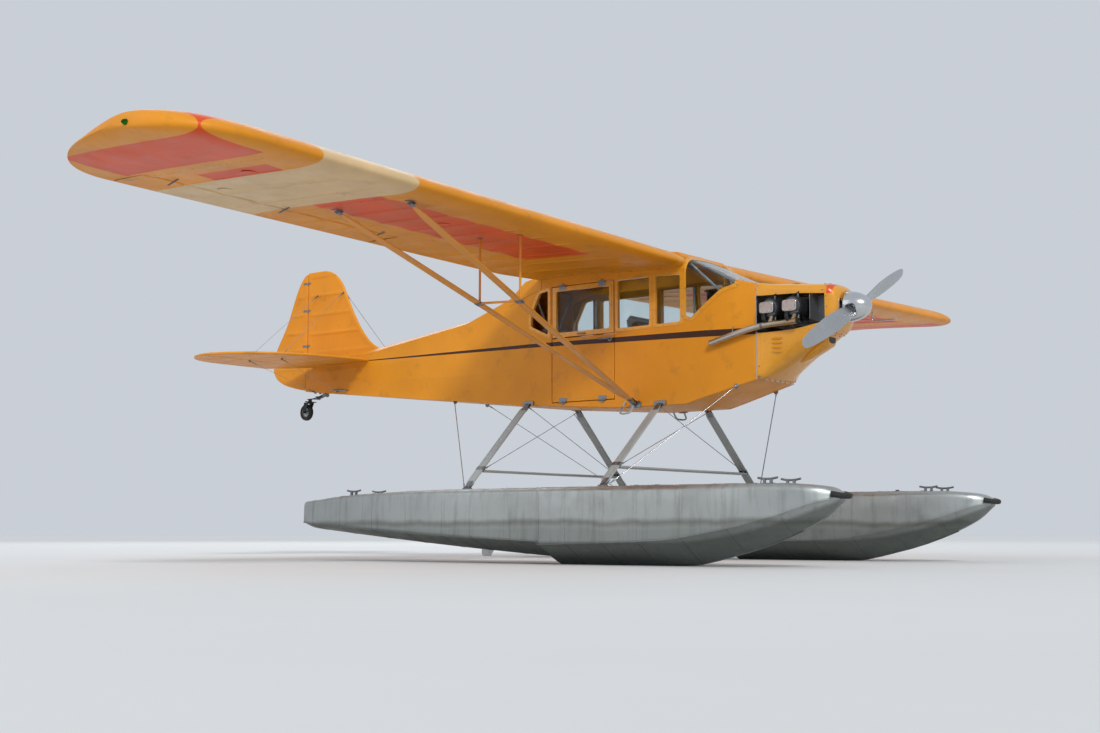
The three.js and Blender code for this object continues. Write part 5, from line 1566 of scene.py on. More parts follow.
def make_doors():
    refined("door_lower", CLOTH["body"], 4, "door_lower")
    refined("door_upper", PAINT, 4, "door_upper")
    ring, screws = window_frame(WINDOWS["door"], -1)
    piece("door_window_frame", ring, PAINT, "door_upper", bevel=0.6, edge=40)
    rows_of("screw", "door_window_screws", [screws], 74, 8, FITTING, "door_upper")
    y, split = -wall_y(-1000), DOOR["split"]
    front, rear, low, high = DOOR["front"] - 22, DOOR["rear"] + 22, DOOR["sill"] + 22, split - 26
    corners = [(front, low), (front, high), (rear, high), (rear, low)]
    seam = [((x, y - 0.8, z), (0, -1, 0)) for x, z in softened(corners, 40)]
    rows_of("rivet", "door_rivets", [seam + seam[:1]], 46, 6, FITTING, "door_lower")
    grip = ((-742, 6, -566), (-742, 30, -566), (-770, 34, -566), (-842, 30, -562))
    grip = [(x, y - out, z) for x, out, z in grip]
    handle = tube(curved(grip, 6), 7, 10) + disc((-742, y + 1, -566), (0, -1, 0), 21, 8, 20)
    piece("door_handle", handle, FITTING, "door_lower", bevel=1)
    bow = ((-1000, -2, 20), (-1000, 14, 20), (-1040, 16, 20), (-1078, 12, 22))
    bow = [(x, y - out, split + up) for x, out, up in bow]
    piece("window_catch", tube(curved(bow, 5), 5, 8), FITTING, "door_upper")
    for body, z, way in (("door_lower", DOOR["sill"], 1), ("door_upper", DOOR["head"], -1)):
        leaves, posts = Shape(), Shape()
        for x in DOOR["hinge_xs"]:
            front_pin, middle_pin, rear_pin = (rod(0, 24, 7, (x + start, y - 6, z - way * 3), ALONG)
                                               for start in (-38, -12, 14))
            leaves += block(x - 40, x + 40, y - 3.4, y - 0.4, z + way * 2, z + way * 34)
            leaves += front_pin + rear_pin
            posts += middle_pin + block(x - 12, x + 12, y - 6, y - 0.4, z - way * 26, z - way * 3)
        piece(f"{body}_hinge_leaves", leaves, FITTING, body, bevel=0.6)
        piece(f"{body}_hinge_posts", posts, FITTING, bevel=0.6)


# Engine and its covers

FIREWALL_X = 620
THRUST_Z = -440
BOWL_X, BOWL_BACK_X = 1262, 1170
SPINNER = {"base": 1284, "tip": 1465, "radius": 118}
PROPELLER_RADIUS = 940
REST_ANGLE = 0.42
CYLINDER_XS = [955, 755]
CYLINDER_Y = 108
COVER_SKIN = 4
BAND = {"wide": 26, "thick": 1.6}
# Columns: x, half width, top, the side opening's upper and lower edge, bottom, squareness of the corners
COVER = [
    (FIREWALL_X - 4, 295, -222, -330, -626, -984, 22), (FIREWALL_X + 9, 294, -223, -330, -625, -983, 20),
    (720, 278, -228, -330, -620, -934, 6), (900, 245, -240, -330, -610, -822, 4.2),
    (BOWL_BACK_X + 4, 196, -262, -345, -560, -640, 3.8),
]
# Columns: x, half width, top, upper corner's start, lower corner's start, bottom, squareness
BOWL = [
    (BOWL_BACK_X, 196, -262, -345, -560, -640, 3.8), (1190, 192, -263, -352, -550, -631, 3.5),
    (1216, 180, -268, -366, -530, -602, 3.1), (1240, 162, -282, -388, -500, -578, 2.7),
    (1256, 143, -300, -415, -466, -560, 2.4), (BOWL_X, 124, -316, -430, -448, -548, 2.3),
]
INLET = {"y": 104, "z": -439, "half": 31, "tall": 54}
SHAFT_HOLE = 66


def hood_line(x, off=0.0):
    _, half, top, edge, _, _, square = table_row(COVER, x)
    return [(x, y, edge + z) for y, z in oval(half + off, top + off - edge, 64, square)[:33]]


def trough_line(x, off=0.0):
    _, half, _, _, edge, bottom, square = table_row(COVER, x)
    half, tall = half + off, edge - bottom + off
    return [(x, y, edge + z) for y, z in oval(half, tall, 64, square * 0.85)[32:] + [(half, 0)]]


def open_shell(line, low, high, steps, skin=COVER_SKIN, off=0.0):
    return loft([line(x, off) + line(x, off - skin)[::-1] for x in evenly(low, high, steps)])


def line_normals(line, off=1.2):
    """The points of a cross line with the way that the skin faces, for rows of fasteners."""
    faced = []
    for i in range(1, len(line) - 1):
        run = Vector(line[i + 1]) - Vector(line[i - 1])
        normal = Vector((0, run.z, -run.y)).normalized()
        faced.append((Vector(line[i]) + normal * off, normal))
    return faced


def louvre(x, y, z, length=120, tall=15):
    """One pressed louvre: a lip that opens to the rear."""
    rings = []
    for t in evenly(0, 1, 9):
        rise = tall * math.sin(math.pi * t) ** 0.6
        section = ((0.0, -rise * 0.5), (rise * 0.9, -rise * 0.5), (rise * 0.5, rise * 0.4), (0.0, rise * 0.6))
        rings.append([(x - length * (t - 0.5), y + depth, z + high) for depth, high in section])
    return loft(rings)


def trough_side(x, z):
    """How far out the lower cover's side stands at a height."""
    line = sorted((p[2], abs(p[1])) for p in trough_line(x)[:33])
    return float(np.interp(z, [p[0] for p in line], [p[1] for p in line]))


def make_cowling():
    back, front = COVER[1][0], BOWL_BACK_X - 1
    lines = (hood_line, trough_line)
    for line, name, node in zip(lines, ("upper_cowl", "lower_cowl"), ("upper_cowling", "lower_cowling")):
        piece(name, open_shell(line, back, front, 14), PAINT, stands_for=[node], bevel=1, edge=40)
    wide, thick = BAND["wide"], BAND["thick"]
    bands = joined(open_shell(line, low, low + wide, 2, thick, thick) for low in (back + 3, front - wide)
                   for line in lines)
    piece("cowl_bands", bands, PAINT, bevel=0.5, edge=40)
    screws = [line_normals(line(x), 2.4) for x in (back + 16, front - 13) for line in lines]
    rows_of("screw", "cowl_screws", screws, 74, 11, FITTING)
    edges = []
    for line, rise in zip(lines, (12, -12)):
        for index in (0, -1):
            ends = [line(x)[index] for x in evenly(back + 50, front - 40, 10)]
            edges.append([((x, y, z + rise), (0, 1 if y > 0 else -1, 0)) for x, y, z in ends])
    rows_of("rivet", "cowl_edge_rivets", edges, 52, 7, PAINT)
    ridge = [(x, 0, hood_line(x)[16][2] + 2) for x in evenly(back + 34, front - 30, 8)]
    piece("cowl_hinge", tube(ridge, 4.5, 10), FITTING)
    heights = [-672 - row * 34 for row in range(4)]
    lips = joined(louvre(780, trough_side(780, z) - 2, z) for z in heights)
    piece("cowl_louvres", both_sides(lips), PAINT, edge=50)
    piece("oil_door", pad(46, 34, 4, "z", 0, 3, (880, -120, hood_line(880)[16][2] - 1), 24), PAINT, bevel=1)
    # Columns: x, half width, top, height
    scoop = [(1130, 62, -640, 62), (1120, 70, -640, 74), (1040, 74, -676, 78), (960, 66, -726, 66),
             (870, 40, -800, 26)]
    rings = [[(x, y, top - tall / 2 + z) for y, z in oval(wide, tall / 2 + 26, 24, 3.5)]
             for x, wide, top, tall in scoop]
    piece("air_scoop", loft(rings), PAINT, edge=40, bevel=1)
    piece("air_scoop_screen", pad(52, 42, 3.5, "x", 1128, 1133, (0, 0, -671), 24), BLACK, bevel=1)


def bowl_ring(x, half, top, high, low, bottom, square, off=0.0):
    upper = [(x, y, high + z) for y, z in oval(half - off, top - off - high, 48, square)[:25]]
    under = oval(half - off, low - bottom - off, 48, square)[24:] + [(half - off, 0)]
    lower = [(x, y, low + z) for y, z in under]
    return upper + lower


def cut(obj, cutter):
    """Takes the cutter's shape out of a piece."""
    tool = shown("cutter", mesh_of(cutter, "cutter", 30))
    away = obj.modifiers.new("cut", "BOOLEAN")
    away.object, away.operation, away.solver = tool, "DIFFERENCE", "EXACT"
    settle(obj)
    bpy.data.objects.remove(tool)


def make_nose_bowl():
    """The nose cap as a pressed shell, with a hole for the shaft and an air inlet on each side."""
    stations = (1170, 1180, 1190, 1203, 1216, 1229, 1240, 1249, 1256, 1260)
    rows = [*(table_row(BOWL, x) for x in stations), BOWL[-1]]
    outer = [bowl_ring(*row) for row in rows]
    inner = [bowl_ring(row[0] - 4 * i / 10, *row[1:], off=5) for i, row in enumerate(rows)]
    bowl = piece("nose_cap", loft([*reversed(inner), *outer]), NOSE_PAINT, stands_for=["nose_bowl"])
    cut(bowl, rod(0, 150, SHAFT_HOLE, (BOWL_X - 100, 0, THRUST_Z), ALONG, 40))
    rims = Shape()
    for side, _ in SIDES:
        place = (0, side * INLET["y"], INLET["z"])
        cut(bowl, pad(INLET["half"], INLET["tall"], 3, "x", BOWL_X - 70, BOWL_X + 30, place, 28))
        rim = oval(INLET["half"] + 2, INLET["tall"] + 2, 36, 3)
        rims += tube([(BOWL_X - 1, place[1] + y, place[2] + z) for y, z in rim], 3.4, 8, loop=True)
    rounded(bowl, 1.6, 40)
    piece("inlet_rims", rims, POLISHED)
    screws = [line_normals(bowl_ring(*table_row(BOWL, BOWL_BACK_X + 12)), 0.6)]
    rows_of("screw", "nose_screws", screws, 80, 10, FITTING)


def blade_ring(radius, chord, thick, pitch):
    ring = []
    for a, b in teardrop(1, 1, 9):
        across, high = (a + 0.08) * chord, b * thick * (1.0 if b > 0 else 0.45)
        ring.append((high * math.cos(pitch) - across * math.sin(pitch),
                     high * math.sin(pitch) + across * math.cos(pitch), radius))
    return ring


# Columns: radius, chord, thickness, pitch angle
BLADE = [(44, 82, 58, 0.9), (190, 118, 34, 0.72), (430, 138, 20, 0.46), (700, 118, 13, 0.31),
         (880, 84, 9, 0.25), (925, 58, 7, 0.24), (PROPELLER_RADIUS, 26, 5, 0.23)]
CONE_SHARES = (0, 0.1, 0.2, 0.32, 0.44, 0.56, 0.68, 0.78, 0.87, 0.94, 0.98)


def blade_matrix(turn):
    place = Matrix.Translation((SPINNER["base"] + 52, 0, THRUST_Z))
    return place @ Matrix.Rotation(turn + REST_ANGLE + math.pi / 2, 4, "X")


def make_propeller():
    base, radius = (SPINNER["base"], 0, THRUST_Z), SPINNER["radius"]
    blade = loft([blade_ring(*table_row(BLADE, r))
                  for r in (*evenly(44, 880, 24), 900, 915, 925, 932, 937, PROPELLER_RADIUS)])
    turns = [blade_matrix(turn) for turn in (0, math.pi)]
    hub = spun([(0, 62), (14, 62), (16, 56), (92, 56)], (base[0] - 24, 0, THRUST_Z), ALONG, 40)
    blades = joined(blade.put(turn) for turn in turns)
    piece("propeller_blades", blades + hub, BLADE_METAL, "propeller", ["propeller"], edge=50)
    length = SPINNER["tip"] - base[0]
    profile = [(0, 0), (-3, 0.01), (-3, radius - 1)]
    profile += [(length * s, radius * math.sqrt(max(1 - s ** 1.9, 0))) for s in CONE_SHARES] + [(length, 0)]
    cone = piece("spinner_cone", turned(profile, base, ALONG, 64), POLISHED, "propeller", ["spinner"],
                 edge=40)
    for turn in turns:
        cut(cone, pad(44, 53, 3, "z", 40, 190, count=32).put(turn))
    rounded(cone, 1, 40)
    ring = around((base[0] + 10, 0, THRUST_Z), ALONG, radius + 0.3)
    line = [(p, p - Vector((p.x, 0, THRUST_Z))) for p, _ in ring]
    rows_of("screw", "spinner_screws", [line], 92, 8, FITTING, "propeller")


def spark_plugs(x):
    """Where the two plugs of a cylinder stand, and which way."""
    for up in (1, -1):
        yield up, Vector((x + 34, CYLINDER_Y + 176, THRUST_Z + up * 60)), Vector((0.25, 0.35, up))


def make_cylinders():
    """The port cylinders: barrels, heads, the fins round them, and the tubes and leads that serve them."""
    y0, z = CYLINDER_Y, THRUST_Z
    steel, covers, rods, intakes, plugs, leads = (Shape() for _ in range(6))
    for x in CYLINDER_XS:
        barrel = [(0, 72), (10, 72), (12, 58), (150, 58), (152, 66), (214, 66), (216, 0)]
        steel += turned([(0, 0), *barrel], (x, y0, z), ACROSS, 36)
        steel += pad(58, 42, 5, "y", y0 + 206, y0 + 252, (x, 0, z), 28)
        covers += pad(62, 44, 5, "y", y0 + 240, y0 + 259, (x, 0, z), 28)
        rods += joined(tube([(x + a, y0 - 8, z - 96), (x + a * 0.9, y0 + 212, z - 34)], 9, 10)
                       for a in (-24, 24))
        bend = ((-36, 222, -40), (-40, 214, -90), (-30, 120, -150), (-20, -20, -158))
        intakes += tube(curved([(x + a, y0 + b, z + c) for a, b, c in bend], 6), 19)
        for up, place, way in spark_plugs(x):
            plugs += spun([(0, 11), (14, 11), (14, 8), (34, 8), (40, 5)], place, way, 8)
            start = place + way.normalized() * 38
            route = [start, start + Vector((10, 10, up * 12)), (x - 60, 250, -365 if up > 0 else -566),
                     (690, 96, -372 if up > 0 else -560)]
            leads += tube(curved(route, 7), 3.6, 8)
    steel += block(672, 1042, 104, 112, -520, -362)
    fins = [[((x, y, z), UP) for y in (y0 + 22, y0 + 201)] for x in CYLINDER_XS]
    bolts = [[((x + a * 0.82, y0 + 259.5, z + b * 0.76), ACROSS) for a, b in oval(62, 44, 29, 5)]
             for x in CYLINDER_XS]
    pair("cylinder_barrels", steel, CASTING, stands_for=["cylinders_{}"], bevel=1.5)
    pair_of_rows("fin", "cylinder_fins", fins, 9.4, 160, FIN_STEEL)
    pair("rocker_covers", covers, POLISHED, bevel=4)
    pair("pushrod_tubes", rods, FITTING)
    pair("intake_pipes", intakes, PAINT_BLACK)
    pair("spark_plugs", plugs, FITTING, bevel=0.6)
    pair("plug_leads", leads, TYRE)
    pair_of_rows("screw", "rocker_bolts", bolts, 42, 9, FITTING)


def make_engine():
    refined("engine_block", CASTING, 6)
    make_cylinders()
    baffle = prism([(-236, -345), (-236, -540), (-110, -548), (-110, -345)], "x", 1062, 1065)
    piece("engine_baffles", both_sides(baffle) + block(1050, 1065, -180, 180, -345, -300), BRUSHED, bevel=0.8)
    nose = [(0, 0), (0, 96), (8, 100), (60, 92), (66, 60), (110, 56), (114, 0)]
    case = turned(nose, (1120, 0, THRUST_Z), ALONG, 40)
    magneto = [(0, 36), (44, 36), (50, 28), (62, 26)]
    case += joined(spun(magneto, (688, side * 52, -470), (-1, 0, 0), 24) for side in (1, -1))
    case += spun([(0, 20), (70, 20), (74, 26), (92, 26)], (890, -88, -350), (0, -0.3, 1))
    piece("engine_cases", case, CASTING, bevel=1.5)


EXHAUST_LINE = [(985, 300, -556), (860, 300, -560), (720, 312, -568), (600, 338, -590), (440, 362, -632),
                (250, 376, -684)]


def make_exhausts():
    line = curved(EXHAUST_LINE, 8)
    pipe, fittings = tube(line, 24, 20), Shape()
    for x in CYLINDER_XS:
        pipe += tube(curved([(x + 14, 300, -486), (x + 8, 302, -520), (x - 12, 300, -556)], 5), 19, 16)
        fittings += pad(40, 26, 3, "z", -490, -483, (x + 14, 300, 0))
    clamp, half = line[18], Vector((9, 0, 0))
    fittings += sweep([clamp - half, clamp + half], oval(27, count=20))
    fittings += tube([(450, 346, -560), (440, 362, -628)], 5, 8)
    # A black disc in the pipe's end: painted shade for the dark inside of its open mouth, with its soot.
    mouth = spun([(0, 20.5), (2.5, 20.5)], line[-1] - Vector((1, 0, 0)), line[-1] - line[-2])
    pair("exhaust_pipe", pipe, EXHAUST, stands_for=["exhaust_{}"], edge=50)
    pair("exhaust_flanges", fittings, FITTING, bevel=0.8)
    pair("exhaust_mouth", mouth, BLACK)


# Tailwheel and water rudder

TAILWHEEL = {"x": -4752, "z": -972, "radius": 82, "half": 24, "pivot": -4706}
LEAF = {"half": 22, "thick": 6}
# Spring leaves, longest first: share of the length, and drop
LEAVES = ((1.0, 0), (0.72, -6.4), (0.48, -12.8))


def tyre_profile(half, r):
    """The tyre's outside from one bead to the other: side wall, shoulder and a tread with two grooves."""
    edge = [(-half + 8, 46), (-half + 3, 54), (-half, 62), (-half + 2, r - 13), (-half + 7, r - 5),
            (-14, r - 1.5), (-9, r), (-7.6, r - 3), (-5.4, r - 3), (-4, r)]
    return edge + [(-a, b) for a, b in reversed(edge)]


def make_tailwheel():
    x, z, r, half, pivot = TAILWHEEL.values()
    line = curved([(-4480, 0, -799), (-4560, 0, -822), (-4640, 0, -838), (pivot - 24, 0, -841)], 6)
    wide, high = LEAF["half"], LEAF["thick"] / 2
    section = [(-high, -wide), (-high, wide), (high, wide), (high, -wide)]
    leaves = joined(sweep([p + Vector((0, 0, drop)) for p in line[:int(len(line) * reach)]], section,
                          forward=UP)
                    for reach, drop in LEAVES)
    piece("tail_spring", leaves, DARK, stands_for=["tailwheel_spring"], bevel=0.8)
    clamp = block(-4500, -4462, -30, 30, -822, -794) + block(-4600, -4584, -27, 27, -852, -818)
    clamp += joined(rod(0, 7, 7, (a, b, -829), UP, 6) for a in (-4490, -4472) for b in (-22, 22))
    piece("tail_spring_clamps", clamp, FITTING, bevel=1)

    arm = softened([(pivot + 18, -876), (pivot - 46, -876), (x - 20, z - 4), (x - 12, z - 14),
                    (x + 8, z - 14), (x + 16, z - 4)], 10, 3)
    fork = joined(prism(arm, "y", side * (half + 10), side * (half + 17)) for side in (1, -1))
    fork += plate(pivot - 50, pivot + 22, -40, 40, 14, "z", -882, -873)
    fork += spun([(0, 24), (8, 24), (10, 19), (28, 19), (30, 13), (34, 13)], (pivot, 0, -874), UP, 24)
    fork += bolt((x, 0, z), ACROSS, half + 17, 9, 7, 7) + block(pivot + 4, pivot + 16, -74, 74, -872, -864)
    piece("tail_fork", fork, DARK, "tailwheel_fork", ["tailwheel_fork"], bevel=1.2)

    tyre = turned(tyre_profile(half, r), (x, 0, z), ACROSS, 56, loop=True)
    piece("tailwheel_tyre", tyre, TYRE, "tailwheel", ["tailwheel"], edge=50)
    rim = [(-half + 6, 47), (-half + 8, 44), (-8, 40), (-7, 22), (-half + 2, 20), (-half + 2, 9)]
    rim += [(-a, b) for a, b in reversed(rim)]
    piece("tailwheel_hub", turned(rim, (x, 0, z), ACROSS, 40, loop=True), BRUSHED, "tailwheel", bevel=0.6)
    bolts = [around((x, side * 8.2, z), (0, side, 0), 31) for side in (1, -1)]
    rows_of("screw", "tailwheel_bolts", bolts, 38, 8, FITTING, "tailwheel")


WATER_RUDDER = {"x": STERN_X - 46, "top": -1955, "bottom": -2105, "pivot": (STERN_X - 82, FLOAT_Y, -2030),
                "reach": 470, "slant": 0.6, "half": 66}
CABLE = 1.9


def make_water_rudder():
    """The post with its tiller and cheeks, the lifting blade on its bolt, and the cables that steer it."""
    x, top, bottom, pivot, reach, slant, w = WATER_RUDDER.values()
    y, z = FLOAT_Y, pivot[2]
    refined("water_rudder_bracket", FITTING, 1.5)
    post = spun([(0, 14), (4, 17), (146, 17), (150, 14)], (x, y, bottom), UP, 24)
    post += joined(plate(x - 52, x, z - 26, z + 26, 18, "y", y + side * 12, y + side * 20, 4)
                   for side in (-1, 1))
    half_tiller = [(14, 20), (-20, 102), (-44, 102), (-18, 20)]
    outline = half_tiller + [(a, -b) for a, b in reversed(half_tiller)]
    post += prism(softened([(x + a, y + b) for a, b in outline], 8, 3), "z", top - 1, top + 6)
    post += bolt(pivot, ACROSS, 20, 10, 6, 6)
    piece("rudder_post", post, FITTING, "water_rudder_post", ["water_rudder_post"], bevel=1)

    outline = [(-16, 16), (16, 16), (30, -150), (w + 9, -220), (w + 3, 60 - reach),
               *bezier((w + 3, 60 - reach), (w - 9, 20 - reach), (w - 32, -reach), (0, -reach), 8),
               *bezier((0, -reach), (-w * 0.6, -reach), (-w, 26 - reach), (-w, 80 - reach), 8),
               (6 - w, -220), (-24, -150)]
    blade = prism(softened(outline, 8, 2), "y", -3.5, 3.5)
    blade += joined(tube([(a, side * 3.2, -235), (a * 0.9, side * 3.2, 70 - reach)], 4, 8)
                    for a in (-34, 0, 34) for side in (-1, 1))
    stiffener = [(-20, 10), (20, 10), (24, -150), (-22, -150)]
    blade += joined(prism(stiffener, "y", side * 3.5, side * 6) for side in (-1, 1))
    turn = Matrix.Translation(pivot) @ Matrix.Rotation(slant, 4, "Y")
    piece("water_rudder_plate", blade.put(turn), BRUSHED, "water_rudder_blade", ["water_rudder_blade"],
          bevel=0.8, edge=40)
    rim = ((-14, 0), (14, -20), (16, -130), (-15, -130), (-14, 0))
    holes = [[(turn @ Vector((a, side * 6.1, b)), (0, side, 0)) for a, b in rim] for side in (-1, 1)]
    rows_of("rivet", "water_rudder_rivets", holes, 36, 7, FITTING, "water_rudder_blade")
    make_rudder_cables(x - 32, top)


def make_rudder_cables(tiller_x, tiller_z):
    """Steering cables from the water rudder's arms over two pulleys, along the deck and up the rear frame."""
    rear = FRAMES["rear"]
    pulley_x, pulley_y, lift = STERN_X + 12, 84, 13
    guides = ((-2500, 70), (-1800, 62), (rear["x"] - 90, 58))
    pulleys, cables, links = Shape(), Shape(), Shape()
    for side in (-1, 1):
        path = [Vector((x, FLOAT_Y + side * y, deck_at(x) + lift))
                for x, y in ((pulley_x, pulley_y), *guides)]
        wheel, *posts = path
        pulleys += disc(wheel - Vector((0, 0, 5)), UP, 16, 10, 20)
        pulleys += disc(wheel - Vector((0, 0, lift + 2)), UP, 9, lift, 12)
        pulleys += joined(block(p.x - 9, p.x + 9, p.y - 6, p.y + 6, p.z - lift - 2, p.z - 1) for p in posts)
        arm = Vector((tiller_x, FLOAT_Y + side * 90, tiller_z + 8))
        links += tube([wheel.lerp(arm, i / 8) for i in range(9)], CABLE, 6)
        up = Vector((rear["x"] - 62, rear["top_y"] + 36, rear["top_z"] - 14))
        cables += joined(tube([start, end], CABLE, 6) for start, end in zip(path, [*posts, up]))
    piece("cable_pulleys", pulleys, FITTING, bevel=0.8)
    piece("rudder_cables", cables, WIRE)
    ends = piece("steering_links", links, WIRE)
    ends.parent = None
    del ends["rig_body"]
    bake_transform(ends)


# Cabin fittings

FLOOR_LEVEL, FLOOR_BEND_X, FLOOR_END = -1097, -600, (-1650, -1030)
TOE_RISE = 167 / 630
# Columns: label, front edge, back edge, pan height
SEATS = [("front", -215, -590, -830), ("rear", -1120, -1500, -850)]
SEAT_HALF = 205
BACK_LEAN = 78 / 470
CLOTH_FRAMES, CLOTH_PRESSURE, CLOTH_GRID = 20, 4, 0.006


def floor_at(x):
    if x > 0:
        return FLOOR_LEVEL + x * TOE_RISE
    share = max(0, (FLOOR_BEND_X - x) / (FLOOR_BEND_X - FLOOR_END[0]))
    return FLOOR_LEVEL + share * (FLOOR_END[1] - FLOOR_LEVEL)


def seat_back_x(back, rise, forward=0):
    """Where the seat's back stands at a height above its pan."""
    return back + forward - BACK_LEAN * rise


def puffed(obj, cap):
    """Blows the closed form up a little as sewn cloth would go, and no point further than the cap."""
    grid = obj.modifiers.new("grid", "REMESH")
    grid.mode, grid.voxel_size = "VOXEL", CLOTH_GRID
    settle(obj)
    rest = np.array([v.co for v in obj.data.vertices])
    cloth = obj.modifiers.new("cloth", "CLOTH").settings
    cloth.use_pressure, cloth.uniform_pressure_force = True, CLOTH_PRESSURE
    cloth.effector_weights.gravity = 0
    for step in range(1, CLOTH_FRAMES + 1):
        bpy.context.scene.frame_set(step)
    settle(obj)
    bpy.context.scene.frame_set(1)
    moved = np.array([v.co for v in obj.data.vertices]) - rest
    length = np.linalg.norm(moved, axis=1, keepdims=True)
    limited = rest + moved * np.minimum(1, cap * MM / np.maximum(length, 1e-9))
    obj.data.vertices.foreach_set("co", limited.ravel())
    rounded(obj, 0, 0, subdivide=1)
    for face in obj.data.polygons:
        face.use_smooth = True


def pressed(obj, depth_at):
    """Moves each point of a pad inward along its normal, by the depth given for its place in millimetres."""
    count = len(obj.data.vertices)
    place, way = np.zeros(count * 3), np.zeros(count * 3)
    obj.data.vertices.foreach_get("co", place)
    obj.data.vertex_normals.foreach_get("vector", way)
    place, way = place.reshape(-1, 3), way.reshape(-1, 3)
    deep = np.array([depth_at(Vector((p - np.array(ORIGIN)) / MM)) for p in place])
    obj.data.vertices.foreach_set("co", (place - way * deep[:, None] * MM).ravel())
    obj.data.update()


def dent(distance, deep, wide):
    return deep * math.exp(-(distance / wide) ** 2)


def cushion_form(low, high):
    """A boxy pad with soft corners between two corners of its space, as rings from front to back."""
    (x0, y0, z0), (x1, y1, z1) = low, high
    rings = []
    for t in evenly(0, 1, 9):
        wide, tall = (0.94, 0.72) if t in (0, 1) else (1 - 0.04 * math.sin(math.pi * t), 1)
        ring = oval((y1 - y0) / 2 * wide, (z1 - z0) / 2 * tall, 40, 6)
        rings.append([(x0 + (x1 - x0) * t, (y0 + y1) / 2 + a, (z0 + z1) / 2 + b) for a, b in ring])
    return loft(rings)


def padded(name, shape, node, cap, depth_at):
    """A cushion: the form, blown up, with its channels pressed in."""
    obj = piece(name, shape, SEAT, stands_for=[node])
    puffed(obj, cap)
    pressed(obj, depth_at)
    return obj


def seat_frame(front, back, pan):
    """Tubes, feet, pan and back sheet of one seat."""
    side_y = SEAT_HALF - 11
    corners = [(front - 6, -side_y), (front - 6, side_y), (back - 6, side_y), (back - 6, -side_y)]
    rail = softened(corners, 50, 5)
    made = tube([(x, y, pan - 9) for x, y in rail], 10, loop=True)
    for y in (side_y, -side_y):
        made += tube([(front - 30, y, floor_at(front - 30) + 3), (front - 24, y, pan - 10)], 10)
        made += tube([(back + 20, y, floor_at(back + 20) + 3), (back + 12, y, pan - 10)], 10)
        made += tube([(front - 28, y, floor_at(front) + 60), (back + 14, y, pan - 30)], 7, 10)
    hoop = [(-6, side_y), (430, side_y), (466, side_y - 50)]
    hoop = [(y * way, rise) for way, half in ((-1, hoop), (1, hoop[::-1])) for rise, y in half]
    made += tube([(seat_back_x(back, max(rise, 0), -6), y, pan + rise) for y, rise in hoop], 10)
    made += joined(block(x - 18, x + 18, y - 14, y + 14, floor_at(x) + 0.5, floor_at(x) + 6)
                   for x in (front - 30, back + 20) for y in (side_y, -side_y))
    made += block(back, front, 14 - SEAT_HALF, SEAT_HALF - 14, pan - 6, pan - 1)
    sheet = [(back - 1, pan), (back + 3, pan), (seat_back_x(back, 455, 3), pan + 455),
             (seat_back_x(back, 455, -1), pan + 455)]
    return made + prism(sheet, "y", 16 - SEAT_HALF, SEAT_HALF - 16)


def piping(obj, low, high, level):
    """A welt round a cushion, where rays from its inside outward meet its skin."""
    corners = [(high[0], high[1]), (high[0], low[1]), (low[0], low[1]), (low[0], high[1])]
    path = []
    for x, y in softened(corners, 40, 6):
        y *= 1.15
        start = ORIGIN + Vector((x * 0.5 + (low[0] + high[0]) * 0.25, y * 0.5, level)) * MM
        aim = ORIGIN + Vector((x, y, level)) * MM - start
        hit, place, _, _ = obj.ray_cast(start, aim.normalized(), distance=aim.length * 1.5)
        if hit:
            path.append((place - ORIGIN) / MM)
    return tube(path, 3.2, 8, loop=True)


def make_seats():
    inside = SEAT_HALF - 14
    channels = [-inside + 2 * inside * t for t in (0.25, 0.5, 0.75)]
    for label, front, back, pan in SEATS:
        piece(f"{label}_seat_tubes", seat_frame(front, back, pan), TUBE_PAINT,
              stands_for=[f"{label}_seat_frame"], bevel=0.6, edge=50)
        low, high = (back + 86, -inside, pan + 8), (front + 2, inside, pan + 66)
        lean = Matrix.Translation((back, 0, pan)) @ Matrix.Rotation(-math.atan(BACK_LEAN), 4, "Y")

        def seat_seams(place):
            if place.z < pan + 48:
                return 0
            fade = ease(place.x, low[0] - 10, low[0] + 34) * (1 - ease(place.x, high[0] - 34, high[0] + 10))
            return sum(dent(place.y - y, 6.5, 7) for y in channels) * fade

        def back_seams(place):
            local = lean.inverted() @ place
            if local.x < 36:
                return 0
            fade = ease(local.z, 16, 56) * (1 - ease(local.z, 396, 440))
            return sum(dent(local.y - y, 5.5, 7) for y in channels) * fade

        cushion = padded(f"{label}_cushion", cushion_form(low, high), f"{label}_seat_cushion", 11,
                         seat_seams)
        back_form = cushion_form((12, -inside, 12), (50, inside, 440)).put(lean)
        padded(f"{label}_back_pad", back_form, f"{label}_seat_back_pad", 8, back_seams)
        bpy.context.view_layer.update()
        piece(f"{label}_cushion_piping", piping(cushion, low, high, (low[2] + high[2]) / 2 + 18), WEBBING)
        make_belt(label, cushion, back, pan)


def lay_on(obj, points, lift=1.6):
    """The points dropped on to a piece's skin, and lifted a little off it."""
    path = []
    for point in points:
        hit, place, normal, _ = obj.ray_cast(ORIGIN + Vector(point) * MM, Vector((0, 0, -1)))
        path.append((place + normal * lift * MM - ORIGIN) / MM if hit else Vector(point))
    return path


def strap(path, wide=44, thick=1.8):
    a, b = thick / 2, wide / 2
    return sweep(path, [(-a, -b), (-a, b), (a, b), (a, -b)], forward=UP)


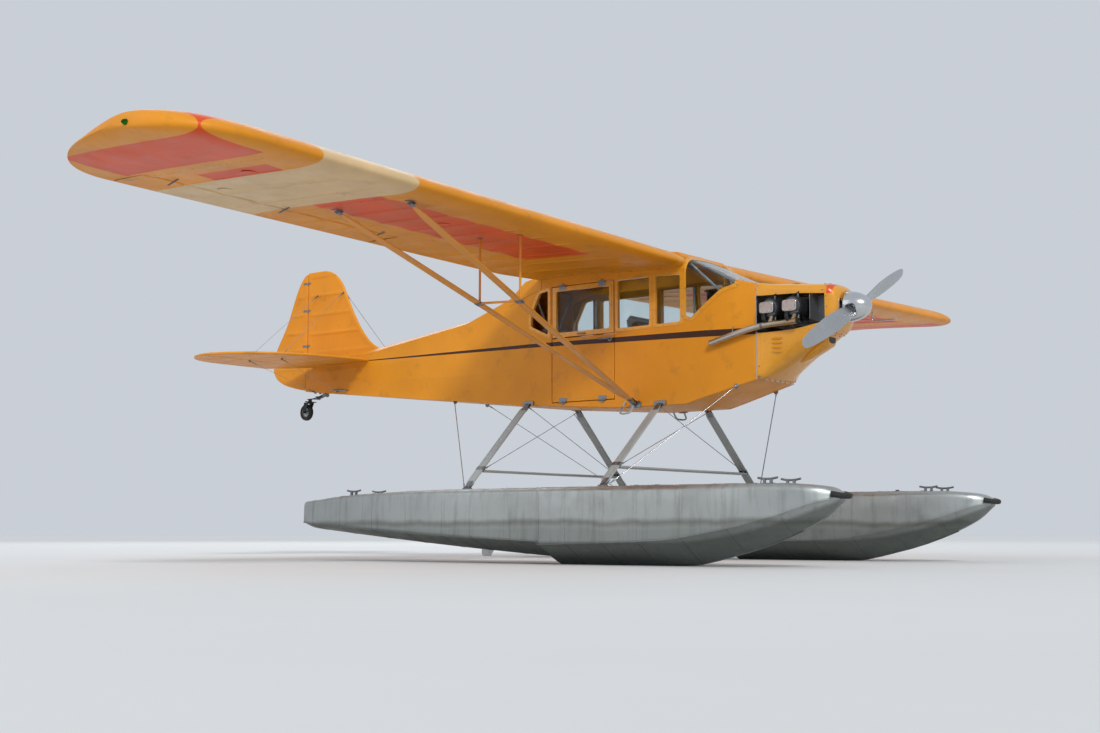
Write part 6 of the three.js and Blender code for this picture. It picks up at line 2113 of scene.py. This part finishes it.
def make_belt(label, cushion, back, pan):
    """A lap belt that lies on the cushion, buckled in the middle."""
    x = back + 150
    lain = lay_on(cushion, [(x + 30 * math.sin(math.pi * (y + 180) / 360), y, pan + 200)
                            for y in evenly(-176, 176, 23)])
    starboard = [(x - 56, -201, pan + 4), (x - 30, -200, pan + 44), *(p for p in lain if p.y < -8)]
    port = [*(p for p in lain if p.y > 8), (x - 30, 200, pan + 44), (x - 56, 201, pan + 4)]
    piece(f"{label}_belt", strap(curved(starboard, 2)) + strap(curved(port, 2)), WEBBING, edge=50)
    middle = lain[len(lain) // 2]
    # Columns: half length, the two ends across, corner, bottom, top
    parts = ((27, -34, 34, 8, 1, 9), (20, 30, 52, 5, 2, 5), (20, -24, 14, 6, 9, 12))
    buckle = joined(plate(middle.x - half, middle.x + half, y0, y1, corner, "z", middle.z + low,
                          middle.z + high)
                    for half, y0, y1, corner, low, high in parts)
    piece(f"{label}_buckle", buckle, POLISHED, bevel=1.2)


PANEL_X = 167
# Columns: y, z, radius
GAUGES = [(-196, -318, 38), (-98, -318, 40), (0, -318, 40), (98, -318, 40), (196, -318, 38), (-150, -414, 28),
          (-76, -414, 28), (0, -414, 34), (84, -414, 28), (150, -414, 28)]
SWITCH_Z = -470


def gauge(y, z, radius):
    """A round instrument in the panel: bezel, face, marks and a pointer."""
    x, back = PANEL_X, (-1, 0, 0)
    profile = [(0, radius - 3), (0, radius + 5), (4, radius + 4), (5, radius), (2, radius - 3)]
    bezel = turned(profile, (x + 1, y, z), back, 32, loop=True)
    face = disc((x + 0.5, y, z), back, radius - 2, 1.6, 32)
    marks = Shape()
    for i in [*range(10), *range(11, 20)]:
        long = radius * (0.26 if i % 5 == 0 else 0.14)
        turn = Matrix.Translation((x - 1.3, y, z)) @ Matrix.Rotation(2 * math.pi * i / 20, 4, "X")
        marks += block(-0.5, 0.1, -0.7, 0.7, radius * 0.9 - long, radius * 0.9).put(turn)
    turn = Matrix.Translation((x - 1.8, y, z)) @ Matrix.Rotation((y * 0.05 + z * 0.031) % 5, 4, "X")
    pointer = [(-1.6, -8), (1.6, -8), (0.5, radius * 0.74), (-0.5, radius * 0.74)]
    marks += prism(pointer, "x", -0.6, 0.2).put(turn)
    return bezel, face, marks + disc((x - 1.3, y, z), back, 4, 2, 14)


def make_panel():
    refined("instrument_panel", PANEL, 1.5)
    bezels, faces, marks = (joined(parts) for parts in zip(*(gauge(*place) for place in GAUGES)))
    piece("gauge_bezels", bezels, BLACK)
    piece("gauge_faces", faces, DIAL)
    piece("gauge_marks", marks, WHITE)
    switches, back = Shape(), (-1, 0, 0)
    for y, tip in zip(evenly(-220, -130, 4), (-8, 8, -8, 8)):
        switches += disc((168, y, SWITCH_Z), back, 8, 3, 8)
        switches += tube([(166, y, SWITCH_Z), (150, y, SWITCH_Z + tip)], 2.6, 8)
    piece("panel_switches", switches, FITTING, bevel=0.4)
    knob = [(0, 3), (22, 3), (22, 11), (26, 13), (34, 12), (37, 8)]
    piece("panel_knobs", joined(spun(knob, (168, y, SWITCH_Z), back) for y in (120, 160, 200)), BLACK)
    corners = ((-276, -490), (276, -490), (276, -244), (-276, -244), (-276, -490))
    rim = [((PANEL_X + 0.2, y, z), back) for y, z in corners]
    rows_of("screw", "panel_screws", [rim], 92, 8, FITTING)
    brow = ((-282, -234), (-200, -222), (0, -218), (200, -222), (282, -234))
    rings = [[(x, y, z - drop) for y, z in brow]
             for x, drop in ((140, 14), (150, 4), (170, 0), (260, -2), (440, 2))]
    piece("panel_shade", loft(rings, closed=False, ends=False), BLACK, thickness=5, bevel=1.5)
    case = spun([(-26, 24), (-20, 30), (20, 30), (26, 24)], (205, 0, -186), UP, 24)
    piece("compass_case", case + block(196, 216, -12, 12, -224, -208), BLACK, bevel=1)
    piece("compass_window", disc((176.5, 0, -186), back, 19, 2, 20), DIAL)


STICK_XS = (-60, -960)
PEDAL_XS = (240, -660)
THROTTLE_XS = (-90, -900)


def make_sticks():
    """Two control sticks on one shaft, with ribbed grips and cloth boots."""
    floor = floor_at(-1000) + 2
    grips, boots = Shape(), Shape()
    sticks = tube([(20, 0, floor + 34), (-1010, 0, floor + 26)], 15, 20)
    ribs = [step for i in range(5) for step in ((6 + 20 * i, 15.5), (16 + 20 * i, 13.2))]
    grip = [(0, 0), (0, 12), *ribs, (108, 16), (118, 15), (124, 9), (125, 0)]
    boot = [(0, 40), (0, 46), (6, 46), (18, 34), (24, 37), (36, 26), (42, 29), (56, 18), (60, 12), (60, 8),
            (3, 8), (3, 40)]
    for x in STICK_XS:
        base, top = Vector((x, 0, floor + 30)), Vector((x - 20, 0, -680))
        bend = along(base, top, 0.35) + Vector((16, 0, 0))
        run = (top - bend).normalized()
        sticks += tube(curved([base, bend, top], 8), 9, 14)
        sticks += block(x - 30, x + 30, -28, 28, floor - 1, floor + 20)
        grips += turned(grip, top - run * 120, run, 20)
        boots += turned(boot, (x, 0, floor + 18), UP, 28, loop=True)
    piece("stick_tubes", sticks, PAINT_BLACK, stands_for=["control_sticks"], bevel=1)
    piece("stick_grips", grips, TYRE, edge=50)
    piece("stick_boots", boots, CANVAS, edge=60)


def make_pedals():
    pedals = Shape()
    for x in PEDAL_XS:
        level = floor_at(x) + 12
        for y in (-190, -70, 70, 190):
            hoop = [(x, y - 36, level), (x + 30, y - 36, level + 138), (x + 30, y + 36, level + 138),
                    (x, y + 36, level)]
            pedals += tube(hoop, 7, 10)
            pedals += tube([(x + 16, y - 32, level + 80), (x + 16, y + 32, level + 80)], 6, 10)
        pedals += tube([(x, -236, level), (x, 236, level)], 9)
    piece("rudder_pedals", pedals, TUBE_PAINT, edge=60)


def make_wall_levers():
    """Throttles on the port wall, joined by a rod, and the trim crank."""
    quadrant, levers, balls, rod_ends = Shape(), Shape(), Shape(), []
    ball = [(-12, 6), (-6, 12), (0, 13.5), (6, 12), (12, 6)]
    for x in THROTTLE_XS:
        wall = wall_y(x) - WALL
        quadrant += pad(62, 40, 3, "y", wall - 9, wall - 2, (x, 0, -590), 28)
        top = (x + 26, wall - 44, -506)
        levers += tube(curved([(x, wall - 10, -596), (x + 10, wall - 34, -560), top], 5), 4, 8)
        balls += turned([(-13, 0), *ball, (13, 0)], top, UP, 20)
        rod_ends.append((x, wall - 16, -610))
    piece("throttle_quadrants", quadrant, PAINT_BLACK, bevel=1)
    piece("throttle_levers", levers + tube(rod_ends, 4, 8), FITTING)
    piece("throttle_knobs", balls, BLACK)
    inward, y = (0, -1, 0), wall_y(-320) - WALL - 12
    crank = disc((-330, y + 9, -640), inward, 44, 8, 28) + tube([(-330, y, -640), (-330, y, -602)], 5, 8)
    piece("trim_crank", crank, FITTING, bevel=1)
    piece("trim_knob", spun([(0, 8), (22, 9), (26, 6)], (-330, y, -602), inward, 16), RED_PLASTIC)


def inner_wall(x, gap=0.0):
    return wall_y(x) - WALL - gap


def make_cabin_lining():
    boards = Shape()
    for ends in ((560, 2), (-2, -598), (-602, -1600)):
        rings = []
        for x in ends:
            half, z = 286 - max(x, 0) * 0.09, floor_at(x)
            rings.append([(x, -half, z + 0.6), (x, half, z + 0.6), (x, half, z + 5), (x, -half, z + 5)])
        boards += loft(rings)
    piece("floor_boards", boards, WOOD, bevel=1)
    lines = [[((x, y, floor_at(x) + 5), UP) for x in evenly(-10, -1580, 12)] for y in (-270, 270)]
    rows_of("screw", "floor_screws", lines, 120, 9, FITTING)
    for side, label in SIDES:
        rings = []
        for x in evenly(560, -690 if side < 0 else -1590, 12):
            corners = ((0.8, -516), (0.8, floor_at(x) + 12), (4, floor_at(x) + 12), (4, -516))
            rings.append([(x, side * inner_wall(x, gap), z) for gap, z in corners])
        piece(f"side_lining_{label}", loft(rings), CANVAS, bevel=1)
    y, rings = -inner_wall(70, 5), []
    for t in evenly(0, 1, 9):
        swell = math.sin(math.pi * t)
        section = ((0, -640), (14 * swell + 4, -650), (30 * swell + 4, -760), (4, -840), (0, -840))
        rings.append([(-40 + 220 * t, y + bulge, z) for bulge, z in section])
    piece("map_pocket", loft(rings), CANVAS, edge=60)

    # Columns: x, drop below the roof
    tubes = joined(tube([(x, -300, roof_z(x) - drop), (x, 300, roof_z(x) - drop)], 11, 14)
                   for x, drop in ((-320, 52), (-780, 52), (-1300, 60)))
    side_tubes = Shape()
    for x, z in ((-315, -100), (-1352, -110)):
        y = inner_wall(x, 14)
        side_tubes += tube([(x, y, z), (x, y, floor_at(x) + 6)], 10)
    front_y, rear_y = inner_wall(560, 16), inner_wall(-315, 16)
    side_tubes += tube([(-315, rear_y, -505), (560, front_y, -505)], 9)
    side_tubes += tube([(-30, inner_wall(-30, 16), -500), (-315, rear_y, floor_at(-315) + 16)], 9)
    tubes += both_sides(side_tubes)
    tubes += tube([(-1610, -280, -60), (-1610, 280, -980)], 10)
    tubes += tube([(-1618, 280, -60), (-1618, -280, -980)], 10)
    piece("cabin_tubes", tubes, TUBE_PAINT, edge=60)

    half, bottom, shoulder, ridge = body_row(-2330)
    half -= 26
    right = [(half, bottom + 30), (half, shoulder - 20), (half * 0.3, ridge - 26)]
    bulkhead = prism([(-half, bottom + 30), *right, *((-a, b) for a, b in right[:0:-1])], "x", -2336, -2330)
    rings = []
    for x in (-1656, -2328):
        half, bottom = body_row(x)[0] - 26, body_row(x)[1] + 26
        rings.append([(x, -half, bottom), (x, half, bottom), (x, half, bottom + 5), (x, -half, bottom + 5)])
    piece("baggage_bulkhead", bulkhead, CANVAS, bevel=1)
    piece("baggage_floor", loft(rings), WOOD, bevel=1)
    sight = tube([(-420, 292, 30), (-420, 292, -60)], 5, 10)
    piece("fuel_sight_tubes", both_sides(sight), CLEAR)


# Small fittings on wings and body

# Round cloth covers under the wing, as x and y
COVER_SPOTS = [(-1180, 2120), (-620, 2560), (-1190, 2900), (-600, 3650), (-1180, 4100), (-620, 4380),
               (-1210, 1250)]
TANK_SHARES, TANK_YS = (0.14, 0.62), (470, 1010)
TIP_LIGHT_X = -560
AILERON_HINGE_YS = (2560, 3510, 4470)
PITOT = (-150, 3360)


def make_wing_fittings():
    """Cloth covers, fuel caps and tank covers, tip lights, aileron brackets and the pitot tube."""
    covers, rims = Shape(), []
    for x, y in COVER_SPOTS:
        place, facing = skin_spot(y, -x / CHORD, -1)
        covers += disc(place - facing * 0.5, facing, 58, 2.6, 32)
        rims.append(around(place + facing * 2, facing, 50))
    pair("wing_covers", covers, CLOTH["wing"], bevel=0.6)
    pair_of_rows("rivet", "wing_cover_rivets", rims, 39, 5, PAINT)

    top, facing = skin_spot(640, 0.3, 1)
    cap = disc(top - facing * 2, facing, 40, 9, 32) + disc(top + facing * 6, facing, 30, 9, 12)
    pair("fuel_cap", cap + tube([top + facing * 14, top + facing * 70], 2, 8), FITTING, bevel=1)
    seam = [[skin_spot(y, share, 1, 1.2) for share in evenly(*TANK_SHARES, 12)] for y in TANK_YS]
    seam += [[skin_spot(y, share, 1, 1.2) for y in evenly(*TANK_YS, 12)] for share in TANK_SHARES]
    pair_of_rows("screw", "tank_cover_screws", seam, 60, 8, FITTING)

    tip, z = SPAN / 2, wing_plan(SPAN / 2 - 4)[3] + SPAN / 2 * DIHEDRAL + 6
    lens = [(-34, 0), (-30, 10), (-16, 17), (0, 20), (0, 0)]
    light = turned(lens, (TIP_LIGHT_X, tip - 8, z), (0, -1, 0), 20)
    for (side, label), glass in zip(SIDES, (RED_LENS, GREEN_LENS)):
        piece(f"tip_light_{label}", on_side(light, side), glass)
    base = spun([(0, 22), (14, 24), (18, 20)], (TIP_LIGHT_X, tip - 10, z), (0, -1, 0))
    pair("tip_light_base", base, FITTING, bevel=0.6)

    hinge, r, brackets = AILERON["hinge"], NOSE_RADIUS, Shape()
    for y in AILERON_HINGE_YS:
        z, low = y * DIHEDRAL + HINGE_HEIGHT, wing_point(y, BAY_SHARE - 0.03, -1).z
        outline = [(hinge + r + 60, low + 2), (hinge - 8, z - r - 22), (hinge + 14, z - r - 28),
                   (hinge + r + 80, low - 6)]
        brackets += prism(outline, "y", y - 3, y + 3)
    pair("aileron_brackets", brackets, FITTING, bevel=0.8)
    (x, y), z = PITOT, wing_underside(*PITOT)
    bend = [(x, y, z + 2), (x, y, z - 70), (x + 40, y, z - 92), (x + 260, y, z - 92)]
    piece("pitot_tube", tube(curved(bend, 8), 7), POLISHED)


# Stations of the fairing behind the cabin roof: x, and how far it stands off the form below
FAIRING = ((-1470, 3.5), (-1560, 3.5), (-1652, 3.5), (-1760, 2.0), (-1850, 1.0))
RUDDER_HINGE_ZS = (-300, 60, 340)


def fairing_side(x, grow):
    """Half a section of the fairing, from its lower edge up and inward, as (across, up) pairs."""
    if x > CABIN_END_X:
        half, top, corner = wall_y(x) + grow, roof_z(x) + grow, 10
        return [(half, top - 130), (half, top - corner - 40), (half, top - corner), (half - corner, top),
                (half * 0.6, top), (half * 0.3, top)]
    half, _, shoulder, ridge = (value + grow for value in body_row(x))
    blend = ease(-x, 1640, 1860)
    flat = (1 - blend) * half * 0.96 + blend * half * 0.3
    corner = shoulder + (ridge - shoulder) * (1 - blend) * 0.9
    return [(half, shoulder - 60), (half, shoulder - 8), (half, corner), (flat, ridge), (flat * 0.6, ridge),
            (flat * 0.3, ridge)]


def make_body_fittings():
    """The fairing behind the cabin, boarding steps, cloth covers, lifting handles and the rudder's hinges."""
    rings = []
    for x, grow in FAIRING:
        side = fairing_side(x, grow)
        rings.append([(x, y, z) for y, z in [*side, (0, side[-1][1]), *((-y, z) for y, z in reversed(side))]])
    fairing = loft(rings, closed=False, ends=False)
    piece("roof_fairing", fairing, CLOTH["body"], edge=50, thickness=2.5)
    rung = [(-590, 0, -1100), (-590, 70, -1190), (-560, 96, -1206), (-520, 96, -1206), (-490, 70, -1190),
            (-490, 0, -1100)]
    y = wall_y(-560) - 2
    step = tube(curved([(x, y + out, z) for x, out, z in rung], 5), 8, 10)
    piece("boarding_steps", both_sides(step), TUBE_PAINT)
    covers = joined(disc((x, body_row(x)[0] - 1, z), ACROSS, 50, 3.2, 28)
                    for x, z in ((-3900, -640), (-4300, -630)))
    piece("body_covers", both_sides(covers), CLOTH["tail"], bevel=0.6)
    grip = ((-4080, -2, -790), (-4080, 26, -792), (-4260, 30, -782), (-4260, -2, -780))
    handle = tube(curved([(x, body_row(x)[0] + out, z) for x, out, z in grip], 6), 7, 10)
    piece("tail_handles", both_sides(handle), FITTING)
    lugs, barrels = Shape(), Shape()
    for z in RUDDER_HINGE_ZS:
        lugs += block(TAIL_POST_X - 7, TAIL_POST_X + 10, -5, 5, z - 10, z + 10)
        lugs += both_sides(block(TAIL_POST_X - 1, TAIL_POST_X + 34, 12.6, 15.4, z - 11, z + 11))
        barrels += spun([(-13, 12), (-11, 14.5), (11, 14.5), (13, 12)], (RUDDER_HINGE_X, 0, z), UP)
        barrels += both_sides(block(RUDDER_HINGE_X - 44, RUDDER_HINGE_X, 12.2, 14.4, z - 10, z + 10))
    piece("fin_hinges", lugs, FITTING, bevel=0.8)
    piece("rudder_hinges", barrels, FITTING, "rudder", bevel=0.8)


# Studio, in metres

FLOOR_HALF = 60
PAPER, SKY, SKY_STRENGTH = rgb(0xD6D7D6), rgb(0xDCE2EA), 0.82
LIT_POINT = Vector((0, 0, 1.2))
# Columns: name, kind, place, width or angle, power
LAMPS = (
    ("key", "SUN", (9, -8, 9), 0.22, 1.7),
    ("fill", "AREA", (-6, -16, 9), 14, 420),
    ("back", "AREA", (-14, 12, 14), 14, 900),
)
CAMERA = {"azimuth": 38, "distance": 13.5, "height": 0.25, "aim": (0.05, 0.0, 1.7), "lens": 50}


def facing(place, point):
    """The turn that points a lamp or camera at a point."""
    return (Vector(point) - Vector(place)).to_track_quat("-Z", "Y").to_euler()


def make_stage():
    """A pale floor, soft light from large panels and a camera at floor level."""
    mesh, size = bpy.data.meshes.new("floor"), FLOOR_HALF
    mesh.from_pydata([(-size, -size, 0), (size, -size, 0), (size, size, 0), (-size, size, 0)], [],
                     [(0, 1, 2, 3)])
    floor = shown("floor", mesh)
    paper = Recipe("floor_paper", "", 0.85)
    paper.color(paper.mottled(PAPER, 0.015, 0.4))
    mesh.materials.append(paper.material)

    world = bpy.data.worlds.new("studio")
    world.use_nodes = True
    sky = world.node_tree.nodes["Background"].inputs
    sky["Color"].default_value, sky["Strength"].default_value = SKY, SKY_STRENGTH
    bpy.context.scene.world = world
    bpy.context.scene.view_settings.view_transform = "Standard"

    for name, kind, place, wide, power in LAMPS:
        light = bpy.data.lights.new(name, kind)
        light.energy = power
        if kind == "SUN":
            light.angle = wide
        else:
            light.shape, light.size = "SQUARE", wide
        lamp = shown(name, light)
        lamp.location, lamp.rotation_euler = place, facing(place, LIT_POINT)

    azimuth, distance = math.radians(CAMERA["azimuth"]), CAMERA["distance"]
    place = Vector((math.sin(azimuth) * distance, -math.cos(azimuth) * distance, CAMERA["height"]))
    camera = shown("camera", bpy.data.cameras.new("camera"))
    camera.location, camera.rotation_euler = place, facing(place, CAMERA["aim"])
    camera.data.lens, camera.data.clip_end = CAMERA["lens"], 200
    bpy.context.scene.camera = camera


make_stage()
make_wings()
make_tail()
make_rear_fuselage()
make_floats()
make_wing_struts()
make_float_frames()
make_tail_wires()
make_cabin()
make_windshield()
make_doors()
make_cowling()
make_nose_bowl()
make_propeller()
make_engine()
make_exhausts()
make_tailwheel()
make_water_rudder()
make_seats()
make_panel()
make_sticks()
make_pedals()
make_wall_levers()
make_cabin_lining()
make_wing_fittings()
make_body_fittings()
